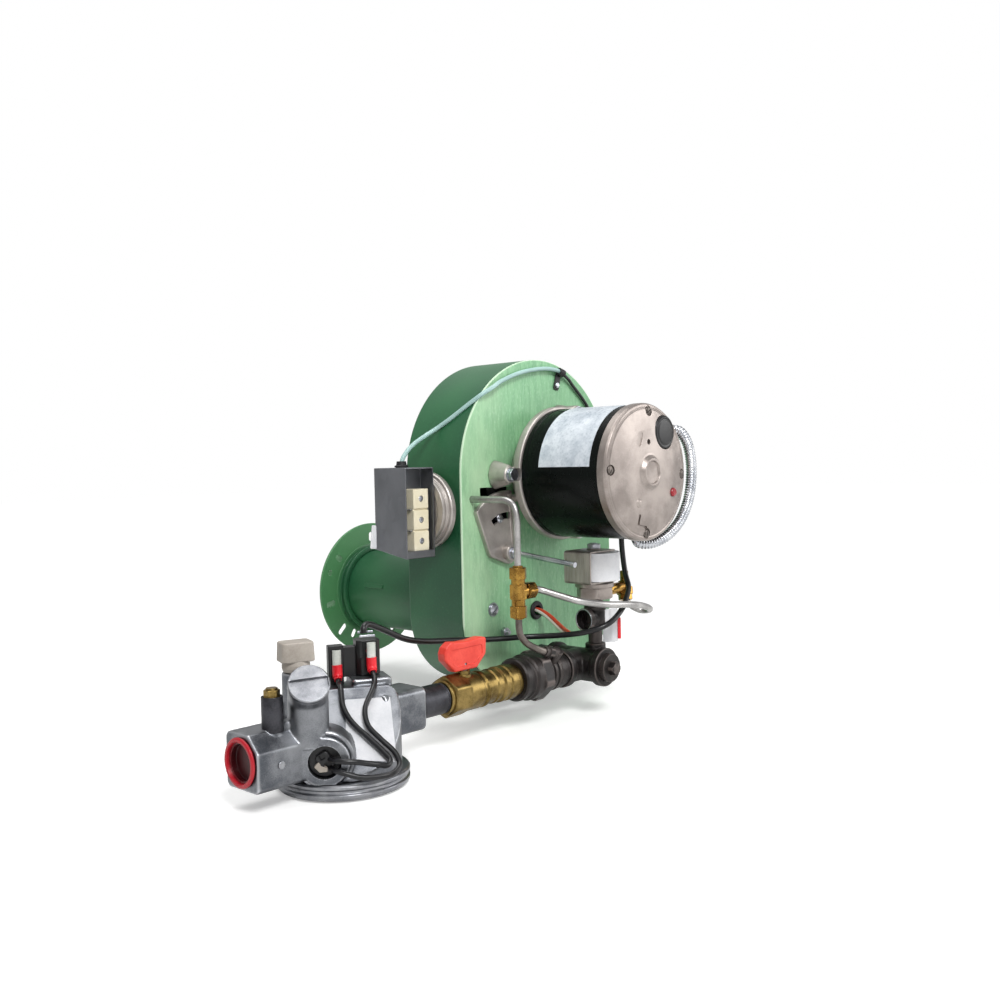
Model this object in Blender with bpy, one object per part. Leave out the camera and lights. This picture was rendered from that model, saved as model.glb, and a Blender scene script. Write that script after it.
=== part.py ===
"""Industrial gas burner.

A sheet-metal blower housing carries a motor in front and an air tube with a mounting flange behind.
A gas train crosses in front of the housing below the motor, and a pilot line with its own solenoid
valve hangs between them. Units are metres, +Z is up, the motor looks along -Y and the flame leaves
along +Y. The origin is on the air tube's axis, at the rear face of the mounting flange.
"""

import math

import bpy
import bmesh
from mathutils import Matrix, Vector

# Fits and finish
GAP = 0.0003            # clearance between two pieces that touch
OVERRUN = 0.004         # how far a cutter runs past what it cuts
SINK = 0.0006           # how far one shape runs into the shape it is fused with
SHARP_ANGLE = math.radians(32)
SIDES_LARGE = 32
SIDES_ROUND = 18
SIDES_SMALL = 10
SIDES_TINY = 8
HEX = 6

# Blower housing
HOUSING_HALF_WIDTH = 0.1144
MOTOR_HEIGHT = 0.134
HOUSING_CORNER = 0.0765
HOUSING_REAR = 0.1931
HOUSING_FRONT = 0.2697
SHEET = 0.0016
PLATE_THICKNESS = 0.0024
PLATE_MOTOR_HOLE = 0.036
ARCH_STEPS = 20
CORNER_STEPS = 6

# Air inlet opening in the front plate, and its shutter
INLET_CENTRE_X = -0.069
INLET_WIDTH = 0.040
INLET_TOP = 0.122
INLET_BOTTOM = 0.070
SHUTTER_PIVOT_X = -0.0545
SHUTTER_PIVOT_Z = 0.0575
SHUTTER_REACH = 0.055
SHUTTER_TIP = 0.011
SHUTTER_THICKNESS = 0.005
SHUTTER_RIM = 0.0032
SHUTTER_POCKET = 0.0022
SHUTTER_HUB = 0.0082
SHUTTER_HUB_HEIGHT = 0.0095
SHUTTER_RIGHT_ANGLE = 78
SHUTTER_LEFT_ANGLE = 137
SHUTTER_SLOT_RADIUS = 0.036
SHUTTER_SLOT_WIDTH = 0.0052
SHUTTER_SLOT_FROM = 86
SHUTTER_SLOT_TO = 112
LOCK_SCREW_ANGLE = 109
LOCK_SCREW_SHANK = 0.0021
ROD_RADIUS = 0.0024
ROD_LENGTH = 0.0865
ROD_DROP = 0.0078
ROD_STRAIGHT = 0.014
ROD_INSIDE = 0.006

# Air tube and mounting flange
TUBE_RADIUS = 0.0448
TUBE_WALL = 0.0016
TUBE_PAST_FLANGE = 0.036
TUBE_INSIDE_HOUSING = 0.004
FLANGE_RADIUS = 0.0763
FLANGE_THICKNESS = 0.0032
COLLAR_RADIUS = 0.0486
COLLAR_LENGTH = 0.0135
COLLAR_BEAD = 0.0508
COLLAR_BEAD_WIDTH = 0.0040
SLOT_WIDTH = 0.0050
# Each slot of the flange's left half: its angle in degrees, and its inner and outer end's radius
FLANGE_SLOTS = ((90, 0.0555, 0.0655), (142, 0.0580, 0.0670), (160, 0.0640, 0.0690),
                (192, 0.0585, 0.0700), (224, 0.0570, 0.0710), (240, 0.0545, 0.0640))

# Motor
MOTOR_RADIUS = 0.0635
SHELL_WALL = 0.0020
SHELL_REAR = 0.3004
SHELL_FRONT = 0.3905
BELL_SPIGOT = 0.0048
FRONT_BELL_RADIUS = 0.0645
FRONT_BELL_LENGTH = 0.0100
FRONT_BELL_EDGE = 0.0028
DOME_HEIGHT = 0.0040
BOSS_RADIUS = 0.0125
BOSS_SHOULDER = 0.0165
BOSS_HEIGHT = 0.0034
REAR_BELL_RADIUS = 0.0660
REAR_BELL_BAND = 0.0080
REAR_BELL_WAIST = 0.0560
REAR_BELL_WAIST_FROM_PLATE = 0.0145
REAR_BELL_FOOT = 0.0445
REAR_BELL_FOOT_WALL = 0.0065
REAR_BELL_FOOT_DEPTH = 0.0070
LUG_CIRCLE = 0.0700
LUG_RADIUS = 0.0080
LUG_LENGTH = 0.0225
LUG_ANGLES = (180, 300, 60)
MOUNT_BOLT_HEAD = 0.0064
MOUNT_BOLT_HEAD_HEIGHT = 0.0050
MOUNT_BOLT_SHANK = 0.0028
MOUNT_BOLT_THROUGH = 0.0050
SHAFT_RADIUS = 0.00635
SHAFT_REAR = 0.2050
SHAFT_FRONT_CLEARANCE = 0.0012
BEARING_DEPTH = 0.0082
ROTOR_RADIUS = 0.0340
ROTOR_REAR = 0.3180
ROTOR_FRONT = 0.3740
STATOR_BORE = 0.0346
STATOR_REAR = 0.3200
STATOR_FRONT = 0.3720
BOLT_CIRCLE = 0.0572
BOLT_FIRST_ANGLE = -3
BOLT_COUNT = 4
BOLT_SHANK = 0.0019
BOLT_LENGTH = 0.0110
BOLT_SEAT = 0.0050
PLUG_X = 0.0262
PLUG_Z = 0.0372
PLUG_RADIUS = 0.0160
PLUG_DEPTH = 0.0040
PLUG_CROWN = 0.0022
RESET_X = 0.0385
RESET_Z = -0.0200
RESET_RADIUS = 0.0042
RESET_STEM = 0.0082
RESET_TRAVEL = 0.0020
RESET_WELL = 0.0108

# Blower wheel
FAN_RADIUS = 0.0720
FAN_EYE = 0.0590
FAN_REAR = 0.2064
FAN_FRONT = 0.2604
FAN_DISC = 0.0016
FAN_HUB_RADIUS = 0.0120
FAN_HUB_LENGTH = 0.0190
FAN_BLADES = 16
FAN_BLADE_THICKNESS = 0.0011
FAN_BLADE_SWEEP = 9
FAN_BLADE_STEPS = 1

# Wiring conduit around the motor's right side
CONDUIT_RADIUS = 0.0054
CONDUIT_POINTS = ((0.0590, -0.3790, 0.1727), (0.0592, -0.3860, 0.1735), (0.0650, -0.3950, 0.1720),
                  (0.0730, -0.3990, 0.1580), (0.0765, -0.4000, 0.1340), (0.0715, -0.4000, 0.1080),
                  (0.0560, -0.3990, 0.0830), (0.0340, -0.3960, 0.0660), (0.0120, -0.3900, 0.0585),
                  (0.0030, -0.3800, 0.0600), (0.0010, -0.3740, 0.0640),
                  (0.0010, -0.3735, 0.0701))

# Air pressure switch on the housing's left side
SWITCH_Y = -0.2320
SWITCH_Z = 0.1020
PAN_RADIUS = 0.0365
PAN_NECK = 0.0300
PAN_STEP = 0.0330
PAN_NECK_LENGTH = 0.0045
PAN_RIM_LENGTH = 0.0070
PAN_STEP_LENGTH = 0.0075
BOX_DEPTH = 0.0357
BOX_FRONT = -0.2535
BOX_BACK = -0.2100
BOX_TOP = 0.1430
BOX_BOTTOM_FRONT = 0.0590
BOX_BOTTOM_BACK = 0.0668
BOX_WALL = 0.0030
BOX_POCKET_DEPTH = 0.0240
BOX_LEDGE = 0.0060
TERMINAL_WIDTH = 0.0150
TERMINAL_DEPTH = 0.0200
TERMINAL_BLOCKS = 3
TERMINAL_GROOVE = 0.0012
TERMINAL_GROOVE_DEPTH = 0.0012
TERMINAL_HEIGHT = 0.0190
BUSH_RADIUS = 0.0052
BUSH_HEIGHT = 0.0060
BUSH_FLANGE = 0.0066
BUSH_FLANGE_HEIGHT = 0.0018
BUSH_Y = -0.2290

# Signal cable from the switch over the housing to the motor's wiring
CABLE_RADIUS = 0.0021
SIGNAL_POINTS = ((-0.1520, -0.2290, 0.1512), (-0.1500, -0.2280, 0.1580), (-0.1400, -0.2260, 0.1660),
                 (-0.1240, -0.2270, 0.1710), (-0.1085, -0.2310, 0.1785), (-0.1030, -0.2450, 0.1885),
                 (-0.0965, -0.2600, 0.2010), (-0.0880, -0.2725, 0.2120), (-0.0740, -0.2755, 0.2180),
                 (-0.0590, -0.2740, 0.2250), (-0.0309, -0.2737, 0.2342), (-0.0011, -0.2737, 0.2392),
                 (0.0194, -0.2737, 0.2395), (0.0310, -0.2737, 0.2370), (0.0450, -0.2735, 0.2315),
                 (0.0557, -0.2730, 0.2262), (0.0740, -0.2726, 0.2130), (0.0868, -0.2726, 0.1990),
                 (0.0930, -0.2726, 0.1820), (0.0900, -0.2735, 0.1680), (0.0870, -0.2725, 0.1610))
CLIP_X = 0.0310
CLIP_Z = 0.2370
CLIP_WALL = 0.0013
CLIP_LENGTH = 0.0080
CLIP_TAB_LENGTH = 0.0175
CLIP_TAB_THICKNESS = 0.0014
CLIP_SLOPE = -16

# Gas train: every pipe of it lies on one line along X
LINE_Y = -0.3200
LINE_Z = -0.0540
PIPE_RADIUS = 0.01335
PIPE_BORE = 0.0100
THREAD_DEPTH = 0.0120
END_PLAY = 0.0005

# Tee and what screws into it
TEE_X = -0.0045
TEE_REACH = 0.0333
TEE_BODY = 0.0160
TEE_BAND = 0.01865
TEE_BAND_LENGTH = 0.0075
PLUG_HEAD = 0.0136
PLUG_HEAD_LENGTH = 0.0060
PLUG_SQUARE = 0.0110
PLUG_SQUARE_LENGTH = 0.0060
TAP_BOSS = 0.0100
TAP_BOSS_HEIGHT = 0.0030
NIPPLE_INSIDE_HOUSING = 0.0200

# Union
UNION_LEFT = -0.1041
UNION_BODY_LENGTH = 0.0135
UNION_BODY_RADIUS = 0.0200
UNION_THREAD_RADIUS = 0.0196
UNION_THREAD_LENGTH = 0.0240
UNION_NUT_FLATS = 0.0460
UNION_NUT_SIDES = 8
UNION_NUT_LIP = 0.0040
UNION_NUT_END = -0.0525
UNION_NECK = 0.0150
UNION_TAIL_RING = 0.0176
FEED_BOSS_RADIUS = 0.0052
FEED_BOSS_HEIGHT = 0.0045
FEED_ANGLE = 48

# Ball valve
VALVE_LEFT = -0.1950
VALVE_RIGHT = -0.1044
VALVE_BODY = 0.0162
VALVE_WAIST = 0.0142
VALVE_HEX_FLATS = 0.0330
VALVE_HEX_LENGTH = 0.0200
VALVE_END = 0.0152
VALVE_END_LENGTH = 0.0030
BALL_RADIUS = 0.0126
BALL_BORE = 0.0085
HANDLE_X = -0.1680
NECK_RADIUS = 0.0078
NECK_HEIGHT = 0.0195
STEM_RADIUS = 0.0040
STEM_TOP = 0.0262
HANDLE_SPAN = 0.0520
HANDLE_FOOT = 0.0270
HANDLE_HEIGHT = 0.0265
HANDLE_THICKNESS = 0.0100
HANDLE_ROUNDING = 0.0030
HANDLE_LIFT = 0.0008

# Combination gas valve
GAS_X = -0.3020
GAS_DRUM = 0.0470
GAS_DRUM_TOP = -0.0300
GAS_DRUM_BOTTOM = -0.0875
GAS_BASE_RADIUS = 0.0520
GAS_BASE_BOTTOM = -0.1010
GAS_BASE_STEP = 0.0055
FACE_TURN = -32.5
FACE_RISE = 47.5
FACE_X = -0.2940
FACE_Y = -0.3450
FACE_Z = -0.0580
GAS_INLET_END = -0.3940
GAS_INLET_Z = -0.0645
GAS_INLET_HALF_HEIGHT = 0.0205
GAS_INLET_HALF_WIDTH = 0.0200
GAS_INLET_CHAMFER = 0.0120
GAS_INLET_SMALL_CHAMFER = 0.0030
GAS_OUTLET_END = -0.2285
GAS_OUTLET_HALF = 0.0178
GAS_BLOCK_ROOT = 0.0300
CAP_FLANGE = 0.0184
CAP_FLANGE_THICKNESS = 0.0032
CAP_DISH = 0.0140
CAP_DISH_DEPTH = 0.0018
CAP_PLUG_LENGTH = 0.0070
REGULATOR_X = -0.3514
REGULATOR_Y = -0.3450
REGULATOR_Z = -0.0110
REGULATOR_RISE = 40
TOWER_RADIUS = 0.0150
TOWER_LENGTH = 0.0400
REGULATOR_CAP = 0.0156
REGULATOR_CAP_HEIGHT = 0.0040
REGULATOR_SLOT = 0.0095
REGULATOR_SLOT_DEPTH = 0.0018
KNOB_X = -0.3320
KNOB_Y = -0.3030
KNOB_TOP = 0.0135
KNOB_GRIP_HEIGHT = 0.0160
KNOB_BASE_HEIGHT = 0.0080
KNOB_WIDTH = 0.0285
KNOB_DEPTH = 0.0220
KNOB_CORNER = 0.0040
KNOB_BASE_RADIUS = 0.0108
KNOB_TURN = -20
KNOB_BOSS_RADIUS = 0.0110
POST_X = -0.3700
POST_Y = -0.3250
POST_RADIUS = 0.0090
POST_TOP = -0.0205
TAP_HEX = 0.0064
TAP_HEX_HEIGHT = 0.0065
TAP_SHANK = 0.0030
TAP_SHANK_LENGTH = 0.0080
PORT_X = -0.3430
PORT_Y = -0.3500
PORT_Z = -0.0708
PORT_TURN = -40
PORT_RADIUS = 0.0186
PORT_HOLE = 0.0154
PORT_HOLE_DEPTH = 0.0110
PORT_LENGTH = 0.0330
PEDESTAL_X = -0.2600
PEDESTAL_Y = -0.3010
PEDESTAL_WIDTH = 0.0340
PEDESTAL_DEPTH = 0.0180
PEDESTAL_TOP = -0.0248
PEDESTAL_HEIGHT = 0.0300
BLOCK_TURN = -27
BLOCK_WIDTH = 0.0240
BLOCK_DEPTH = 0.0180
BLOCK_HEIGHT = 0.0330
BLOCK_CHAMFER = 0.0040

# Leads from the terminal block to the valve's port: a boot, then the wire
LEAD_RADIUS = 0.0016
BOOT_SCALE = 2.3
BOOT_LENGTH = 0.0215
LEAD_LEFT_POINTS = ((-0.2865, -0.2955, -0.0020), (-0.2867, -0.2958, -0.0130), (-0.2875, -0.2975, -0.0230),
                    (-0.2910, -0.3035, -0.0278), (-0.2955, -0.3110, -0.0283), (-0.3032, -0.3229, -0.0401), (-0.3047, -0.3353, -0.0504),
                    (-0.3016, -0.3501, -0.0603), (-0.2988, -0.3628, -0.0687), (-0.2978, -0.3705, -0.0745),
                    (-0.3030, -0.3735, -0.0775), (-0.3107, -0.3715, -0.0755), (-0.3205, -0.3710, -0.0725),
                    (-0.3290, -0.3690, -0.0700), (-0.3360, -0.3640, -0.0690), (-0.3390, -0.3570, -0.0690),
                    (-0.3380, -0.3500, -0.0692), (-0.3343, -0.3444, -0.0695))
LEAD_RIGHT_POINTS = ((-0.2652, -0.3132, 0.0030), (-0.2652, -0.3132, -0.0080), (-0.2654, -0.3140, -0.0180),
                     (-0.2700, -0.3225, -0.0255),
                     (-0.2784, -0.3290, -0.0313), (-0.2911, -0.3350, -0.0424), (-0.2969, -0.3450, -0.0530),
                     (-0.2955, -0.3570, -0.0614), (-0.2920, -0.3690, -0.0704), (-0.2940, -0.3770, -0.0780),
                     (-0.3030, -0.3800, -0.0820), (-0.3134, -0.3765, -0.0830), (-0.3250, -0.3710, -0.0820),
                     (-0.3320, -0.3660, -0.0795), (-0.3375, -0.3590, -0.0770), (-0.3372, -0.3520, -0.0765),
                     (-0.3328, -0.3456, -0.0765))

# Control cable from the gas valve to the motor
CONTROL_RADIUS = 0.0027
CONTROL_POINTS = ((-0.2615, -0.3000, 0.0091), (-0.2610, -0.2995, 0.0130), (-0.2540, -0.2975, 0.0150),
                  (-0.2360, -0.2955, 0.0079), (-0.2106, -0.2935, -0.0035), (-0.1818, -0.2897, -0.0102),
                  (-0.1413, -0.2880, -0.0148), (-0.1100, -0.2880, -0.0190), (-0.0815, -0.2890, -0.0217),
                  (-0.0560, -0.2990, -0.0225), (-0.0400, -0.3200, -0.0215), (-0.0290, -0.3440, -0.0180),
                  (-0.0190, -0.3580, -0.0130), (-0.0060, -0.3620, -0.0078), (0.0125, -0.3600, 0.0011),
                  (0.0270, -0.3550, 0.0100), (0.0404, -0.3500, 0.0207), (0.0500, -0.3420, 0.0330),
                  (0.0540, -0.3360, 0.0460), (0.0530, -0.3350, 0.0600), (0.0500, -0.3350, 0.0740),
                  (0.0470, -0.3350, 0.0889))

# Pilot line
PILOT_TUBE_RADIUS = 0.0032
SOLENOID_X = -0.0030
SOLENOID_Y = -0.3280
RISER_RADIUS = 0.0069
RISER_BODY = 0.0108
RISER_BODY_BOTTOM = -0.0190
RISER_BODY_TOP = 0.0040
RISER_BRANCH_Z = -0.0070
RISER_BRANCH_TURN = -30
RISER_BRANCH_LENGTH = 0.0240
RISER_BRANCH_RADIUS = 0.0095
RISER_BAND = 0.0120
RISER_BAND_LENGTH = 0.0060
SOLENOID_BOTTOM = 0.0110
SOLENOID_HEX_FLATS = 0.0300
SOLENOID_HEX_HEIGHT = 0.0120
SOLENOID_BONNET = 0.0190
SOLENOID_BONNET_HEIGHT = 0.0040
SOLENOID_STEM = 0.0065
SOLENOID_STEM_WALL = 0.0014
SOLENOID_STEM_TOP = 0.0600
YOKE_THICKNESS = 0.0016
YOKE_HALF_WIDTH = 0.0270
YOKE_DEPTH = 0.0320
YOKE_BOTTOM = 0.0268
YOKE_TOP = 0.0590
COIL_RADIUS = 0.0246
NUT_RADIUS = 0.0070
NUT_HEIGHT = 0.0050
PLUNGER_RADIUS = 0.0047
PLUNGER_LENGTH = 0.0220
PLUNGER_TRAVEL = 0.0020
PLUNGER_SEAT = 0.0180
ELBOW_Z = 0.0190
ELBOW_REACH = 0.0430
ELBOW_RADIUS = 0.0056
ELBOW_NUT = 0.0072
ELBOW_ARM = 0.0190
ELBOW_NUT_LENGTH = 0.0085
ELBOW_TIP_X = 0.0500
ELBOW_TIP_Y = -0.3370
ELBOW_TIP_Z = 0.0040

# Brass compression tee in the pilot line
BRASS_X = -0.1000
BRASS_Y = -0.3260
BRASS_Z = 0.0275
BRASS_BODY = 0.0062
BRASS_NUT = 0.0084
BRASS_NUT_LENGTH = 0.0125
BRASS_ARM_UP = 0.0240
BRASS_ARM_DOWN = 0.0250
BRASS_ARM_SIDE = 0.0210

# Routes of the three pilot tubes
BURNER_TUBE_POINTS = ((-0.1000, -0.3260, 0.0518), (-0.1000, -0.3260, 0.0660), (-0.1000, -0.3260, 0.0810),
                      (-0.1000, -0.3260, 0.0950), (-0.1000, -0.3225, 0.1060), (-0.1000, -0.3130, 0.1110),
                      (-0.1000, -0.2980, 0.1115), (-0.1000, -0.2820, 0.1115), (-0.1000, -0.2700, 0.1115),
                      (-0.1000, -0.2580, 0.1100), (-0.0990, -0.2480, 0.1030), (-0.0960, -0.2420, 0.0900),
                      (-0.0900, -0.2380, 0.0650), (-0.0760, -0.2340, 0.0350), (-0.0520, -0.2260, 0.0100),
                      (-0.0340, -0.2100, -0.0060), (-0.0280, -0.1880, -0.0120), (-0.0270, -0.1500, -0.0130),
                      (-0.0270, -0.1000, -0.0130), (-0.0270, -0.0500, -0.0130), (-0.0270, -0.0205, -0.0130))
FEED_TUBE_POINTS = ((-0.1000, -0.3260, 0.0022), (-0.1000, -0.3262, -0.0060), (-0.0995, -0.3275, -0.0150),
                    (-0.0945, -0.3340, -0.0215), (-0.0800, -0.3440, -0.0215), (-0.0640, -0.3480, -0.0225),
                    (-0.0510, -0.3470, -0.0275), (-0.0460, -0.3425, -0.0338), (-0.04515, -0.3367, -0.0389))
BRANCH_TUBE_POINTS = ((-0.0784, -0.3260, 0.0275), (-0.0745, -0.3261, 0.0274), (-0.0690, -0.3300, 0.0255),
                      (-0.0610, -0.3420, 0.0210),
                      (-0.0510, -0.3560, 0.0160), (-0.0340, -0.3650, 0.0120), (-0.0130, -0.3680, 0.0090),
                      (0.0100, -0.3685, 0.0065), (0.0330, -0.3665, 0.0030), (0.0520, -0.3635, -0.0020),
                      (0.0630, -0.3565, -0.0060), (0.0622, -0.3475, -0.0070), (0.0555, -0.3420, -0.0030),
                      (0.0502, -0.3372, 0.0037))

# Ignition wires out of a hole in the front plate
GROMMET_X = -0.0109
GROMMET_Z = -0.0045
GROMMET_HOLE = 0.0076
WIRES_RADIUS = 0.0038
WIRES_POINTS = ((-0.0109, -0.2560, -0.0045), (-0.0109, -0.2650, -0.0045), (-0.0109, -0.2750, -0.0055),
                (-0.0115, -0.2870, -0.0100), (-0.0145, -0.3000, -0.0160), (-0.0205, -0.3130, -0.0195),
                (-0.0306, -0.3289, -0.0206))

# Firing head inside the air tube
MANIFOLD_RADIUS = 0.0105
MANIFOLD_POINTS = ((TEE_X, -0.2490, LINE_Z), (TEE_X, -0.2440, LINE_Z), (TEE_X, -0.2360, -0.0510),
                   (-0.0042, -0.2310, -0.0430), (-0.0035, -0.2300, -0.0300), (-0.0020, -0.2280, -0.0150),
                   (-0.0008, -0.2200, -0.0040), (0.0, -0.2080, 0.0), (0.0, -0.1900, 0.0), (0.0, -0.1400, 0.0),
                   (0.0, -0.0900, 0.0), (0.0, -0.0400, 0.0), (0.0, -0.0150, 0.0))
NOZZLE_RADIUS = 0.0145
NOZZLE_LENGTH = 0.0200
NOZZLE_START = -0.0147
NOZZLE_PORTS = 6
NOZZLE_PORT_RADIUS = 0.0016
DIFFUSER_RADIUS = 0.0405
DIFFUSER_THICKNESS = 0.0016
DIFFUSER_PLACE = 0.0000
DIFFUSER_SLOTS = 10
DIFFUSER_SLOT_WIDTH = 0.0040
DIFFUSER_SLOT_INNER = 0.0200
DIFFUSER_SLOT_OUTER = 0.0370
DIFFUSER_PILOT_HOLE = 0.0064
DIFFUSER_LIP = 0.0080
PILOT_HEAD_RADIUS = 0.0060
PILOT_HEAD_LENGTH = 0.0260

# Outward turns of a shape that is drawn along its own Z
FRONT = (math.pi / 2, 0, 0)
BACK = (-math.pi / 2, 0, 0)
LEFT = (0, -math.pi / 2, 0)
RIGHT = (0, math.pi / 2, 0)
UP = (0, 0, 0)


def clear_scene():
    for ob in list(bpy.data.objects):
        bpy.data.objects.remove(ob, do_unlink=True)


def finish(name, colour, roughness, metallic=0.0):
    """A plain Principled material."""
    made = bpy.data.materials.new(name)
    made.use_nodes = True
    shader = made.node_tree.nodes["Principled BSDF"]
    shader.inputs["Base Color"].default_value = (*colour, 1)
    shader.inputs["Roughness"].default_value = roughness
    shader.inputs["Metallic"].default_value = metallic
    return made


# Shapes

def arc(centre_x, centre_y, radius, start, end, steps):
    """Points of an arc from start to end, in degrees."""
    points = []
    for step in range(steps + 1):
        turn = math.radians(start + (end - start) * step / steps)
        points.append((centre_x + radius * math.cos(turn), centre_y + radius * math.sin(turn)))
    return points


def room(radius, sides):
    """The corner radius of a hole with flat sides that clears a round piece all the way round."""
    return (radius + GAP) / math.cos(math.pi / sides)


def polygon(flats, sides):
    """Corners of a regular polygon, given its distance across flats."""
    radius = flats / 2 / math.cos(math.pi / sides)
    return [(radius * math.cos(math.tau * (side + 0.5) / sides),
             radius * math.sin(math.tau * (side + 0.5) / sides)) for side in range(sides)]


def rounded_rectangle(width, height, corner, steps=2):
    """Outline of a rectangle with round corners, about its centre."""
    across, up = width / 2 - corner, height / 2 - corner
    outline = []
    for sign_x, sign_y, start in ((1, 1, 0), (-1, 1, 90), (-1, -1, 180), (1, -1, 270)):
        outline += arc(sign_x * across, sign_y * up, corner, start, start + 90, steps)
    return outline


def radial_slot(angle, inner, outer, width, steps=2):
    """Outline of a slot with round ends that points away from the centre."""
    half = width / 2
    outline = arc(outer - half, 0, half, -90, 90, steps) + arc(inner + half, 0, half, 90, 270, steps)
    turn = math.radians(angle)
    return [(x * math.cos(turn) - y * math.sin(turn), x * math.sin(turn) + y * math.cos(turn))
            for x, y in outline]


def place_object(name, mesh, look, place=(0, 0, 0), turn=UP, smooth=True):
    if smooth:
        mesh.shade_smooth()
        mesh.set_sharp_from_angle(angle=SHARP_ANGLE)
    made = bpy.data.objects.new(name, mesh)
    if look:
        mesh.materials.append(look)
    bpy.context.scene.collection.objects.link(made)
    made.location = place
    made.rotation_euler = turn
    return made


def closed_mesh(name, points, faces):
    """A mesh whose faces all point outward."""
    mesh = bpy.data.meshes.new(name)
    mesh.from_pydata(points, [], faces)
    work = bmesh.new()
    work.from_mesh(mesh)
    bmesh.ops.recalc_face_normals(work, faces=work.faces)
    work.to_mesh(mesh)
    work.free()
    return mesh


def turned(name, profile, look=None, place=(0, 0, 0), turn=UP, sides=SIDES_ROUND, ring=False):
    """Turn a profile of (radius, height) about Z. A ring's profile is a closed loop off the axis."""
    if not ring:
        ends = [profile[0], profile[-1]]
        if ends[0][0] > 0:
            profile = [(0, ends[0][1])] + list(profile)
        if ends[1][0] > 0:
            profile = list(profile) + [(0, ends[1][1])]
    points, rows = [], []
    for radius, height in profile:
        count = sides if radius > 0 else 1
        rows.append([len(points) + side for side in range(count)])
        for side in range(count):
            angle = math.tau * (side + 0.5) / sides
            points.append((radius * math.cos(angle), radius * math.sin(angle), height))
    pairs = list(zip(rows, rows[1:]))
    if ring:
        pairs.append((rows[-1], rows[0]))
    faces = []
    for first, second in pairs:
        for side in range(sides):
            after = (side + 1) % sides
            corners = (first[side % len(first)], first[after % len(first)],
                       second[after % len(second)], second[side % len(second)])
            face = list(dict.fromkeys(corners))
            if len(face) > 2:
                faces.append(face)
    return place_object(name, closed_mesh(name, points, faces), look, place, turn)


def extruded(name, outlines, depth, look=None, place=(0, 0, 0), turn=UP, smooth=True):
    """Extrude one outline, or a list of outlines that don't meet, from 0 to depth along Z."""
    if isinstance(outlines[0][0], (int, float)):
        outlines = [outlines]
    points, faces = [], []
    for outline in outlines:
        count = len(outline)
        low = [len(points) + corner for corner in range(count)]
        high = [index + count for index in low]
        points += [(x, y, 0) for x, y in outline] + [(x, y, depth) for x, y in outline]
        faces += [low, high]
        for corner in range(count):
            after = (corner + 1) % count
            faces.append([low[corner], low[after], high[after], high[corner]])
    return place_object(name, closed_mesh(name, points, faces), look, place, turn, smooth)


def block(name, size, look=None, place=(0, 0, 0), turn=UP):
    """A box about its centre."""
    half_x, half_y, half_z = (side / 2 for side in size)
    outline = [(-half_x, -half_y), (half_x, -half_y), (half_x, half_y), (-half_x, half_y)]
    made = extruded(name, outline, size[2], look, place, turn, smooth=False)
    for point in made.data.vertices:
        point.co.z -= half_z
    return made


def bar(name, radius, start, end, look=None, sides=SIDES_SMALL):
    """A round bar from one point to another."""
    start, end = Vector(start), Vector(end)
    turn = (end - start).to_track_quat("Z", "Y").to_euler()
    return turned(name, [(radius, 0), (radius, (end - start).length)], look, start, turn, sides)


def boolean(target, tool, operation):
    tool.hide_render = True
    tool.display_type = "WIRE"
    made = target.modifiers.new(f"{operation.lower()}_{tool.name}", "BOOLEAN")
    made.operation = operation
    made.object = tool
    made.solver = "EXACT"
    return target


def cut(target, *tools):
    for tool in tools:
        boolean(target, tool, "DIFFERENCE")
    return target


def fuse(target, *tools):
    for tool in tools:
        boolean(target, tool, "UNION")
    return target


def smooth_path(points, spacing):
    """Points about a spacing apart on a smooth curve through a route's own points."""
    route = [Vector(point) for point in points]
    route = [2 * route[0] - route[1]] + route + [2 * route[-1] - route[-2]]
    path = [route[1]]
    for first, start, end, last in zip(route, route[1:], route[2:], route[3:]):
        steps = max(1, round((end - start).length / spacing))
        for step in range(1, steps + 1):
            t = step / steps
            path.append(0.5 * (2 * start + (end - first) * t
                               + (2 * first - 5 * start + 4 * end - last) * t ** 2
                               + (3 * start - first - 3 * end + last) * t ** 3))
    return path


def cord(name, points, radius, look, spacing, resolution=2, swell=None):
    """A round cord or tube along a route. swell is a length and a scale for a thick first stretch."""
    path = smooth_path(points, spacing)
    curve = bpy.data.curves.new(name, "CURVE")
    curve.dimensions = "3D"
    curve.bevel_depth = radius
    curve.bevel_resolution = resolution
    curve.use_fill_caps = True
    line = curve.splines.new("POLY")
    line.points.add(len(path) - 1)
    walked = 0.0
    for index, point in enumerate(path):
        if index:
            walked += (point - path[index - 1]).length
        line.points[index].co = (*point, 1)
        if swell and walked < swell[0]:
            line.points[index].radius = swell[1]
    curve.materials.append(look)
    made = bpy.data.objects.new(name, curve)
    bpy.context.scene.collection.objects.link(made)
    return made


def pivot(name, place):
    """An empty on a joint's axis, which carries the pieces that turn or slide with it."""
    made = bpy.data.objects.new(name, None)
    made.location = place
    bpy.context.scene.collection.objects.link(made)
    return made


def hang(holder, *pieces):
    """Carry pieces on a holder, and leave them where they are."""
    for piece in pieces:
        piece.parent = holder
        piece.location = Vector(piece.location) - holder.location


def around(radius, angle, centre_z=0.0):
    """A point at an angle on a circle in the XZ plane."""
    turn = math.radians(angle)
    return radius * math.cos(turn), centre_z + radius * math.sin(turn)


def facing(turn, rise):
    """The direction that is turned from the front toward +X and raised, in degrees."""
    turn, rise = math.radians(turn), math.radians(rise)
    return Vector((math.sin(turn) * math.cos(rise), -math.cos(turn) * math.cos(rise), math.sin(rise)))


def along(direction):
    """The rotation that points a shape's Z along a direction and keeps its X level."""
    across = Vector((0, 0, 1)).cross(direction)
    if across.length < SINK:
        return UP
    across.normalize()
    upward = direction.cross(across)
    return Matrix((across, upward, direction)).transposed().to_euler()


# Housing

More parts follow.
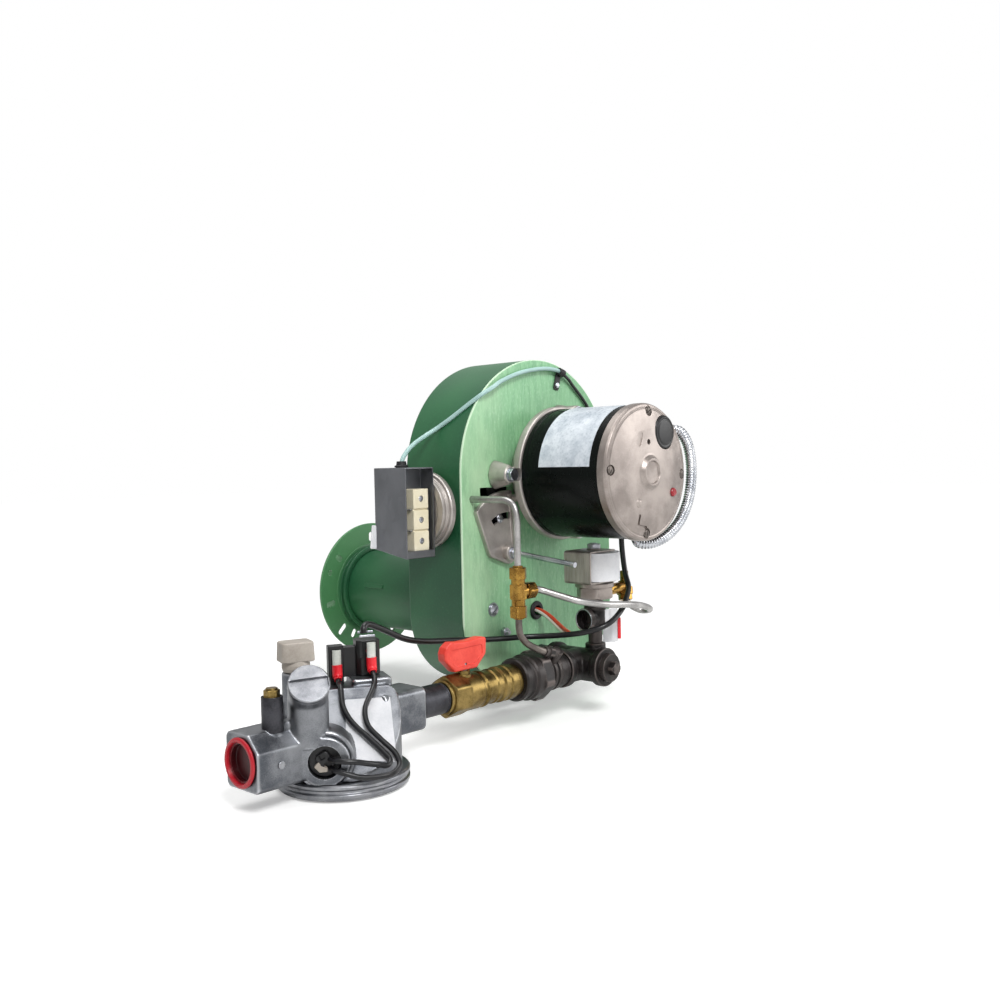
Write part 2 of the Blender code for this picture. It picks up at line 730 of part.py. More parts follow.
def housing_outline(inset):
    """The housing's arch, straight sides and rounded bottom, moved inward by inset."""
    half = HOUSING_HALF_WIDTH - inset
    corner = HOUSING_CORNER - inset
    centre = HOUSING_HALF_WIDTH - HOUSING_CORNER
    outline = arc(0, MOTOR_HEIGHT, half, 0, 180, ARCH_STEPS)
    outline += arc(-centre, 0, corner, 180, 270, CORNER_STEPS)
    outline += arc(centre, 0, corner, 270, 360, CORNER_STEPS)
    return outline


def make_housing(dark_green, pale_green):
    plate_rear = HOUSING_FRONT - PLATE_THICKNESS
    shell_depth = plate_rear - GAP - HOUSING_REAR
    shell = extruded("housing_shell", housing_outline(0), shell_depth, dark_green,
                     (0, -HOUSING_REAR, 0), FRONT)
    hollow = extruded("housing_hollow", housing_outline(SHEET), shell_depth + OVERRUN, None,
                      (0, -HOUSING_REAR - SHEET, 0), FRONT)
    outlet = turned("housing_outlet", [(TUBE_RADIUS + GAP, -OVERRUN), (TUBE_RADIUS + GAP, SHEET + OVERRUN)],
                    None, (0, -HOUSING_REAR, 0), FRONT, SIDES_LARGE)
    cut(shell, hollow, outlet)

    plate = extruded("front_plate", housing_outline(0), PLATE_THICKNESS, pale_green,
                     (0, -plate_rear, 0), FRONT)
    depth = PLATE_THICKNESS + 2 * OVERRUN
    start = -plate_rear + OVERRUN
    motor_hole = turned("plate_motor_hole", [(PLATE_MOTOR_HOLE, 0), (PLATE_MOTOR_HOLE, depth)], None,
                        (0, start, MOTOR_HEIGHT), FRONT)
    inlet_height = INLET_TOP - INLET_BOTTOM
    inlet = block("plate_inlet", (INLET_WIDTH, depth, inlet_height), None,
                  (INLET_CENTRE_X, -plate_rear, INLET_TOP - inlet_height / 2))
    cut(plate, motor_hole, inlet)
    lock_x, lock_z = lock_screw_place()
    holes = [("gas_hole", PIPE_RADIUS, TEE_X, LINE_Z), ("rod_hole", ROD_RADIUS, SHUTTER_PIVOT_X, SHUTTER_PIVOT_Z),
             ("pilot_hole", PILOT_TUBE_RADIUS, BRASS_X, BURNER_TUBE_POINTS[8][2]),
             ("wire_hole", GROMMET_HOLE, GROMMET_X, GROMMET_Z),
             ("lock_hole", LOCK_SCREW_SHANK, lock_x, lock_z)]
    for number, angle in enumerate(LUG_ANGLES):
        x, z = around(LUG_CIRCLE, angle, MOTOR_HEIGHT)
        holes.append((f"stud_hole_{number}", MOUNT_BOLT_SHANK, x, z))
    for name, radius, x, z in holes:
        wide = room(radius, SIDES_SMALL)
        cut(plate, turned(name, [(wide, 0), (wide, depth)], None, (x, start, z), FRONT, SIDES_SMALL))


def make_tube_and_flange(green):
    inner = TUBE_RADIUS - TUBE_WALL
    front = HOUSING_REAR + TUBE_INSIDE_HOUSING
    turned("air_tube", [(inner, -TUBE_PAST_FLANGE), (TUBE_RADIUS, -TUBE_PAST_FLANGE),
                        (TUBE_RADIUS, front), (inner, front)],
           green, (0, 0, 0), FRONT, SIDES_LARGE, ring=True)
    bore = TUBE_RADIUS + GAP
    bead_start = COLLAR_LENGTH - COLLAR_BEAD_WIDTH
    flange = turned("mounting_flange",
                    [(bore, 0), (FLANGE_RADIUS, 0), (FLANGE_RADIUS, FLANGE_THICKNESS),
                     (COLLAR_RADIUS, FLANGE_THICKNESS), (COLLAR_RADIUS, bead_start),
                     (COLLAR_BEAD, bead_start + COLLAR_BEAD_WIDTH / 4),
                     (COLLAR_BEAD, COLLAR_LENGTH - COLLAR_BEAD_WIDTH / 4),
                     (COLLAR_RADIUS, COLLAR_LENGTH), (bore, COLLAR_LENGTH)],
                    green, (0, 0, 0), FRONT, SIDES_LARGE, ring=True)
    outlines = []
    for angle, slot_inner, slot_outer in FLANGE_SLOTS:
        outlines.append(radial_slot(angle, slot_inner, slot_outer, SLOT_WIDTH))
        if angle != 90:
            outlines.append(radial_slot(180 - angle, slot_inner, slot_outer, SLOT_WIDTH))
    cut(flange, extruded("flange_slots", outlines, FLANGE_THICKNESS + 2 * OVERRUN, None, (0, OVERRUN, 0), FRONT))


def lock_screw_place():
    x, z = around(SHUTTER_SLOT_RADIUS, LOCK_SCREW_ANGLE, SHUTTER_PIVOT_Z)
    return SHUTTER_PIVOT_X + x, z


def shutter_outline(inset):
    """A fan-shaped leaf with a round tip about the pivot."""
    reach, tip = SHUTTER_REACH - inset, SHUTTER_TIP - inset
    lean = math.degrees(inset / SHUTTER_REACH)
    outline = arc(0, 0, reach, SHUTTER_RIGHT_ANGLE + lean, SHUTTER_LEFT_ANGLE - lean, 10)
    outline += arc(0, 0, tip, SHUTTER_LEFT_ANGLE + 90, SHUTTER_RIGHT_ANGLE + 270, 8)
    return outline


def make_shutter(cast, steel):
    rear = HOUSING_FRONT + GAP
    place = (SHUTTER_PIVOT_X, -rear, SHUTTER_PIVOT_Z)
    holder = pivot("shutter_pivot", place)
    leaf = extruded("air_shutter", shutter_outline(0), SHUTTER_THICKNESS, cast, place, FRONT)
    floor = SHUTTER_THICKNESS - SHUTTER_POCKET
    pocket = extruded("shutter_pocket", shutter_outline(SHUTTER_RIM), SHUTTER_POCKET + OVERRUN, None,
                      (place[0], place[1] - floor, place[2]), FRONT)
    hub = turned("shutter_hub", [(SHUTTER_HUB, SINK), (SHUTTER_HUB, SHUTTER_HUB_HEIGHT)], None, place, FRONT,
                 SIDES_SMALL)
    half = SHUTTER_SLOT_WIDTH / 2
    middle = SHUTTER_SLOT_RADIUS
    slot_outline = arc(0, 0, middle + half, SHUTTER_SLOT_FROM, SHUTTER_SLOT_TO, 6)
    slot_outline += arc(0, 0, middle - half, SHUTTER_SLOT_TO, SHUTTER_SLOT_FROM, 6)
    depth = SHUTTER_THICKNESS + 2 * OVERRUN
    slot = extruded("shutter_slot", slot_outline, depth, None, (place[0], place[1] + OVERRUN, place[2]), FRONT)
    bore = turned("shutter_bore", [(ROD_RADIUS + GAP, -OVERRUN), (ROD_RADIUS + GAP, SHUTTER_HUB_HEIGHT + OVERRUN)],
                  None, place, FRONT, SIDES_TINY)
    cut(leaf, pocket)
    fuse(leaf, hub)
    cut(leaf, slot, bore)

    front = -rear
    rod = cord("shutter_rod", ((SHUTTER_PIVOT_X, front + ROD_INSIDE, SHUTTER_PIVOT_Z),
                               (SHUTTER_PIVOT_X, front, SHUTTER_PIVOT_Z),
                               (SHUTTER_PIVOT_X, front - ROD_STRAIGHT, SHUTTER_PIVOT_Z),
                               (SHUTTER_PIVOT_X, front - ROD_LENGTH / 2, SHUTTER_PIVOT_Z - ROD_DROP * 0.4),
                               (SHUTTER_PIVOT_X, front - ROD_LENGTH, SHUTTER_PIVOT_Z - ROD_DROP)),
               ROD_RADIUS, steel, ROD_STRAIGHT, resolution=3)
    hang(holder, leaf, rod)


# Motor

def make_motor_casing(black, cast, rubber):
    axis = (0, 0, MOTOR_HEIGHT)
    inner = MOTOR_RADIUS - SHELL_WALL
    turned("motor_shell", [(MOTOR_RADIUS, SHELL_REAR), (MOTOR_RADIUS, SHELL_FRONT),
                           (inner, SHELL_FRONT), (inner, SHELL_REAR)], black, axis, FRONT, SIDES_LARGE, ring=True)

    spigot = inner - GAP
    pocket = SHAFT_RADIUS + GAP
    rim_rear = SHELL_FRONT + GAP
    rim_front = rim_rear + FRONT_BELL_LENGTH
    dome = rim_front + DOME_HEIGHT
    bell = turned("motor_front_bell",
                  [(0, rim_rear + BEARING_DEPTH), (pocket, rim_rear + BEARING_DEPTH),
                   (pocket, rim_rear - BELL_SPIGOT), (spigot, rim_rear - BELL_SPIGOT), (spigot, rim_rear),
                   (FRONT_BELL_RADIUS, rim_rear), (FRONT_BELL_RADIUS, rim_front - FRONT_BELL_EDGE),
                   (FRONT_BELL_RADIUS - FRONT_BELL_EDGE * 0.3, rim_front - FRONT_BELL_EDGE * 0.3),
                   (FRONT_BELL_RADIUS - FRONT_BELL_EDGE, rim_front),
                   ((FRONT_BELL_RADIUS + BOSS_SHOULDER) / 2, rim_front + DOME_HEIGHT * 0.62),
                   (BOSS_SHOULDER, dome), (BOSS_RADIUS, dome + BOSS_HEIGHT * 0.8),
                   (BOSS_RADIUS * 0.86, dome + BOSS_HEIGHT), (0, dome + BOSS_HEIGHT)],
                  cast, axis, FRONT, SIDES_LARGE)
    plug_place = (PLUG_X, 0, MOTOR_HEIGHT + PLUG_Z)
    recess = turned("plug_recess", [(PLUG_RADIUS + GAP, rim_front - PLUG_DEPTH),
                                    (PLUG_RADIUS + GAP, dome + OVERRUN)], None, plug_place, FRONT)
    well = turned("reset_well", [(RESET_RADIUS + GAP, rim_front - RESET_WELL), (RESET_RADIUS + GAP, dome + OVERRUN)],
                  None, (RESET_X, 0, MOTOR_HEIGHT + RESET_Z), FRONT, SIDES_SMALL)
    cut(bell, recess, well)
    seat = rim_front - FRONT_BELL_EDGE * 0.4
    for number in range(BOLT_COUNT):
        x, z = around(BOLT_CIRCLE, BOLT_FIRST_ANGLE + 360 * number / BOLT_COUNT, MOTOR_HEIGHT)
        spot = turned(f"bolt_seat_{number}", [(BOLT_SHANK + GAP, seat - BOLT_LENGTH - OVERRUN),
                                              (BOLT_SHANK + GAP, seat), (BOLT_SEAT, seat),
                                              (BOLT_SEAT, dome + OVERRUN)], None, (x, 0, z), FRONT, SIDES_TINY)
        cut(bell, spot)
    plug_seat = rim_front - PLUG_DEPTH + GAP
    crown = rim_front + DOME_HEIGHT * 0.5
    turned("motor_plug", [(PLUG_RADIUS, plug_seat), (PLUG_RADIUS, crown), (PLUG_RADIUS * 0.8, crown + PLUG_CROWN * 0.7),
                          (0, crown + PLUG_CROWN)], rubber, plug_place, FRONT)


def make_rear_bell(cast, zinc):
    axis = (0, 0, MOTOR_HEIGHT)
    spigot = MOTOR_RADIUS - SHELL_WALL - GAP
    pocket = SHAFT_RADIUS + GAP
    foot = HOUSING_FRONT + GAP
    front = SHELL_REAR - GAP
    band = front - REAR_BELL_BAND
    bell = turned("motor_rear_bell",
                  [(pocket, foot + REAR_BELL_FOOT_DEPTH), (REAR_BELL_FOOT - REAR_BELL_FOOT_WALL, foot + REAR_BELL_FOOT_DEPTH),
                   (REAR_BELL_FOOT - REAR_BELL_FOOT_WALL, foot), (REAR_BELL_FOOT, foot),
                   (REAR_BELL_WAIST, foot + REAR_BELL_WAIST_FROM_PLATE), (REAR_BELL_RADIUS, band),
                   (REAR_BELL_RADIUS, front), (spigot, front), (spigot, front + BELL_SPIGOT),
                   (pocket, front + BELL_SPIGOT)],
                  cast, axis, FRONT, SIDES_LARGE, ring=True)
    head_seat = foot + LUG_LENGTH + GAP
    for number, angle in enumerate(LUG_ANGLES):
        x, z = around(LUG_CIRCLE, angle, MOTOR_HEIGHT)
        lug = turned(f"lug_{number}", [(LUG_RADIUS, foot), (LUG_RADIUS, foot + LUG_LENGTH)], None, (x, 0, z), FRONT,
                     SIDES_SMALL)
        bore = MOUNT_BOLT_SHANK + GAP
        spot = room(MOUNT_BOLT_HEAD / math.cos(math.pi / HEX), SIDES_TINY)
        head_end = head_seat + MOUNT_BOLT_HEAD_HEIGHT + GAP
        hole = turned(f"lug_hole_{number}", [(bore, foot - OVERRUN), (bore, foot + LUG_LENGTH),
                                             (spot, foot + LUG_LENGTH), (spot, head_end)], None, (x, 0, z), FRONT,
                      SIDES_TINY)
        fuse(bell, lug)
        cut(bell, hole)
        bolt_end = HOUSING_FRONT - PLATE_THICKNESS - MOUNT_BOLT_THROUGH
        bolt = turned(f"mount_bolt_{number + 1}", [(MOUNT_BOLT_SHANK, bolt_end), (MOUNT_BOLT_SHANK, head_seat + SINK)],
                      zinc, (x, 0, z), FRONT, SIDES_TINY)
        head = extruded(f"mount_bolt_head_{number}", polygon(2 * MOUNT_BOLT_HEAD, HEX), MOUNT_BOLT_HEAD_HEIGHT, None,
                        (x, -head_seat, z), FRONT)
        fuse(bolt, head)


def make_motor_inside(iron, steel, red):
    axis = (0, 0, MOTOR_HEIGHT)
    turned("motor_stator", [(MOTOR_RADIUS - SHELL_WALL - GAP, STATOR_REAR), (MOTOR_RADIUS - SHELL_WALL - GAP, STATOR_FRONT),
                            (STATOR_BORE, STATOR_FRONT), (STATOR_BORE, STATOR_REAR)], iron, axis, FRONT, SIDES_ROUND,
           ring=True)
    shaft_front = SHELL_FRONT + GAP + BEARING_DEPTH - SHAFT_FRONT_CLEARANCE
    holder = pivot("fan_axis", axis)
    rotor = turned("motor_rotor", [(SHAFT_RADIUS, SHAFT_REAR), (SHAFT_RADIUS, ROTOR_REAR), (ROTOR_RADIUS, ROTOR_REAR),
                                   (ROTOR_RADIUS, ROTOR_FRONT), (SHAFT_RADIUS, ROTOR_FRONT),
                                   (SHAFT_RADIUS, shaft_front)], steel, axis, FRONT)
    hang(holder, rotor, make_fan(steel))

    rim_front = SHELL_FRONT + GAP + FRONT_BELL_LENGTH
    bottom = rim_front - RESET_WELL + RESET_TRAVEL + GAP
    place = (RESET_X, 0, MOTOR_HEIGHT + RESET_Z)
    button = turned("reset_button", [(RESET_RADIUS, bottom), (RESET_RADIUS, rim_front + RESET_STEM * 0.5),
                                     (RESET_RADIUS * 0.7, rim_front + RESET_STEM * 0.6)], red, place, FRONT, SIDES_SMALL)
    hang(pivot("reset_axis", place), button)


def blade_outline(angle):
    """A thin strip that curves forward from the wheel's eye to its rim."""
    inner, outer = FAN_EYE, FAN_RADIUS - SINK
    first, second = [], []
    for step in range(FAN_BLADE_STEPS + 1):
        share = step / FAN_BLADE_STEPS
        radius = inner + (outer - inner) * share
        turn = math.radians(angle + FAN_BLADE_SWEEP * share ** 2)
        x, y = radius * math.cos(turn), radius * math.sin(turn)
        side_x = -math.sin(turn) * FAN_BLADE_THICKNESS / 2
        side_y = math.cos(turn) * FAN_BLADE_THICKNESS / 2
        first.append((x + side_x, y + side_y))
        second.append((x - side_x, y - side_y))
    return first + second[::-1]


def make_fan(steel):
    axis = (0, 0, MOTOR_HEIGHT)
    bore = SHAFT_RADIUS + GAP
    disc = FAN_REAR + FAN_DISC
    wheel = turned("fan_wheel", [(bore, FAN_REAR), (FAN_RADIUS, FAN_REAR), (FAN_RADIUS, disc),
                                 (FAN_HUB_RADIUS, disc), (FAN_HUB_RADIUS, FAN_REAR + FAN_HUB_LENGTH),
                                 (bore, FAN_REAR + FAN_HUB_LENGTH)], steel, axis, FRONT, SIDES_LARGE, ring=True)
    rim = turned("fan_rim", [(FAN_EYE + SINK, FAN_FRONT - FAN_DISC), (FAN_RADIUS, FAN_FRONT - FAN_DISC),
                             (FAN_RADIUS, FAN_FRONT), (FAN_EYE + SINK, FAN_FRONT)], None, axis, FRONT, SIDES_LARGE,
                 ring=True)
    outlines = [blade_outline(360 * number / FAN_BLADES) for number in range(FAN_BLADES)]
    start = FAN_REAR + FAN_DISC / 2
    blades = extruded("fan_blades", outlines, FAN_FRONT - FAN_DISC / 2 - start, None,
                      (0, -start, MOTOR_HEIGHT), FRONT)
    return fuse(wheel, blades, rim)


# Air pressure switch and its cable

def make_switch(zinc, grey, cream, rubber):
    wall = -HOUSING_HALF_WIDTH - GAP
    neck = PAN_NECK_LENGTH
    rim = neck + PAN_RIM_LENGTH
    step = rim + PAN_STEP_LENGTH
    turned("switch_pan", [(PAN_NECK, 0), (PAN_NECK, neck), (PAN_RADIUS, neck), (PAN_RADIUS, rim),
                          (PAN_STEP, rim), (PAN_STEP, step)], zinc, (wall, SWITCH_Y, SWITCH_Z), LEFT, SIDES_LARGE)
    box_start = wall - step - GAP
    # The box's outline is drawn with height along its local X and depth along its local Y
    outline = [(BOX_TOP, BOX_BACK), (BOX_BOTTOM_BACK, BOX_BACK), (BOX_BOTTOM_FRONT, BOX_FRONT), (BOX_TOP, BOX_FRONT)]
    box = extruded("switch_box", outline, BOX_DEPTH, zinc, (box_start, 0, 0), LEFT, smooth=False)
    pocket_bottom = BOX_BOTTOM_FRONT + BOX_LEDGE
    pocket_top = BOX_TOP - BOX_LEDGE
    middle_x = box_start - BOX_DEPTH / 2
    pocket = block("switch_pocket", (BOX_DEPTH - 2 * BOX_WALL, BOX_POCKET_DEPTH + OVERRUN, pocket_top - pocket_bottom),
                   None, (middle_x, BOX_FRONT + (BOX_POCKET_DEPTH - OVERRUN) / 2, (pocket_top + pocket_bottom) / 2))
    bush_hole = turned("bush_hole", [(BUSH_RADIUS + GAP, -BOX_LEDGE - OVERRUN), (BUSH_RADIUS + GAP, OVERRUN)], None,
                       (middle_x, BUSH_Y, BOX_TOP), UP, SIDES_SMALL)
    cut(box, pocket, bush_hole)

    height = TERMINAL_BLOCKS * TERMINAL_HEIGHT
    bottom = pocket_bottom + GAP
    depth_middle = BOX_FRONT + BOX_POCKET_DEPTH - GAP - TERMINAL_DEPTH / 2
    stack = block("switch_terminals", (TERMINAL_WIDTH, TERMINAL_DEPTH, height), cream,
                  (middle_x, depth_middle, bottom + height / 2))
    for joint in range(1, TERMINAL_BLOCKS):
        groove = block(f"terminal_groove_{joint}", (TERMINAL_WIDTH + OVERRUN, 2 * TERMINAL_GROOVE_DEPTH, TERMINAL_GROOVE),
                       None, (middle_x, depth_middle - TERMINAL_DEPTH / 2, bottom + joint * TERMINAL_HEIGHT))
        cut(stack, groove)

    bore = CABLE_RADIUS + GAP
    turned("switch_bush", [(bore, -BOX_LEDGE + GAP), (BUSH_RADIUS, -BOX_LEDGE + GAP), (BUSH_RADIUS, GAP),
                           (BUSH_FLANGE, GAP), (BUSH_FLANGE, BUSH_FLANGE_HEIGHT),
                           (BUSH_RADIUS * 0.8, BUSH_HEIGHT), (bore, BUSH_HEIGHT)],
           rubber, (middle_x, BUSH_Y, BOX_TOP), UP, SIDES_SMALL, ring=True)
    cord("signal_cable", ((middle_x, BUSH_Y, BOX_TOP - BOX_LEDGE + GAP), (middle_x, BUSH_Y, BOX_TOP + BUSH_HEIGHT))
         + SIGNAL_POINTS[1:], CABLE_RADIUS, grey, 6 * CABLE_RADIUS)


def make_clip(rubber):
    bore = room(CABLE_RADIUS + GAP, SIDES_SMALL)
    outer = bore + CLIP_WALL
    centre_y = -HOUSING_FRONT - GAP - outer
    half = CLIP_LENGTH / 2
    slope = math.radians(CLIP_SLOPE)
    direction = Vector((math.cos(slope), 0, math.sin(slope)))
    loop = turned("cable_clip", [(bore, -half), (outer, -half), (outer, half), (bore, half)], rubber,
                  (CLIP_X, centre_y, CLIP_Z), direction.to_track_quat("Z", "Y").to_euler(), SIDES_SMALL, ring=True)
    reach = CLIP_TAB_LENGTH / 2 + outer - CLIP_WALL
    tab = block("clip_tab", (CLIP_LENGTH, CLIP_TAB_THICKNESS, CLIP_TAB_LENGTH), None,
                (CLIP_X + math.sin(slope) * reach, -HOUSING_FRONT - GAP - CLIP_TAB_THICKNESS / 2,
                 CLIP_Z - math.cos(slope) * reach), (0, -slope, 0))
    fuse(loop, tab)
    # The cable's own channel stays open where the tab meets the loop
    channel = turned("clip_channel", [(bore, -half - OVERRUN), (bore, half + OVERRUN)], None,
                     (CLIP_X, centre_y, CLIP_Z), direction.to_track_quat("Z", "Y").to_euler(), SIDES_SMALL)
    cut(loop, channel)


# Gas train

def make_tee(iron):
    centre = (TEE_X, LINE_Y, LINE_Z)
    band = TEE_REACH - TEE_BAND_LENGTH
    run = turned("gas_tee", [(TEE_BAND, -TEE_REACH), (TEE_BAND, -band), (TEE_BODY, -band + SINK), (TEE_BODY, band - SINK),
                             (TEE_BAND, band), (TEE_BAND, TEE_REACH)], iron, centre, FRONT)
    branch = turned("tee_branch", [(TEE_BODY, 0), (TEE_BODY, band - SINK), (TEE_BAND, band), (TEE_BAND, TEE_REACH)],
                    None, centre, LEFT)
    tap_top = TEE_BAND + TAP_BOSS_HEIGHT
    tap = turned("tee_tap", [(TAP_BOSS, 0), (TAP_BOSS, tap_top)], None, (SOLENOID_X, SOLENOID_Y, LINE_Z), UP, SIDES_SMALL)
    fuse(run, branch, tap)
    socket = PIPE_RADIUS + GAP
    deep = TEE_REACH - THREAD_DEPTH
    through = turned("tee_through", [(socket, -TEE_REACH - OVERRUN), (socket, -deep), (PIPE_BORE, -deep), (PIPE_BORE, deep),
                                     (socket, deep), (socket, TEE_REACH + OVERRUN)], None, centre, FRONT)
    side = turned("tee_side", [(PIPE_BORE, 0), (PIPE_BORE, deep), (socket, deep), (socket, TEE_REACH + OVERRUN)],
                  None, centre, LEFT)
    tap_hole = turned("tee_tap_hole", [(RISER_RADIUS + GAP, TEE_BODY - SINK), (RISER_RADIUS + GAP, tap_top + OVERRUN)],
                      None, (SOLENOID_X, SOLENOID_Y, LINE_Z), UP, SIDES_SMALL)
    cut(run, through, side, tap_hole)

    plug_face = TEE_REACH + GAP
    plug = turned("tee_plug", [(PIPE_RADIUS, deep + END_PLAY), (PIPE_RADIUS, plug_face), (PLUG_HEAD, plug_face),
                               (PLUG_HEAD, plug_face + PLUG_HEAD_LENGTH)], iron, centre, FRONT)
    square_start = plug_face + PLUG_HEAD_LENGTH - SINK
    square = extruded("plug_square", polygon(PLUG_SQUARE, 4), PLUG_SQUARE_LENGTH + SINK, None,
                      (TEE_X, LINE_Y - square_start, LINE_Z), FRONT, smooth=False)
    fuse(plug, square)

    start = LINE_Y + deep + END_PLAY
    end = -HOUSING_FRONT + NIPPLE_INSIDE_HOUSING
    turned("manifold_nipple", [(PIPE_BORE, 0), (PIPE_RADIUS, 0), (PIPE_RADIUS, end - start), (PIPE_BORE, end - start)],
           iron, (TEE_X, start, LINE_Z), BACK, ring=True)


def make_union(iron):
    line = (0, LINE_Y, LINE_Z)
    spigot_end = UNION_LEFT - THREAD_DEPTH + END_PLAY
    body_end = UNION_LEFT + UNION_BODY_LENGTH
    thread_end = body_end + UNION_THREAD_LENGTH
    body = turned("union_body", [(PIPE_BORE, spigot_end), (PIPE_RADIUS, spigot_end), (PIPE_RADIUS, UNION_LEFT),
                                 (UNION_BODY_RADIUS, UNION_LEFT), (UNION_BODY_RADIUS, body_end),
                                 (UNION_THREAD_RADIUS, body_end), (UNION_THREAD_RADIUS, thread_end),
                                 (PIPE_BORE, thread_end)], iron, line, RIGHT, ring=True)
    nut_start = body_end + GAP
    nut = extruded("union_nut", polygon(UNION_NUT_FLATS, UNION_NUT_SIDES), UNION_NUT_END - nut_start, iron,
                   (nut_start, LINE_Y, LINE_Z), RIGHT)
    bore = UNION_THREAD_RADIUS + GAP
    lip_start = UNION_NUT_END - UNION_NUT_LIP
    hollow = turned("union_nut_hollow", [(bore, nut_start - OVERRUN), (bore, lip_start), (UNION_NECK + GAP, lip_start),
                                         (UNION_NECK + GAP, UNION_NUT_END + OVERRUN)], None, line, RIGHT)
    cut(nut, hollow)

    tee_face = TEE_X - TEE_REACH - GAP
    tail_end = TEE_X - TEE_REACH + THREAD_DEPTH - END_PLAY
    ring_start = UNION_NUT_END + GAP
    tail = turned("union_tail", [(PIPE_BORE, thread_end + GAP), (UNION_THREAD_RADIUS, thread_end + GAP),
                                 (UNION_THREAD_RADIUS, lip_start - GAP), (UNION_NECK, lip_start - GAP),
                                 (UNION_NECK, ring_start), (UNION_TAIL_RING, ring_start), (UNION_TAIL_RING, tee_face),
                                 (PIPE_RADIUS, tee_face), (PIPE_RADIUS, tail_end), (PIPE_BORE, tail_end)],
                  iron, line, RIGHT, ring=True)
    direction = Vector((0, -math.sin(math.radians(FEED_ANGLE)), math.cos(math.radians(FEED_ANGLE))))
    middle = Vector(((ring_start + tee_face) / 2, LINE_Y, LINE_Z))
    fuse(tail, bar("feed_boss", FEED_BOSS_RADIUS, middle + direction * UNION_NECK,
                   middle + direction * (UNION_TAIL_RING + FEED_BOSS_HEIGHT)))


def make_ball_valve(brass, red, chrome):
    line = (0, LINE_Y, LINE_Z)
    hex_start = VALVE_LEFT + VALVE_END_LENGTH
    hex_end = hex_start + VALVE_HEX_LENGTH
    body_end = HANDLE_X + BALL_RADIUS
    right_hex = VALVE_RIGHT - VALVE_HEX_LENGTH
    body = turned("ball_valve_body", [(VALVE_END, VALVE_LEFT), (VALVE_END, hex_start + SINK),
                                      (VALVE_WAIST, hex_start + 2 * SINK), (VALVE_WAIST, hex_end - SINK),
                                      (VALVE_BODY, hex_end - SINK / 2), (VALVE_BODY, body_end),
                                      (VALVE_WAIST, body_end + VALVE_END_LENGTH),
                                      (VALVE_WAIST, right_hex + SINK), (VALVE_END, VALVE_RIGHT - VALVE_END_LENGTH - SINK),
                                      (VALVE_END, VALVE_RIGHT)], brass, line, RIGHT)
    left = extruded("valve_left_hex", polygon(VALVE_HEX_FLATS, HEX), VALVE_HEX_LENGTH, None,
                    (hex_start, LINE_Y, LINE_Z), RIGHT)
    right = turned("valve_right_end", [(VALVE_BODY, 0), (VALVE_BODY, VALVE_HEX_LENGTH - VALVE_END_LENGTH)], None,
                   (right_hex, LINE_Y, LINE_Z), RIGHT)
    neck = turned("valve_neck", [(NECK_RADIUS, 0), (NECK_RADIUS, NECK_HEIGHT)], None, (HANDLE_X, LINE_Y, LINE_Z), UP,
                  SIDES_SMALL)
    fuse(body, left, right, neck)
    socket = PIPE_RADIUS + GAP
    passage = turned("valve_passage", [(socket, VALVE_LEFT - OVERRUN), (socket, VALVE_LEFT + THREAD_DEPTH),
                                       (BALL_BORE, VALVE_LEFT + THREAD_DEPTH), (BALL_BORE, VALVE_RIGHT - THREAD_DEPTH),
                                       (socket, VALVE_RIGHT - THREAD_DEPTH), (socket, VALVE_RIGHT + OVERRUN)],
                     None, line, RIGHT)
    seat_radius = BALL_RADIUS + GAP
    seat_profile = [(seat_radius * math.cos(math.radians(angle)), seat_radius * math.sin(math.radians(angle)))
                    for angle in range(-90, 91, 30)]
    seat_profile[0], seat_profile[-1] = (0, -seat_radius), (0, seat_radius)
    seat = turned("valve_seat", seat_profile, None, (HANDLE_X, LINE_Y, LINE_Z), UP)
    stem_hole = turned("valve_stem_hole", [(STEM_RADIUS + GAP, 0), (STEM_RADIUS + GAP, NECK_HEIGHT + OVERRUN)], None,
                       (HANDLE_X, LINE_Y, LINE_Z), UP, SIDES_SMALL)
    cut(body, passage, seat, stem_hole)

    centre = (HANDLE_X, LINE_Y, LINE_Z)
    holder = pivot("handle_axis", centre)
    ball_profile = [(radius * BALL_RADIUS / seat_radius, height * BALL_RADIUS / seat_radius)
                    for radius, height in seat_profile]
    ball = turned("valve_ball", ball_profile, chrome, centre, UP)
    stem = turned("valve_stem", [(STEM_RADIUS, BALL_RADIUS / 2), (STEM_RADIUS, STEM_TOP)], None, centre, UP, SIDES_SMALL)
    bore = turned("valve_ball_bore", [(BALL_BORE, -BALL_RADIUS - OVERRUN), (BALL_BORE, BALL_RADIUS + OVERRUN)], None,
                  centre, RIGHT)
    cut(ball, bore)
    fuse(ball, stem)

    foot_z = NECK_HEIGHT + HANDLE_LIFT
    top_z = foot_z + HANDLE_HEIGHT
    shoulder = foot_z + HANDLE_HEIGHT * 0.42
    half, foot = HANDLE_SPAN / 2, HANDLE_FOOT / 2
    corner = HANDLE_ROUNDING
    outline = [(-foot, foot_z), (foot, foot_z), (half - corner * 0.3, shoulder)]
    outline += arc(half - corner, top_z - corner, corner, 0, 90, 3)
    outline += arc(-half + corner, top_z - corner, corner, 90, 180, 3)
    outline += [(-half + corner * 0.3, shoulder)]
    handle = extruded("valve_handle", outline, HANDLE_THICKNESS, red, (HANDLE_X, LINE_Y + HANDLE_THICKNESS / 2, LINE_Z),
                      FRONT)
    handle_hole = turned("handle_hole", [(STEM_RADIUS + GAP, 0), (STEM_RADIUS + GAP, STEM_TOP + GAP)], None, centre, UP,
                         SIDES_SMALL)
    cut(handle, handle_hole)
    hang(holder, ball, handle)


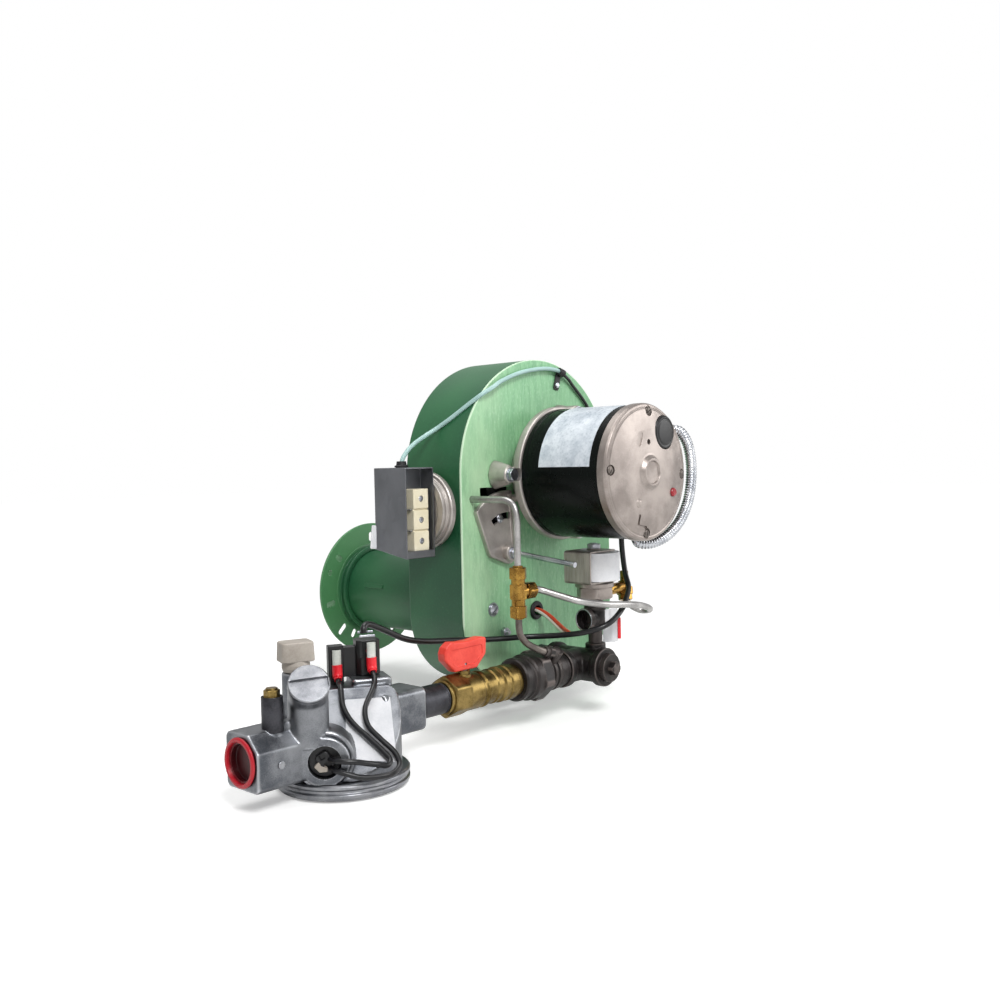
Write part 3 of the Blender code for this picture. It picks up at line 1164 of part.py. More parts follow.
def make_outlet_nipple(iron):
    start = GAS_OUTLET_END - THREAD_DEPTH + END_PLAY
    end = VALVE_LEFT + THREAD_DEPTH - END_PLAY
    turned("outlet_nipple", [(PIPE_BORE, start), (PIPE_RADIUS, start), (PIPE_RADIUS, end), (PIPE_BORE, end)],
           iron, (0, LINE_Y, LINE_Z), RIGHT, ring=True)


# Combination gas valve

def make_gas_valve(cast):
    centre = (GAS_X, LINE_Y, 0)
    body = turned("gas_valve_body", [(GAS_DRUM, GAS_DRUM_BOTTOM), (GAS_DRUM, GAS_DRUM_TOP - SHEET),
                                     (GAS_DRUM - SHEET, GAS_DRUM_TOP)], cast, centre, UP, SIDES_LARGE)
    face = facing(FACE_TURN, FACE_RISE)
    slice_depth = GAS_DRUM
    slice_tool = block("valve_face_slice", (4 * GAS_DRUM, 4 * GAS_DRUM, slice_depth), None,
                       Vector((FACE_X, FACE_Y, FACE_Z)) + face * slice_depth / 2, along(face))
    cut(body, slice_tool)

    low, wide = GAS_INLET_HALF_HEIGHT, GAS_INLET_HALF_WIDTH
    big, small = GAS_INLET_CHAMFER, GAS_INLET_SMALL_CHAMFER
    # Drawn with height along its local X and depth along its local Y
    outline = [(low, wide - small), (low - small, wide), (-low + small, wide), (-low, wide - small),
               (-low, -wide + small), (-low + small, -wide), (low - big, -wide), (low, -wide + big)]
    root = GAS_X - GAS_BLOCK_ROOT
    inlet = extruded("gas_inlet_block", outline, root - GAS_INLET_END, None, (root, LINE_Y, GAS_INLET_Z), LEFT,
                     smooth=False)
    outlet = extruded("gas_outlet_block", rounded_rectangle(2 * GAS_OUTLET_HALF, 2 * GAS_OUTLET_HALF, KNOB_CORNER),
                      GAS_OUTLET_END - GAS_X - GAS_BLOCK_ROOT, None, (GAS_X + GAS_BLOCK_ROOT, LINE_Y, LINE_Z), RIGHT)
    cap_direction = facing(FACE_TURN, REGULATOR_RISE)
    cap_place = Vector((REGULATOR_X, REGULATOR_Y, REGULATOR_Z))
    tower = bar("regulator_tower", TOWER_RADIUS, cap_place - cap_direction * (TOWER_LENGTH + GAP),
                cap_place - cap_direction * (REGULATOR_CAP_HEIGHT + GAP), None, SIDES_ROUND)
    knob_bottom = KNOB_TOP - KNOB_GRIP_HEIGHT - KNOB_BASE_HEIGHT - GAP
    knob_boss = turned("knob_boss", [(KNOB_BOSS_RADIUS, GAS_DRUM_TOP - GAS_BLOCK_ROOT), (KNOB_BOSS_RADIUS, knob_bottom)],
                       None, (KNOB_X, KNOB_Y, 0), UP, SIDES_SMALL)
    post = turned("tap_post", [(POST_RADIUS, GAS_INLET_Z), (POST_RADIUS, POST_TOP)], None, (POST_X, POST_Y, 0), UP,
                  SIDES_SMALL)
    port_direction = facing(PORT_TURN, 0)
    port_place = Vector((PORT_X, PORT_Y, PORT_Z))
    port = bar("port_boss", PORT_RADIUS, port_place - port_direction * PORT_LENGTH, port_place, None, SIDES_ROUND)
    pedestal = block("terminal_pedestal", (PEDESTAL_WIDTH, PEDESTAL_DEPTH, PEDESTAL_HEIGHT), None,
                     (PEDESTAL_X, PEDESTAL_Y, PEDESTAL_TOP - PEDESTAL_HEIGHT / 2), (0, 0, math.radians(BLOCK_TURN)))
    fuse(body, inlet, outlet, tower, knob_boss, post, port, pedestal)

    socket = PIPE_RADIUS + GAP
    blind = 2 * THREAD_DEPTH
    inlet_bore = turned("gas_inlet_bore", [(socket, -OVERRUN), (socket, THREAD_DEPTH), (PIPE_BORE, THREAD_DEPTH),
                                           (PIPE_BORE, blind)], None, (GAS_INLET_END, LINE_Y, GAS_INLET_Z), RIGHT)
    outlet_bore = turned("gas_outlet_bore", [(socket, -OVERRUN), (socket, THREAD_DEPTH), (PIPE_BORE, THREAD_DEPTH),
                                             (PIPE_BORE, blind)], None, (GAS_OUTLET_END, LINE_Y, LINE_Z), LEFT)
    port_hole = bar("port_hole", PORT_HOLE, port_place - port_direction * PORT_HOLE_DEPTH,
                    port_place + port_direction * OVERRUN, None, SIDES_ROUND)
    tap_hole = turned("tap_hole", [(TAP_SHANK + GAP, POST_TOP - TAP_SHANK_LENGTH - GAP), (TAP_SHANK + GAP, POST_TOP + OVERRUN)],
                      None, (POST_X, POST_Y, 0), UP, SIDES_TINY)
    under = turned("valve_underside", [(2 * GAS_DRUM, GAS_DRUM_BOTTOM - GAS_DRUM), (2 * GAS_DRUM, GAS_DRUM_BOTTOM)],
                   None, centre, UP)
    cut(body, inlet_bore, outlet_bore, port_hole, tap_hole, under)


def make_valve_fittings(cast, red, beige, brass, black, knob_look):
    top = GAS_DRUM_BOTTOM - GAP
    step = GAS_BASE_BOTTOM + GAS_BASE_STEP
    turned("gas_valve_base", [(GAS_BASE_RADIUS * 0.93, GAS_BASE_BOTTOM), (GAS_BASE_RADIUS, GAS_BASE_BOTTOM + SHEET),
                              (GAS_BASE_RADIUS, step), (GAS_BASE_RADIUS - SHEET, step + SHEET),
                              (GAS_BASE_RADIUS - SHEET, step + 2 * SHEET), (GAS_BASE_RADIUS, step + 3 * SHEET),
                              (GAS_BASE_RADIUS, top - SHEET), (GAS_BASE_RADIUS - SHEET, top)],
           cast, (GAS_X, LINE_Y, 0), UP, SIDES_LARGE)

    turned("inlet_cap", [(PIPE_RADIUS, -CAP_PLUG_LENGTH), (PIPE_RADIUS, GAP), (CAP_FLANGE, GAP),
                         (CAP_FLANGE, CAP_FLANGE_THICKNESS * 0.7), (CAP_FLANGE - SHEET, CAP_FLANGE_THICKNESS),
                         (CAP_DISH + SHEET, CAP_FLANGE_THICKNESS), (CAP_DISH, CAP_FLANGE_THICKNESS - CAP_DISH_DEPTH)],
           red, (GAS_INLET_END, LINE_Y, GAS_INLET_Z), LEFT)

    cap_direction = facing(FACE_TURN, REGULATOR_RISE)
    cap_place = Vector((REGULATOR_X, REGULATOR_Y, REGULATOR_Z))
    cap = turned("regulator_cap", [(REGULATOR_CAP, -REGULATOR_CAP_HEIGHT), (REGULATOR_CAP, -SHEET / 2),
                                   (REGULATOR_CAP - SHEET / 2, 0)], beige, cap_place, along(cap_direction))
    slot = block("regulator_slot", (2 * REGULATOR_CAP - 2 * SHEET, REGULATOR_SLOT, 2 * REGULATOR_SLOT_DEPTH), None,
                 cap_place, along(cap_direction))
    cut(cap, slot)

    knob_place = (KNOB_X, KNOB_Y, KNOB_TOP - KNOB_GRIP_HEIGHT)
    knob = extruded("gas_knob", rounded_rectangle(KNOB_WIDTH, KNOB_DEPTH, KNOB_CORNER), KNOB_GRIP_HEIGHT, knob_look,
                    knob_place, (0, 0, math.radians(KNOB_TURN)))
    base = turned("knob_base", [(KNOB_BASE_RADIUS, -KNOB_BASE_HEIGHT), (KNOB_BASE_RADIUS, -KNOB_BASE_HEIGHT / 2),
                                (KNOB_BASE_RADIUS * 0.9, SINK)], None, knob_place, UP, SIDES_SMALL)
    fuse(knob, base)
    hang(pivot("knob_axis", knob_place), knob)

    tap = turned("pressure_tap", [(TAP_SHANK, POST_TOP - TAP_SHANK_LENGTH), (TAP_SHANK, POST_TOP + GAP + SINK)], brass,
                 (POST_X, POST_Y, 0), UP, SIDES_TINY)
    tap_head = extruded("tap_head", polygon(2 * TAP_HEX, HEX), TAP_HEX_HEIGHT, None, (POST_X, POST_Y, POST_TOP + GAP), UP)
    fuse(tap, tap_head)

    turn = (0, 0, math.radians(BLOCK_TURN))
    outline = rounded_rectangle(BLOCK_WIDTH, BLOCK_DEPTH, BLOCK_CHAMFER, 1)
    extruded("valve_terminal_block", outline, BLOCK_HEIGHT, black, (PEDESTAL_X, PEDESTAL_Y, PEDESTAL_TOP + GAP), turn,
             smooth=False)


def make_cords(black, red, copper):
    cord("valve_lead_left", LEAD_LEFT_POINTS, LEAD_RADIUS, black, 6 * LEAD_RADIUS, swell=(BOOT_LENGTH, BOOT_SCALE))
    cord("valve_lead_right", LEAD_RIGHT_POINTS, LEAD_RADIUS, black, 6 * LEAD_RADIUS, swell=(BOOT_LENGTH, BOOT_SCALE))
    cord("control_cable", CONTROL_POINTS, CONTROL_RADIUS, black, 6 * CONTROL_RADIUS)
    cord("wiring_conduit", CONDUIT_POINTS, CONDUIT_RADIUS, copper, 2 * CONDUIT_RADIUS, resolution=3)
    cord("ignition_wires", WIRES_POINTS, WIRES_RADIUS, red, 2 * WIRES_RADIUS)


# Pilot line

def make_solenoid(iron, cast, grey, zinc, steel, brass):
    axis = (SOLENOID_X, SOLENOID_Y, 0)
    riser_bottom = LINE_Z + TEE_BODY + SINK
    riser = turned("pilot_riser", [(RISER_RADIUS, riser_bottom), (RISER_RADIUS, RISER_BODY_BOTTOM),
                                   (RISER_BODY, RISER_BODY_BOTTOM), (RISER_BODY, RISER_BODY_TOP),
                                   (RISER_RADIUS, RISER_BODY_TOP), (RISER_RADIUS, SOLENOID_BOTTOM - GAP)],
                   iron, axis, UP, SIDES_SMALL)
    direction = facing(RISER_BRANCH_TURN, 0)
    branch = turned("riser_branch", [(RISER_BRANCH_RADIUS, 0), (RISER_BRANCH_RADIUS, RISER_BRANCH_LENGTH - RISER_BAND_LENGTH),
                                     (RISER_BAND, RISER_BRANCH_LENGTH - RISER_BAND_LENGTH),
                                     (RISER_BAND, RISER_BRANCH_LENGTH)], None,
                    (SOLENOID_X, SOLENOID_Y, RISER_BRANCH_Z), along(direction), SIDES_SMALL)
    fuse(riser, branch)

    hex_top = SOLENOID_BOTTOM + SOLENOID_HEX_HEIGHT
    bonnet_top = hex_top + SOLENOID_BONNET_HEIGHT
    stem_inner = SOLENOID_STEM - SOLENOID_STEM_WALL
    body = turned("solenoid_body", [(0, SOLENOID_STEM_TOP - SOLENOID_STEM_WALL), (stem_inner, SOLENOID_STEM_TOP - SOLENOID_STEM_WALL),
                                    (stem_inner, PLUNGER_SEAT), (PLUNGER_RADIUS / 2, PLUNGER_SEAT),
                                    (PLUNGER_RADIUS / 2, SOLENOID_BOTTOM), (SOLENOID_HEX_FLATS / 2 - SINK, SOLENOID_BOTTOM),
                                    (SOLENOID_HEX_FLATS / 2 - SINK, hex_top), (SOLENOID_BONNET, hex_top),
                                    (SOLENOID_BONNET, bonnet_top), (SOLENOID_STEM, bonnet_top),
                                    (SOLENOID_STEM, SOLENOID_STEM_TOP)], cast, axis, UP)
    fuse(body, extruded("solenoid_hex", ring_hex(), SOLENOID_HEX_HEIGHT - SINK, None,
                        (SOLENOID_X, SOLENOID_Y, SOLENOID_BOTTOM + SINK / 2), UP))
    bore = turned("solenoid_bore", [(PLUNGER_RADIUS / 2, SOLENOID_BOTTOM - OVERRUN), (PLUNGER_RADIUS / 2, PLUNGER_SEAT),
                                    (stem_inner, PLUNGER_SEAT), (stem_inner, hex_top + SOLENOID_BONNET_HEIGHT)], None, axis,
                  UP, SIDES_ROUND)
    cut(body, bore)

    yoke_start = bonnet_top + GAP
    inner_bottom = yoke_start + YOKE_THICKNESS
    inner_top = YOKE_TOP - YOKE_THICKNESS
    half, wall = YOKE_HALF_WIDTH, YOKE_THICKNESS
    outline = [(-half, yoke_start), (half, yoke_start), (half, YOKE_TOP), (-half, YOKE_TOP)]
    yoke = extruded("solenoid_yoke", outline, YOKE_DEPTH, grey, (SOLENOID_X, SOLENOID_Y + YOKE_DEPTH / 2, 0), FRONT,
                    smooth=False)
    opening = block("yoke_opening", (2 * (half - wall), YOKE_DEPTH + 2 * OVERRUN, inner_top - inner_bottom), None,
                    (SOLENOID_X, SOLENOID_Y, (inner_top + inner_bottom) / 2))
    stem_hole = turned("yoke_hole", [(SOLENOID_STEM + GAP, yoke_start - OVERRUN), (SOLENOID_STEM + GAP, YOKE_TOP + OVERRUN)],
                       None, axis, UP, SIDES_ROUND)
    cut(yoke, opening, stem_hole)
    turned("solenoid_coil", [(SOLENOID_STEM + GAP, inner_bottom + GAP), (COIL_RADIUS, inner_bottom + GAP),
                             (COIL_RADIUS, inner_top - GAP), (SOLENOID_STEM + GAP, inner_top - GAP)], zinc, axis, UP,
           ring=True)
    nut_bottom = SOLENOID_STEM_TOP + GAP
    turned("solenoid_nut", [(NUT_RADIUS, nut_bottom), (NUT_RADIUS, nut_bottom + NUT_HEIGHT * 0.8),
                            (NUT_RADIUS * 0.8, nut_bottom + NUT_HEIGHT)], zinc, axis, UP, HEX)
    seat = PLUNGER_SEAT + GAP
    plunger = turned("solenoid_plunger", [(PLUNGER_RADIUS * 0.6, seat), (PLUNGER_RADIUS, seat + SHEET),
                                          (PLUNGER_RADIUS, seat + PLUNGER_LENGTH)], steel, axis, UP, SIDES_SMALL)
    hang(pivot("plunger_axis", axis), plunger)

    elbow_start = Vector((SOLENOID_X + SOLENOID_HEX_FLATS / 2 + GAP, SOLENOID_Y, SOLENOID_BOTTOM + SOLENOID_HEX_HEIGHT / 2))
    knee = Vector((SOLENOID_X + ELBOW_REACH, SOLENOID_Y, elbow_start.z))
    tip = Vector((ELBOW_TIP_X, ELBOW_TIP_Y, ELBOW_TIP_Z))
    down = (tip - knee).normalized()
    elbow = bar("pilot_elbow", ELBOW_RADIUS, elbow_start, knee + Vector((ELBOW_RADIUS, 0, 0)), brass, SIDES_TINY)
    arm = bar("elbow_arm", ELBOW_RADIUS, knee, tip, None, SIDES_TINY)
    nut = bar("elbow_nut", ELBOW_NUT, tip - down * ELBOW_NUT_LENGTH, tip, None, HEX)
    fuse(elbow, arm, nut)


def ring_hex():
    return polygon(SOLENOID_HEX_FLATS, HEX)


def make_brass_tee(brass):
    centre = Vector((BRASS_X, BRASS_Y, BRASS_Z))
    top = centre + Vector((0, 0, BRASS_ARM_UP))
    bottom = centre - Vector((0, 0, BRASS_ARM_DOWN))
    side = centre + Vector((BRASS_ARM_SIDE, 0, 0))
    body = bar("pilot_tee", BRASS_BODY, bottom, top, brass, SIDES_TINY)
    arm = bar("pilot_tee_arm", BRASS_BODY, centre, side, None, SIDES_TINY)
    nuts = []
    for name, end in (("top", top), ("bottom", bottom), ("side", side)):
        inward = (centre - end).normalized()
        nuts.append(bar(f"pilot_nut_{name}", BRASS_NUT, end, end + inward * BRASS_NUT_LENGTH, None, HEX))
    fuse(body, arm, *nuts)


def make_pilot_tubes(aluminium):
    spacing = 4 * PILOT_TUBE_RADIUS
    cord("pilot_burner_tube", BURNER_TUBE_POINTS, PILOT_TUBE_RADIUS, aluminium, spacing)
    cord("pilot_feed_tube", FEED_TUBE_POINTS, PILOT_TUBE_RADIUS, aluminium, spacing)
    cord("pilot_branch_tube", BRANCH_TUBE_POINTS, PILOT_TUBE_RADIUS, aluminium, spacing)


# Firing head inside the air tube

def make_firing_head(iron, steel, brass):
    cord("gas_manifold", MANIFOLD_POINTS, MANIFOLD_RADIUS, iron, 2 * MANIFOLD_RADIUS, resolution=3)
    nozzle = turned("gas_nozzle", [(MANIFOLD_RADIUS, 0), (NOZZLE_RADIUS, SHEET), (NOZZLE_RADIUS, NOZZLE_LENGTH - 2 * SHEET),
                                   (NOZZLE_RADIUS - SHEET, NOZZLE_LENGTH)], brass, (0, NOZZLE_START, 0), BACK)
    ports = []
    for number in range(NOZZLE_PORTS):
        x, z = around(NOZZLE_RADIUS * 0.62, 360 * number / NOZZLE_PORTS)
        ports.append([(x + dx, z + dz) for dx, dz in arc(0, 0, NOZZLE_PORT_RADIUS, 0, 300, 5)])
    cut(nozzle, extruded("nozzle_ports", ports, NOZZLE_LENGTH, None, (0, NOZZLE_START + NOZZLE_LENGTH / 2, 0), BACK))

    bore = NOZZLE_RADIUS + GAP
    face = DIFFUSER_PLACE - DIFFUSER_THICKNESS
    diffuser = turned("flame_diffuser", [(bore, DIFFUSER_PLACE), (bore, face), (DIFFUSER_RADIUS, face),
                                         (DIFFUSER_RADIUS, DIFFUSER_PLACE + DIFFUSER_LIP),
                                         (DIFFUSER_RADIUS - DIFFUSER_THICKNESS, DIFFUSER_PLACE + DIFFUSER_LIP),
                                         (DIFFUSER_RADIUS - DIFFUSER_THICKNESS, DIFFUSER_PLACE)],
                      steel, (0, 0, 0), BACK, SIDES_LARGE, ring=True)
    outlines = [radial_slot(360 * (number + 0.5) / DIFFUSER_SLOTS, DIFFUSER_SLOT_INNER, DIFFUSER_SLOT_OUTER,
                            DIFFUSER_SLOT_WIDTH) for number in range(DIFFUSER_SLOTS)]
    slots = extruded("diffuser_slots", outlines, DIFFUSER_THICKNESS + 2 * OVERRUN, None, (0, face - OVERRUN, 0), BACK)
    tube_x, _, tube_z = BURNER_TUBE_POINTS[-1]
    hole = turned("diffuser_pilot_hole", [(DIFFUSER_PILOT_HOLE, -OVERRUN), (DIFFUSER_PILOT_HOLE, OVERRUN + DIFFUSER_THICKNESS)],
                  None, (tube_x, face, tube_z), BACK, SIDES_SMALL)
    cut(diffuser, slots, hole)

    tube_end = BURNER_TUBE_POINTS[-1][1] + GAP
    bore = PILOT_TUBE_RADIUS - GAP
    turned("pilot_burner", [(0, 0), (PILOT_HEAD_RADIUS, 0), (PILOT_HEAD_RADIUS, PILOT_HEAD_LENGTH),
                            (bore, PILOT_HEAD_LENGTH), (bore, PILOT_HEAD_LENGTH / 2), (0, PILOT_HEAD_LENGTH / 2)],
           steel, (tube_x, tube_end, tube_z), BACK, SIDES_SMALL)


def main():
    clear_scene()
    dark_green = finish("dark_green_paint", (0.045, 0.200, 0.090), 0.35)
    pale_green = finish("pale_green_paint", (0.240, 0.520, 0.280), 0.45)
    black = finish("black_enamel", (0.012, 0.012, 0.013), 0.30)
    cast = finish("cast_aluminium", (0.560, 0.550, 0.540), 0.45, 0.9)
    iron = finish("black_iron", (0.030, 0.028, 0.028), 0.55, 0.4)
    brass = finish("brass", (0.560, 0.400, 0.140), 0.35, 1.0)
    zinc = finish("zinc_plate", (0.600, 0.600, 0.610), 0.35, 1.0)
    steel = finish("steel", (0.500, 0.500, 0.510), 0.40, 1.0)
    aluminium = finish("aluminium_tube", (0.640, 0.640, 0.640), 0.40, 1.0)
    grey = finish("grey_steel", (0.120, 0.130, 0.150), 0.45, 0.3)
    rubber = finish("black_rubber", (0.015, 0.015, 0.016), 0.60)
    red = finish("red_plastic", (0.560, 0.020, 0.020), 0.35)
    handle_red = finish("red_vinyl", (0.700, 0.060, 0.030), 0.45)
    cream = finish("cream_plastic", (0.720, 0.640, 0.440), 0.50)
    beige = finish("beige_plastic", (0.480, 0.440, 0.400), 0.55)
    make_housing(dark_green, pale_green)
    make_tube_and_flange(dark_green)
    make_shutter(cast, steel)
    make_motor_casing(black, cast, rubber)
    make_rear_bell(cast, zinc)
    make_motor_inside(iron, steel, red)
    make_switch(zinc, grey, cream, rubber)
    make_clip(rubber)
    make_tee(iron)
    make_union(iron)
    make_ball_valve(brass, handle_red, zinc)
    make_outlet_nipple(iron)
    make_gas_valve(cast)
    make_valve_fittings(cast, red, cast, brass, black, beige)
    make_cords(black, handle_red, zinc)
    make_solenoid(iron, cast, grey, zinc, steel, brass)
    make_brass_tee(brass)
    make_pilot_tubes(aluminium)
    make_firing_head(iron, steel, brass)


main()
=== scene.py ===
# %% [markdown]
# # A gas burner, dressed in Blender
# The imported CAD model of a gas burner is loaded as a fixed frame, and this lesson builds what is
# seen around it: the painted housing, the motor, the gas train and the pilot line.
# Every size is in metres, in the CAD's own frame: X runs along the gas line, the air tube points
# to +Y, and the tube's centre is the origin.

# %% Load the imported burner
import math

import bmesh
import bpy
import numpy as np
from mathutils import Matrix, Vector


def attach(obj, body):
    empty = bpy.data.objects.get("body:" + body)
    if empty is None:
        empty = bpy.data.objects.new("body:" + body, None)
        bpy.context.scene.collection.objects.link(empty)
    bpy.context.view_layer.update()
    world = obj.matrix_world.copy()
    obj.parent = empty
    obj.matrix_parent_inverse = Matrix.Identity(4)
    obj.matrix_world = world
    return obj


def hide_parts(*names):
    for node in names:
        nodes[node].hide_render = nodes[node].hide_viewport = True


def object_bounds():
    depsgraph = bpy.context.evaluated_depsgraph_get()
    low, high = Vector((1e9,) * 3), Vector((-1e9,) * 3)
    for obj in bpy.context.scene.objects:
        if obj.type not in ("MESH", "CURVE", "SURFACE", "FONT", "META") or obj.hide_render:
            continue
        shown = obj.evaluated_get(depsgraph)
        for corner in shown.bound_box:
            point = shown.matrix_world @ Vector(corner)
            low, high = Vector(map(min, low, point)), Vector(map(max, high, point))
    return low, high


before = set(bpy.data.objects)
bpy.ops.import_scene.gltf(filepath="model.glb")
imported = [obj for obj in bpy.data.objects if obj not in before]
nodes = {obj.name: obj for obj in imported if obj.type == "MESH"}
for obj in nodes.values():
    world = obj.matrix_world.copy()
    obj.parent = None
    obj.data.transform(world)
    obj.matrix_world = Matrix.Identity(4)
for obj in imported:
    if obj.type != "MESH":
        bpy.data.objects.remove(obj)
cad_box = [list(corner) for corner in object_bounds()]

# %% [markdown]
# ## Camera
# The photograph was taken from the burner's front left, almost level, from about 1.25 m. A camera
# could be aimed by eye, but a fit of known circles and corners gives its yaw, pitch, roll and place
# to about a pixel, so those numbers are written down here. The three directions are worked out as
# plain vectors and become the columns of the camera's matrix.

# %% Camera
YAW, PITCH, ROLL = np.radians((47.2308, 2.1965, -1.2167))
EYE = (-0.81422, -0.96640, 0.14862)
ahead = np.array([np.sin(YAW) * np.cos(PITCH), np.cos(YAW) * np.cos(PITCH), -np.sin(PITCH)])
level = np.array([np.cos(YAW), -np.sin(YAW), 0])
upright = np.cross(level, ahead)
right = level * np.cos(ROLL) + upright * np.sin(ROLL)
top = upright * np.cos(ROLL) - level * np.sin(ROLL)

lens = bpy.data.cameras.new("photo_camera")
lens.sensor_width = 36
lens.lens = 37.9335
lens.clip_start = 0.01
camera = bpy.data.objects.new("photo_camera", lens)
bpy.context.scene.collection.objects.link(camera)
camera.matrix_world = Matrix([(*row, place) for row, place in zip(np.stack([right, top, -ahead], 1), EYE)]
                             + [(0, 0, 0, 1)])
bpy.context.scene.camera = camera
print("camera looks along", ahead.round(3), "from", EYE)

# %% [markdown]
# ## Shader maths as plain Python
# A finish is a small graph of shader nodes. Wiring each node by hand hides the idea, so a Wire
# stands for one output, and sums and products of wires become Math nodes. A Graph adds any other
# node through one method: its type, its settings, then the values or links of its sockets.

# %% Wire and graph
class Wire:
    """One output of a shader node; arithmetic on it adds Math nodes."""

    def __init__(self, graph, socket):
        self.graph, self.socket = graph, socket

    def math(self, operation, first, second):
        return self.graph.node("ShaderNodeMath", {"operation": operation}, {0: first, 1: second})

    def __add__(self, other):
        return self.math("ADD", self, other)

    def __radd__(self, other):
        return self.math("ADD", other, self)

    def __sub__(self, other):
        return self.math("SUBTRACT", self, other)

    def __rsub__(self, other):
        return self.math("SUBTRACT", other, self)

    def __mul__(self, other):
        return self.math("MULTIPLY", self, other)

    def __rmul__(self, other):
        return self.math("MULTIPLY", other, self)


class Graph:
    """A tree of shader nodes that grows through one method."""

    def __init__(self, tree):
        self.tree = tree

    def plug(self, socket, value):
        if isinstance(value, Wire):
            self.tree.links.new(value.socket, socket)
        elif hasattr(value, "__len__") and len(value) == 3 and socket.type == "RGBA":
            socket.default_value = (*value, 1)
        else:
            socket.default_value = value

    def node(self, kind, settings=None, inputs=None, output=0):
        made = self.tree.nodes.new(kind)
        for setting, value in (settings or {}).items():
            if setting == "stops":
                ramp = made.color_ramp.elements
                while len(ramp) < len(value):
                    ramp.new(0.5)
                for stop, (position, colour) in zip(ramp, value):
                    stop.position, stop.color = position, (*colour, 1)
            else:
                setattr(made, setting, value)
        for name, value in (inputs or {}).items():
            self.plug(made.inputs[name], value)
        return Wire(self, made.outputs[output])

    def noise(self, scale, detail=3, rough=0.5, stretch=(1, 1, 1), warp=0.0):
        """Noise from 0 to 1 about a middle of 0.5, laid on Object coordinates."""
        place = self.node("ShaderNodeTexCoord", output="Object")
        place = self.node("ShaderNodeMapping", inputs={"Vector": place, "Scale": stretch})
        return self.node("ShaderNodeTexNoise", inputs={"Vector": place, "Scale": scale, "Detail": detail,
                                                       "Roughness": rough, "Distortion": warp})

    def cells(self, scale, stretch=(1, 1, 1)):
        """One even colour for each cell of a random mosaic."""
        place = self.node("ShaderNodeTexCoord", output="Object")
        place = self.node("ShaderNodeMapping", inputs={"Vector": place, "Scale": stretch})
        return self.node("ShaderNodeTexVoronoi", {"feature": "F1"}, {"Vector": place, "Scale": scale},
                         output="Color")

    def axis(self, letter):
        """One of the three Object coordinates."""
        place = self.node("ShaderNodeTexCoord", output="Object")
        return self.node("ShaderNodeSeparateXYZ", inputs={"Vector": place}, output=letter)

    def span(self, wire, low, high, start=0.0, end=1.0):
        """A soft step: start below low, end above high."""
        return self.node("ShaderNodeMapRange", {"interpolation_type": "SMOOTHSTEP"},
                         {"Value": wire, "From Min": low, "From Max": high, "To Min": start, "To Max": end})

    def mix(self, first, second, share):
        """Colour first where share is 0, second where it is 1."""
        return self.node("ShaderNodeMix", {"data_type": "RGBA"}, {0: share, 6: first, 7: second}, output=2)

    def bump(self, height, strength, distance, under=None):
        inputs = {"Height": height, "Strength": strength, "Distance": distance}
        if under:
            inputs["Normal"] = under
        return self.node("ShaderNodeBump", None, inputs)


class Finish(Graph):
    """A material: its Principled shader, and the graph in front of it."""

    def __init__(self, name, fixed=None):
        self.material = bpy.data.materials.new(name)
        self.material.use_nodes = True
        super().__init__(self.material.node_tree)
        self.shader = self.tree.nodes["Principled BSDF"]
        self.wear(fixed or {})

    def wear(self, inputs):
        for name, value in inputs.items():
            self.plug(self.shader.inputs[name], value)
        return self


def hue(red, green, blue):
    """A screen colour from 0 to 255 as the linear colour that a shader takes."""
    share = np.array([red, green, blue]) / 255
    return tuple(np.where(share <= 0.04045, share / 12.92, ((share + 0.055) / 1.055) ** 2.4).tolist())


print("a mid grey of 128 is", hue(128, 128, 128)[0], "in linear light")

# %% [markdown]
# ## Floor, lamps and white surroundings
# A catalogue picture shows the object cut out on white. Here the floor is a plain pale sheet under
# the lowest piece, and the world is white where the camera or a reflection sees it and softer where
# it lights the paint. Two large soft lamps at the front and one above give the shine its direction.

# %% Floor, lamps and world
floor_z = cad_box[0][2] - 0.0004
floor_mesh = bpy.data.meshes.new("floor")
floor_mesh.from_pydata([(-7, -7, floor_z), (7, -7, floor_z), (7, 7, floor_z), (-7, 7, floor_z)], [],
                       [(0, 1, 2, 3)])
floor = bpy.data.objects.new("floor", floor_mesh)
bpy.context.scene.collection.objects.link(floor)
pale = Finish("pale_floor", {"Roughness": 0.9, "Specular IOR Level": 0.1, "Emission Strength": 1.0})
seen = pale.node("ShaderNodeLightPath", output="Is Camera Ray")
place = pale.node("ShaderNodeTexCoord", output="Object")
place = pale.node("ShaderNodeMapping", inputs={"Vector": place, "Location": (0.15, 0.25, 0)})
far = pale.span(pale.node("ShaderNodeVectorMath", {"operation": "LENGTH"}, {0: place}, output="Value"),
                0.35, 1.1)
glow = pale.mix((0, 0, 0), pale.mix((0.33, 0.33, 0.33), (1, 1, 1), far), seen)
pale.wear({"Base Color": pale.mix(hue(236, 236, 235), (0, 0, 0), far * seen), "Emission Color": glow})
floor_mesh.materials.append(pale.material)

world = bpy.data.worlds.new("studio")
bpy.context.scene.world = world
world.use_nodes = True
sky = Graph(world.node_tree)
straight = sky.node("ShaderNodeLightPath", output="Is Camera Ray")
mirrored = sky.node("ShaderNodeLightPath", output="Is Glossy Ray")
through = sky.node("ShaderNodeLightPath", output="Is Transmission Ray")
backdrop = world.node_tree.nodes["Background"]
backdrop.inputs["Color"].default_value = (1, 1, 1, 1)
sky.plug(backdrop.inputs["Strength"], 0.32 + (straight + through) * 0.68 + mirrored * 0.24)


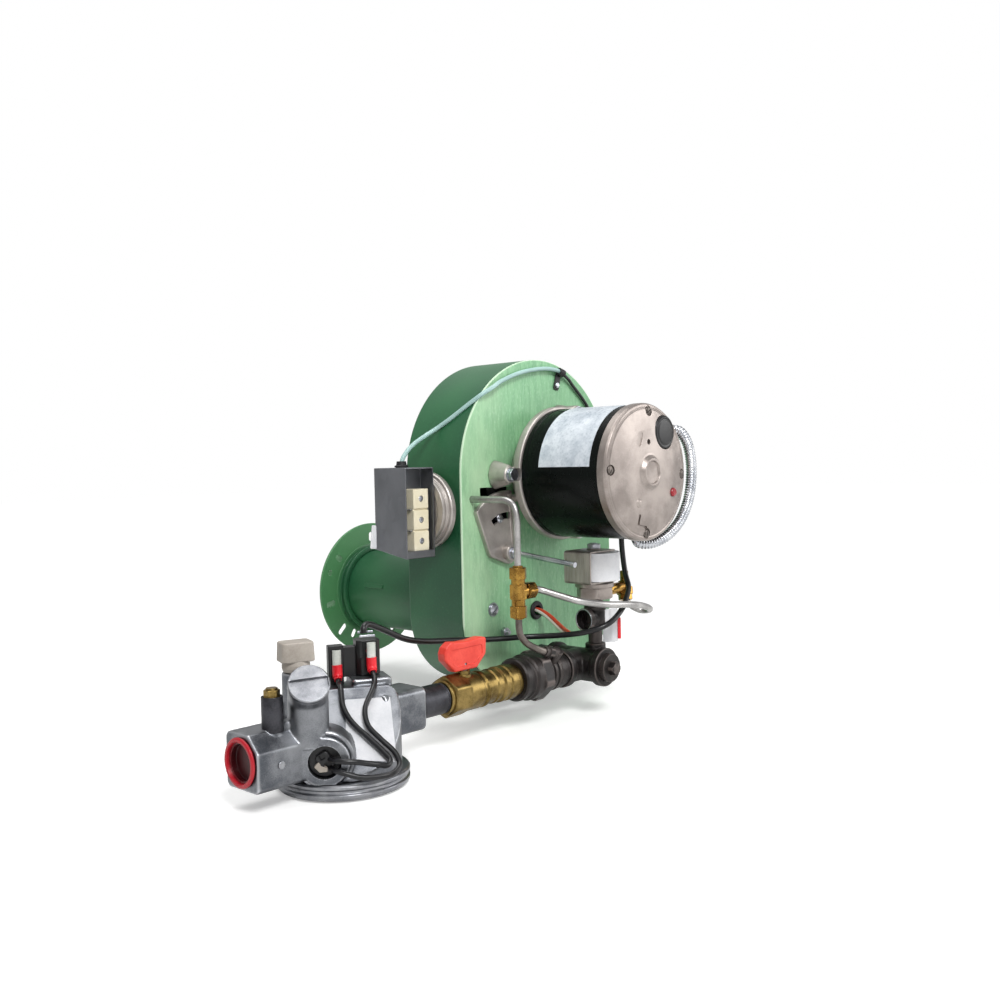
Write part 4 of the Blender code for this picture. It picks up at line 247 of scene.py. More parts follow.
def soft_lamp(name, place, aim, size, power):
    """A square lamp that faces a point."""
    data = bpy.data.lights.new(name, "AREA")
    data.shape, data.size, data.energy = "SQUARE", size, power
    lamp = bpy.data.objects.new(name, data)
    bpy.context.scene.collection.objects.link(lamp)
    back = np.subtract(place, aim)
    back = back / np.linalg.norm(back)
    side = np.cross((0, 0, 1), back)
    side = side / np.linalg.norm(side)
    lamp.matrix_world = Matrix([(*row, spot) for row,
                                spot in zip(np.stack([side, np.cross(back, side), back], 1), place)] + [(0,
                                                                                                         0,
                                                                                                         0,
                                                                                                         1)])
    return lamp


soft_lamp("key_lamp", (-0.90, -1.95, 1.75), (-0.05, -0.3, 0.05), 0.8, 50)
soft_lamp("side_lamp", (1.5, -1.7, 0.7), (0, -0.3, 0.05), 1.0, 14)
soft_lamp("top_lamp", (-0.1, 0.1, 2.0), (-0.05, -0.2, 0.05), 1.2, 22)
bpy.context.scene.view_settings.view_transform = "Standard"
print("floor at", round(floor_z, 4))

# %% [markdown]
# ## Shapes as arrays
# Nearly everything on a burner is turned, extruded or bent from tube. Each of those is a grid of
# points with a short formula, so a shape here is an array of points and a list of face arrays, and
# numpy works out the whole grid at once. A shape turns into a mesh only at the end, where its seam
# and poles are welded and its faces are pointed outward.

# %% Grids, turned shapes and prisms
UP = np.eye(3)
FRONT = np.array([(1, 0, 0), (0, 0, -1), (0, 1, 0)])
BACK = np.array([(1, 0, 0), (0, 0, 1), (0, -1, 0)])
LEFT = np.array([(0, 0, -1), (0, 1, 0), (1, 0, 0)])
RIGHT = np.array([(0, 0, 1), (0, 1, 0), (-1, 0, 0)])


def unit(vector):
    vector = np.asarray(vector, float)
    return vector / np.linalg.norm(vector)


def aim(direction):
    """The turn that sends Z along a direction and keeps X level."""
    direction = unit(direction)
    across = np.cross((0, 0, 1), direction)
    across = unit(across) if np.linalg.norm(across) > 1e-6 else np.array([1.0, 0, 0])
    return np.stack([across, np.cross(direction, across), direction], 1)


def spin(degrees):
    """The turn about Z by an angle."""
    turn = math.radians(degrees)
    return np.array([(math.cos(turn), -math.sin(turn), 0), (math.sin(turn), math.cos(turn), 0), (0, 0, 1)])


def facing(turn, rise):
    """The direction that is turned from the front toward +X and raised, in degrees."""
    turn, rise = math.radians(turn), math.radians(rise)
    return np.array([math.sin(turn) * math.cos(rise), -math.cos(turn) * math.cos(rise), math.sin(rise)])


def put(shape, place=(0, 0, 0), turn=UP):
    """A shape turned, then moved."""
    points, faces = shape
    return points @ np.asarray(turn, float).T + np.asarray(place, float), faces


def together(*shapes):
    """Several shapes as one, with their faces' numbers shifted."""
    starts = np.cumsum([0] + [len(points) for points, _ in shapes])
    return (np.vstack([points for points, _ in shapes]),
            [face + start for (_, faces), start in zip(shapes, starts) for face in faces])


def grid_faces(rows, columns, wrap_rows=False, wrap_columns=True):
    """Face (i, j) joins points (i, j), (i, j + 1), (i + 1, j + 1) and (i + 1, j); a wrapped side joins
    its last line to its first."""
    index = np.arange(rows * columns).reshape(rows, columns)
    if wrap_rows:
        index = np.vstack([index, index[:1]])
    if wrap_columns:
        index = np.hstack([index, index[:, :1]])
    return np.stack([index[:-1, :-1], index[:-1, 1:], index[1:, 1:], index[1:, :-1]], -1).reshape(-1, 4)


def rounded(points, radius, steps=4, closed=False):
    """Round a line's corners: corner P gives way to the arc about P + bisector * radius / sin(half the
    corner's angle), which touches both of its sides. radius is one number, or one for each point."""
    points = np.asarray(points, float)
    radius = np.broadcast_to(radius, len(points)).astype(float)
    before, after = np.roll(points, 1, 0) - points, np.roll(points, -1, 0) - points
    lengths = np.linalg.norm(before, axis=1), np.linalg.norm(after, axis=1)
    before, after = before / lengths[0][:, None], after / lengths[1][:, None]
    half = np.arccos((before * after).sum(1).clip(-1, 1)) / 2
    half = half.clip(1e-4, np.pi / 2 - 1e-4)
    reach = np.minimum(radius / np.tan(half), 0.48 * np.minimum(*lengths))
    true = reach * np.tan(half)
    bisector = before + after
    bisector = bisector / np.linalg.norm(bisector, axis=1)[:, None].clip(1e-9)
    centre = points + bisector * (true / np.sin(half))[:, None]
    start, end = points + before * reach[:, None] - centre, points + after * reach[:, None] - centre
    sweep = (np.pi - 2 * half)[:, None]
    share = np.linspace(0, 1, steps + 1)[None]
    arcs = centre[:, None] + ((np.sin((1 - share) * sweep) / np.sin(sweep))[..., None] * start[:, None]
                              + (np.sin(share * sweep) / np.sin(sweep))[..., None] * end[:, None])
    if not closed:
        arcs[0], arcs[-1] = points[0], points[-1]
    line = arcs.reshape(-1, points.shape[1])
    apart = np.linalg.norm(np.diff(line, axis=0, prepend=line[-1:] + 1), axis=1) > 1e-7
    return line[apart]


def arc(centre_x, centre_y, radius, start, end, steps):
    """Points of an arc from start to end, in degrees."""
    turn = np.radians(np.linspace(start, end, steps + 1))
    return np.stack([centre_x + radius * np.cos(turn), centre_y + radius * np.sin(turn)], 1)


def turned(profile, sides=96, ring=False):
    """Point (i, j) is (r_i cos t_j, r_i sin t_j, h_i): a profile of radius and height, turned once about
    Z. Unless it is a ring, flat faces close it at both ends."""
    profile = np.asarray(profile, float)
    if not ring:
        ends = profile[[0, -1]] * (0, 1)
        profile = np.vstack([ends[:1], profile, ends[1:]])
    turn = np.arange(sides) / sides * math.tau
    radius, height = profile[:, :1], profile[:, 1:]
    points = np.stack([radius * np.cos(turn), radius * np.sin(turn), np.repeat(height, sides, 1)], -1)
    return points.reshape(-1, 3), [grid_faces(len(profile), sides, ring)]


def drum(radius, low, high, edge=0.0005, sides=96):
    """A round solid from low to high with rounded edges."""
    line = rounded([(0, low), (radius, low), (radius, high), (0, high)], (0, edge, edge, 0))
    return turned(line, sides)


def pipe(bore, radius, low, high, edge=0.0004, sides=96):
    """A round wall from low to high with rounded edges."""
    line = rounded([(bore, low), (radius, low), (radius, high), (bore, high)], edge, 3, True)
    return turned(line, sides, True)


def inward(outline, distance):
    """Each corner of a closed outline moves in along its mitre, (n1 + n2) / (1 + n1 . n2)."""
    ahead_of, behind = np.roll(outline, -1, 0) - outline, outline - np.roll(outline, 1, 0)
    first = np.stack([-behind[:, 1], behind[:, 0]], 1) / np.linalg.norm(behind, axis=1)[:, None]
    second = np.stack([-ahead_of[:, 1], ahead_of[:, 0]], 1) / np.linalg.norm(ahead_of, axis=1)[:, None]
    return outline + distance * (first + second) / (1 + (first * second).sum(1))[:, None]


def prism(outline, low, high, edge=0.0006, top_edge=None, steps=3):
    """Rings of one outline. At angle a from 0 to 90 degrees a ring lies edge (1 - sin a) inside it, and
    edge (1 - cos a) above the low face; the high face ends the same way."""
    outline = np.asarray(outline, float)
    outline = outline[np.linalg.norm(outline - np.roll(outline, 1, 0), axis=1) > 1e-7]
    following = np.roll(outline, -1, 0)
    if (outline[:, 0] * following[:, 1] - outline[:, 1] * following[:, 0]).sum() < 0:
        outline = outline[::-1]
    angle = np.linspace(0, np.pi / 2, steps + 1)
    top_edge = edge if top_edge is None else top_edge
    inset = np.concatenate([edge * (1 - np.sin(angle)), (top_edge * (1 - np.sin(angle)))[::-1]])
    height = np.concatenate([low + edge * (1 - np.cos(angle)),
                             (high - top_edge * (1 - np.cos(angle)))[::-1]])
    rings = [np.column_stack([inward(outline, step), np.full(len(outline), z)]) for step,
             z in zip(inset, height)]
    count = len(outline)
    caps = [np.arange(count)[None, ::-1], np.arange(count)[None] + (len(rings) - 1) * count]
    return np.vstack(rings), [grid_faces(len(rings), count)] + caps


def rectangle(width, height, corner, steps=6):
    """Outline of a rectangle with round corners, about its centre."""
    across, up = width / 2 - corner, height / 2 - corner
    return np.vstack([arc(across, up, corner, 0, 90, steps), arc(-across, up, corner, 90, 180, steps),
                      arc(-across, -up, corner, 180, 270, steps),
                      arc(across, -up, corner, 270, 360, steps)])


def brick(width, depth, low, high, edge=0.0006, corner=None):
    """A box about the Z axis with rounded edges."""
    return prism(rectangle(width, depth, corner or edge * 1.25, 4), low, high, edge)


def nut(flats, sides, low, high, chamfer=0.06, soft=0.0004):
    """Radius at angle t and height h is the smallest of three: the flat's flats / 2 / cos(angle to its
    middle), the slightly blunted corner, and a cone that opens from each end."""
    turn = np.arange(sides * 12) / (sides * 12) * math.tau
    flat = flats / 2 / np.cos((turn + math.pi / sides) % (math.tau / sides) - math.pi / sides)
    flat = np.minimum(flat, flat.max() - soft)
    rise = (flat.max() - flats / 2 * (1 - chamfer)) * 0.6
    height = np.concatenate([low + rise * np.linspace(0, 1, 7), high - rise * np.linspace(1, 0, 7)])
    cone = flats / 2 * (1 - chamfer) + np.minimum(height - low, high - height) / 0.6
    radius = np.minimum(flat[None], cone[:, None])
    radius = np.vstack([radius[:1] * 0, radius, radius[:1] * 0])
    height = np.concatenate([[low], height, [high]])[:, None] * np.ones_like(radius)
    points = np.stack([radius * np.cos(turn), radius * np.sin(turn), height], -1)
    return points.reshape(-1, 3), [grid_faces(len(radius), len(turn))]


def threaded(radius, low, high, pitch=0.0018, depth=0.0009, sides=72):
    """Radius at angle t and height h is R - depth * |saw(h / pitch - t / turn)|: a pipe thread, which
    fades out at both ends."""
    rows = max(8, int((high - low) / pitch * 6))
    height = np.linspace(low, high, rows)[:, None]
    turn = (np.arange(sides) / sides * math.tau)[None]
    wave = np.abs(((height / pitch - turn / math.tau) % 1) * 2 - 1)
    fade = np.minimum(1, np.minimum(height - low, high - height) / pitch)
    reach = radius - depth * wave * fade
    reach = np.vstack([reach[:1] * 0, reach, reach[:1] * 0])
    height = np.concatenate([[[low]], height, [[high]]]) * np.ones_like(reach)
    points = np.stack([reach * np.cos(turn), reach * np.sin(turn), height], -1)
    return points.reshape(-1, 3), [grid_faces(len(reach), sides)]


def part_turn(section, start, end, steps=48):
    """A closed section of (radius, height) turned from one angle to another, with its ends closed."""
    section = np.asarray(section, float)
    turn = np.radians(np.linspace(start, end, steps + 1))[:, None]
    points = np.stack([section[:, 0] * np.cos(turn), section[:, 0] * np.sin(turn),
                       section[:, 1] * np.ones_like(turn)], -1)
    count = len(section)
    caps = [np.arange(count)[None, ::-1], np.arange(count)[None] + steps * count]
    return points.reshape(-1, 3), [grid_faces(steps + 1, count)] + caps


print("a turned disc of 96 sides has", len(drum(0.01, 0, 0.002)[0]), "points")

# %% [markdown]
# ## Cords and tubes
# A cord is a circle carried along a smooth curve. The curve runs through a list of route points, on
# or close to those of the CAD's cords. The circle's frame travels without twisting, so a corrugated
# or twisted cord stays even, and the radius may change on the way, which gives boots, ferrules and
# ridges.

# %% Swept tubes
def route(points, spacing):
    """Catmull-Rom curve: between points b and c with neighbours a and d, the place at share t is half of
    2b + (c - a) t + (2a - 5b + 4c - d) t^2 + (3b - a - 3c + d) t^3. It is then walked in even steps."""
    points = np.asarray(points, float)
    ends = 2 * points[0] - points[1], 2 * points[-1] - points[-2]
    padded = np.vstack([ends[:1], points, ends[1:]])
    a, b, c, d = (padded[start:start + len(points) - 1][:, None] for start in range(4))
    t = (np.arange(32) / 32)[None, :, None]
    fine = 0.5 * (2 * b + (c - a) * t + (2 * a - 5 * b + 4 * c - d) * t ** 2 + (3 * b - a - 3 * c + d)
                  * t ** 3)
    fine = np.vstack([fine.reshape(-1, 3), points[-1:]])
    walked = np.concatenate([[0], np.linalg.norm(np.diff(fine, axis=0), axis=1).cumsum()])
    even = np.linspace(0, walked[-1], max(3, round(walked[-1] / spacing) + 1))
    return np.stack([np.interp(even, walked, fine[:, axis]) for axis in range(3)], 1), even


def travelling_frame(path):
    """At each step the side is the last one, less its part along the new direction."""
    forward = np.gradient(path, axis=0)
    forward = forward / np.linalg.norm(forward, axis=1)[:, None]
    side = np.zeros_like(path)
    last = np.eye(3)[np.abs(forward[0]).argmin()]
    for step, direction in enumerate(forward):
        last = unit(last - direction * (last @ direction))
        side[step] = last
    return side, np.cross(forward, side)


def swept(path, radius, sides=20, flat=1.0):
    """Point (i, j) is p_i + r_i (cos t_j side_i + flat sin t_j up_i), with a blunt cap at both ends."""
    side, up = travelling_frame(path)
    radius = np.broadcast_to(radius, len(path)).astype(float)
    path = np.vstack([path[:1], path[:1], path, path[-1:], path[-1:]])
    side, up = (np.vstack([line[:1], line[:1], line, line[-1:], line[-1:]]) for line in (side, up))
    radius = np.concatenate([[0, radius[0] * 0.8], radius, [radius[-1] * 0.8, 0]])
    turn = np.arange(sides) / sides * math.tau
    ring = np.cos(turn)[None, :, None] * side[:, None] + flat * np.sin(turn)[None, :, None] * up[:, None]
    points = path[:, None] + radius[:, None, None] * ring
    return points.reshape(-1, 3), [grid_faces(len(path), sides)]


def bar(start, end, radius, edge=0.0004, sides=48):
    """A round bar between two points."""
    start, end = np.asarray(start, float), np.asarray(end, float)
    return put(drum(radius, 0, np.linalg.norm(end - start), edge, sides), start, aim(end - start))


def strand(path, walked, offset, first, lay=0.0):
    """A path beside another: offset away, at an angle that turns once for each lay walked."""
    side, up = travelling_frame(path)
    turn = math.radians(first) + (walked / lay * math.tau if lay else walked * 0)
    return path + offset * (np.cos(turn)[:, None] * side + np.sin(turn)[:, None] * up)


# %% [markdown]
# ## From arrays to pieces
# A mesh is welded and its normals are recalculated, cuts are made with exact Booleans, and a Weighted
# Normal modifier keeps flat faces flat beside their rounded edges. Castings need soft inner fillets,
# which rounding each shape can't give, so their overlapping shapes are melted together by a voxel
# remesh and smoothed, and machined faces are cut afterwards.

# %% Pieces
def mesh_of(name, shape, weld=2e-6):
    points, faces = shape
    mesh = bpy.data.meshes.new(name)
    mesh.from_pydata(points.tolist(), [], [face for group in faces for face in group.tolist()])
    work = bmesh.new()
    work.from_mesh(mesh)
    bmesh.ops.remove_doubles(work, verts=work.verts, dist=weld)
    bmesh.ops.recalc_face_normals(work, faces=work.faces)
    work.to_mesh(mesh)
    work.free()
    made = bpy.data.objects.new(name, mesh)
    bpy.context.scene.collection.objects.link(made)
    return made


def applied(made):
    """The same object with its modifiers' result as its mesh."""
    bpy.context.view_layer.update()
    result = bpy.data.meshes.new_from_object(made.evaluated_get(bpy.context.evaluated_depsgraph_get()))
    made.modifiers.clear()
    old, made.data = made.data, result
    bpy.data.meshes.remove(old)
    return made


def boolean(made, operation, *shapes):
    """Cut from, or add to, an object each of the shapes given, one after another."""
    for shape in shapes:
        tool = mesh_of("tool", shape)
        step = made.modifiers.new(operation, "BOOLEAN")
        step.operation, step.solver, step.object = operation, "EXACT", tool
        applied(made)
        mesh = tool.data
        bpy.data.objects.remove(tool)
        bpy.data.meshes.remove(mesh)
    return made


def cut(made, *shapes):
    return boolean(made, "DIFFERENCE", *shapes)


def fuse(made, *shapes):
    return boolean(made, "UNION", *shapes)


def bevelled(made, width, segments=2, angle=40):
    step = made.modifiers.new("edges", "BEVEL")
    step.width, step.segments, step.limit_method = width, segments, "ANGLE"
    step.angle_limit = math.radians(angle)
    return applied(made)


def melted(name, voxel, passes, *shapes):
    """A casting: overlapping shapes joined into one skin with soft inner corners."""
    made = mesh_of(name, together(*shapes))
    melt = made.modifiers.new("melt", "REMESH")
    melt.mode, melt.voxel_size = "VOXEL", voxel
    soften = made.modifiers.new("soften", "SMOOTH")
    soften.factor, soften.iterations = 0.5, passes
    return applied(made)


def shape_of(made):
    """An object's mesh as a shape, and the object gone."""
    mesh = made.data
    points = np.zeros(len(mesh.vertices) * 3)
    mesh.vertices.foreach_get("co", points)
    faces = [np.array([list(face.vertices)]) for face in mesh.polygons]
    bpy.data.objects.remove(made)
    bpy.data.meshes.remove(mesh)
    return points.reshape(-1, 3), faces


def show(made, finish, body="burner", stands_for=(), sharp=38, weigh=True):
    if not isinstance(made, bpy.types.Object):
        made = mesh_of(*made)
    made.data.materials.clear()
    made.data.materials.append(finish.material)
    made.data.shade_smooth()
    made.data.set_sharp_from_angle(angle=math.radians(sharp))
    if weigh:
        even = made.modifiers.new("flat_faces_stay_flat", "WEIGHTED_NORMAL")
        even.keep_sharp = True
    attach(made, body)
    if stands_for:
        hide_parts(*([stands_for] if isinstance(stands_for, str) else stands_for))
    print(f"{made.name}: {len(made.data.polygons)} faces")
    return made


# %% [markdown]
# ## Painted green sheet
# The blower housing is pressed steel with an air-dried green enamel. Paint isn't one flat green: it
# drifts a little in depth, and its gloss breaks up in fine orange peel over slight waves in the
# sheet. Painted light makes the flange lighter, and a painted shadow of the housing darkens the tube
# toward the wrapper. The front plate is far paler, with a hammered, streaky coat that runs up and
# down; its right side carries painted shade, its left side patches of painted light, and a painted
# highlight runs along its edge.

# %% Paints
MOTOR_Z = 0.134
paint = green_enamel = Finish("green_enamel", {"Specular IOR Level": 0.42})
drift, grain = paint.noise(7, 2), paint.noise(420, 4, 0.6)
tone = paint.mix(hue(24, 74, 48), hue(48, 106, 66), paint.span(drift, 0.30, 0.72))
tone = paint.mix(tone, hue(78, 138, 96), paint.span(grain, 0.5, 0.9) * 0.30)
back = paint.axis("Y")
# painted light: the flange's face and the tube behind it are painted a lighter green
tone = paint.mix(tone, hue(92, 150, 98), paint.span(back, -0.0045, -0.0031) * 0.6)
# painted shadow: the tube is painted near-black toward the wrapper, where the housing and switch box shade
# it
corner = paint.span(back, -0.10, -0.186) * paint.span(back, -0.1945, -0.1925)
tone = paint.mix(tone, hue(10, 34, 20), corner * 0.8)
waves = paint.bump(paint.noise(16, 1), 0.35, 0.0012)
peel = paint.bump(paint.noise(900, 2), 0.05, 0.0004, waves)
paint.wear({"Base Color": tone, "Roughness": 0.30 + grain * 0.16, "Normal": peel})

paint = pale_hammer = Finish("pale_hammer", {"Specular IOR Level": 0.5})
streak = paint.noise(240, 4, 0.62, (1.0, 1.0, 0.16), 0.6)
patch, fine = paint.noise(11, 3, 0.55, (1, 1, 0.6)), paint.noise(700, 3, 0.6, (1, 1, 0.35))
tone = paint.mix(hue(112, 166, 122), hue(138, 190, 144), paint.span(streak, 0.28, 0.74))
tone = paint.mix(tone, hue(104, 160, 112), paint.span(patch, 0.44, 0.70) * 0.55)
tone = paint.mix(tone, hue(184, 216, 186), paint.span(fine, 0.50, 0.80) * 0.5)
across = paint.axis("X")
# painted shade: the plate's right side is painted darker
tone = paint.mix(tone, hue(96, 150, 104), paint.span(across, 0.03, 0.10) * 0.7)
# painted light: the plate's left side is painted lighter in patches
tone = paint.mix(tone, hue(196, 220, 184), paint.span(across, -0.02, -0.10) * paint.span(patch, 0.30,
                                                                                         0.62) * 0.55)
# painted highlight: a pale line is painted along the plate's arched and straight edges
arch = paint.axis("Z") - MOTOR_Z
arch = arch.math("MAXIMUM", arch, 0.0)
from_axis = arch.math("SQRT", across * across + arch * arch, 0.0)
tone = paint.mix(tone, hue(204, 228, 200), paint.span(from_axis, 0.1132, 0.1139) * 0.8)
hammer = paint.bump(streak, 0.12, 0.0005, paint.bump(paint.noise(18, 1), 0.25, 0.001))
paint.wear({"Base Color": tone, "Roughness": 0.36 + fine * 0.22, "Normal": hammer})

paint = black_enamel = Finish("black_enamel", {"Specular IOR Level": 0.10, "Coat Weight": 0.03,
                                               "Coat Roughness": 0.12})
ripple = paint.bump(paint.noise(30, 1), 0.25, 0.0008, paint.bump(paint.noise(700, 2), 0.05, 0.0003))
paint.wear({"Base Color": paint.mix(hue(2, 4, 4), hue(7, 13, 10), paint.noise(40, 3)),
            "Roughness": 0.20 + paint.noise(200, 3) * 0.12, "Normal": ripple})
print("paints ready")

# %% [markdown]
# ## Bare metals
# The bells, the shutter and the gas valve are aluminium castings with a fine sandy grain. The gas
# fittings are malleable iron, oiled and nearly black. On the gas valve and on the iron, edges are
# painted lighter, as wear and as a painted highlight, and hollows are painted darker as painted
# shade; Pointiness finds both on a dense mesh. Brass, zinc, steel and soft aluminium tube differ in
# colour, in how evenly they shine, and in how patchy they are.

# %% Metals
def metal(name, light, dark, rough, spread, grain=900, depth=0.08, patches=40, edges=None, metallic=1.0,
          stretch=(1, 1, 1)):
    """A metal that drifts between two tones in patches, with a fine grain in its shine."""
    made = Finish(name, {"Metallic": metallic})
    patch, fine = made.noise(patches, 4, 0.6, stretch), made.noise(grain, 3, 0.6, stretch)
    tone = made.mix(dark, light, made.span(patch * 0.75 + fine * 0.25, 0.34, 0.66))
    if edges:
        corner = made.node("ShaderNodeNewGeometry", output="Pointiness")
        # painted highlight, with some wear: the edges are painted lighter
        tone = made.mix(tone, edges, made.span(corner, 0.505, 0.56) * 0.7)
        # painted shade: the hollows are painted darker
        tone = made.mix(tone, tuple(0.35 * part for part in dark), made.span(corner, 0.485, 0.44) * 0.6)
    normal = made.bump(fine, depth, 0.0004)
    return made.wear({"Base Color": tone, "Roughness": rough + spread * (patch + fine - 1.0),
                      "Normal": normal})


satin_cast = metal("satin_cast_aluminium", hue(192, 186, 181), hue(158, 152, 147), 0.46, 0.12, 1600, 0.10,
                   26, None, 0.75)
die_cast = metal("die_cast_aluminium", hue(142, 144, 148), hue(84, 87, 93), 0.38, 0.24, 1100, 0.18, 34,
                 hue(214, 216, 220))
bright_cap = metal("turned_aluminium", hue(164, 165, 169), hue(124, 126, 131), 0.32, 0.16, 1500, 0.06, 60)
brown_cast = metal("brown_grey_cast", hue(176, 166, 160), hue(138, 129, 124), 0.40, 0.16, 1500, 0.10, 30,
                   None, 0.8)
dull_tube = metal("dull_tube", hue(132, 124, 118), hue(94, 88, 84), 0.44, 0.18, 600, 0.08, 40)
black_iron = metal("oiled_black_iron", hue(44, 39, 38), hue(18, 16, 16), 0.42, 0.30, 520, 0.45, 60,
                   hue(112, 102, 98), 0.45)
pipe_iron = metal("dark_steel_pipe", hue(72, 72, 77), hue(42, 42, 46), 0.42, 0.22, 700, 0.20, 45, None,
                  0.75)
brass = metal("dull_brass", hue(150, 128, 78), hue(86, 70, 36), 0.34, 0.24, 800, 0.12, 70)
bright_brass = metal("bright_brass", hue(186, 146, 72), hue(126, 92, 42), 0.28, 0.20, 900, 0.08, 80)
zinc = metal("zinc_plate", hue(196, 198, 204), hue(150, 153, 162), 0.32, 0.18, 900, 0.06, 50)
steel = metal("plain_steel", hue(176, 174, 172), hue(122, 120, 120), 0.36, 0.20, 900, 0.08, 50)
soft_tube = metal("soft_aluminium_tube", hue(196, 194, 192), hue(152, 149, 148), 0.38, 0.18, 600, 0.08, 30)
coil_steel = metal("dull_grey_steel", hue(184, 176, 170), hue(140, 132, 127), 0.46, 0.20, 700, 0.08, 90,
                   None, 0.75, (1, 1, 0.12))
conduit_steel = metal("corrugated_steel", hue(214, 216, 220), hue(160, 163, 170), 0.26, 0.16, 900, 0.05, 60)

paint = galvanised = Finish("galvanised_sheet", {"Metallic": 0.85})
spangle = paint.cells(150, (1, 1, 0.7))
value = paint.node("ShaderNodeSeparateColor", inputs={"Color": spangle}, output="Red")
cloud = paint.noise(14, 3, 0.5)
tone = paint.mix(hue(90, 92, 96), hue(124, 126, 130), paint.span(value * 0.06 + cloud * 0.94, 0.30, 0.70))
paint.wear({"Base Color": tone, "Roughness": 0.36 + value * 0.03 + cloud * 0.06})
print("metals ready")

# %% [markdown]
# ## Plastics, rubber and labels
# Moulded plastic has a faint grain and a soft even shine, vinyl is a little waxier, and rubber eats
# light. The labels of the real burner are left blank: each is a plain pale film, slightly uneven.

# %% Plastics
def plastic(name, light, dark, rough=0.42, grain=900, depth=0.06, patches=30):
    made = Finish(name, {"Specular IOR Level": 0.45})
    patch, fine = made.noise(patches, 3, 0.6), made.noise(grain, 3, 0.6)
    return made.wear({"Base Color": made.mix(dark, light, made.span(patch * 0.7 + fine * 0.3, 0.3, 0.7)),
                      "Roughness": rough + (fine - 0.5) * 0.25, "Normal": made.bump(fine, depth, 0.0003)})


black_rubber = plastic("black_rubber", hue(22, 22, 24), hue(10, 10, 12), 0.55)
black_plastic = plastic("black_plastic", hue(18, 18, 20), hue(8, 8, 9), 0.38)
black_sheath = plastic("black_sheath", hue(22, 22, 25), hue(9, 9, 11), 0.34)
cap_red = plastic("cap_red", hue(178, 24, 40), hue(130, 8, 20), 0.34)
# painted shade, with some dirt: the transit cap's dish is painted dark toward its floor
dish_shade_depth = cap_red.axis("X")
cap_red.wear({"Base Color": cap_red.mix(hue(168, 18, 34), hue(58, 5, 10),
                                        cap_red.span(dish_shade_depth, -0.3962, -0.3935))})
button_red = plastic("button_red", hue(160, 40, 48), hue(120, 20, 28), 0.36)
handle_red = plastic("handle_red", hue(226, 76, 60), hue(206, 50, 38), 0.40, 500, 0.10, 60)
boot_red = plastic("boot_red", hue(236, 40, 52), hue(206, 20, 34), 0.36)
wire_red = plastic("wire_red", hue(224, 84, 56), hue(196, 60, 38), 0.38)
wire_green = plastic("wire_green", hue(40, 120, 70), hue(24, 90, 50), 0.38)
wire_white = plastic("wire_white", hue(224, 222, 212), hue(196, 192, 180), 0.40)
cream = plastic("cream_plastic", hue(236, 229, 206), hue(218, 209, 180), 0.46)
beige = plastic("beige_plastic", hue(172, 164, 155), hue(146, 138, 128), 0.50, 700, 0.12, 50)
sleeve = plastic("clear_grey_sleeve", hue(206, 208, 202), hue(172, 176, 168), 0.30)
white_film = plastic("white_film", hue(232, 232, 234), hue(216, 217, 221), 0.46, 500, 0.03, 60)
matte_film = plastic("matte_film", hue(206, 206, 209), hue(184, 186, 190), 0.50, 500, 0.03, 60)
silver_film = plastic("silver_film", hue(212, 218, 224), hue(164, 174, 184), 0.30, 400, 0.03, 70)

paint = cable_sheath = Finish("signal_cable_sheath", {"Specular IOR Level": 0.5})
# the cable is coloured near-black past the clip
past_clip = paint.span(paint.axis("X"), 0.0290, 0.0294)
tone = paint.mix(hue(134, 168, 164), hue(176, 206, 202), paint.noise(60, 3))
paint.wear({"Base Color": paint.mix(tone, hue(16, 20, 20), past_clip),
            "Roughness": 0.36 + paint.noise(300, 3) * 0.16})
print("plastics ready")

# %% [markdown]
# ## Blower housing
# The housing is a wrapper with an arched top, straight sides and a rounded bottom, drawn with its rear
# wall in one, and a thicker front plate that carries everything else. One outline serves both. The
# rear edge has the larger radius of a pressed corner, and the plate keeps a crisp edge with a painted
# highlight along it.

# %% Wrapper and front plate
GAP, SHEET, PLATE = 0.0003, 0.0016, 0.0024
HALF_WIDTH, CORNER = 0.1144, 0.0765
HOUSING_REAR, HOUSING_FRONT = 0.1931, 0.2697
TUBE = 0.0448


def housing_outline(inset=0.0):
    """A half circle above, a quarter circle at each lower corner, and straight lines between."""
    half, corner, centre = HALF_WIDTH - inset, CORNER - inset, HALF_WIDTH - CORNER
    return np.vstack([arc(0, MOTOR_Z, half, 0, 180, 96), arc(-centre, 0, corner, 180, 270, 32),
                      arc(centre, 0, corner, 270, 360, 32)])


plate_rear = HOUSING_FRONT - PLATE
depth = plate_rear - GAP - HOUSING_REAR
wrapper = mesh_of("wrapper", put(prism(housing_outline(), 0, depth, 0.0026, 0.0004), (0, -HOUSING_REAR, 0),
                                 FRONT))
cut(wrapper, put(prism(housing_outline(SHEET), SHEET, depth + 0.01, 0.0012, 0), (0, -HOUSING_REAR, 0),
                 FRONT))
cut(wrapper, put(drum(TUBE + GAP, -0.01, 0.01, 0), (0, -HOUSING_REAR, 0), FRONT))
show(wrapper, green_enamel, stands_for="housing_shell")


def polar(centre, radius, degrees):
    """The place at a radius and an angle from a centre."""
    turn = math.radians(degrees)
    return centre[0] + radius * math.cos(turn), centre[1] + radius * math.sin(turn)


def ahead_at(shape, x, z, y=0):
    """A shape turned to the front, with its foot at a place (x, z) of the plate."""
    return put(shape, (x, y, z), FRONT)


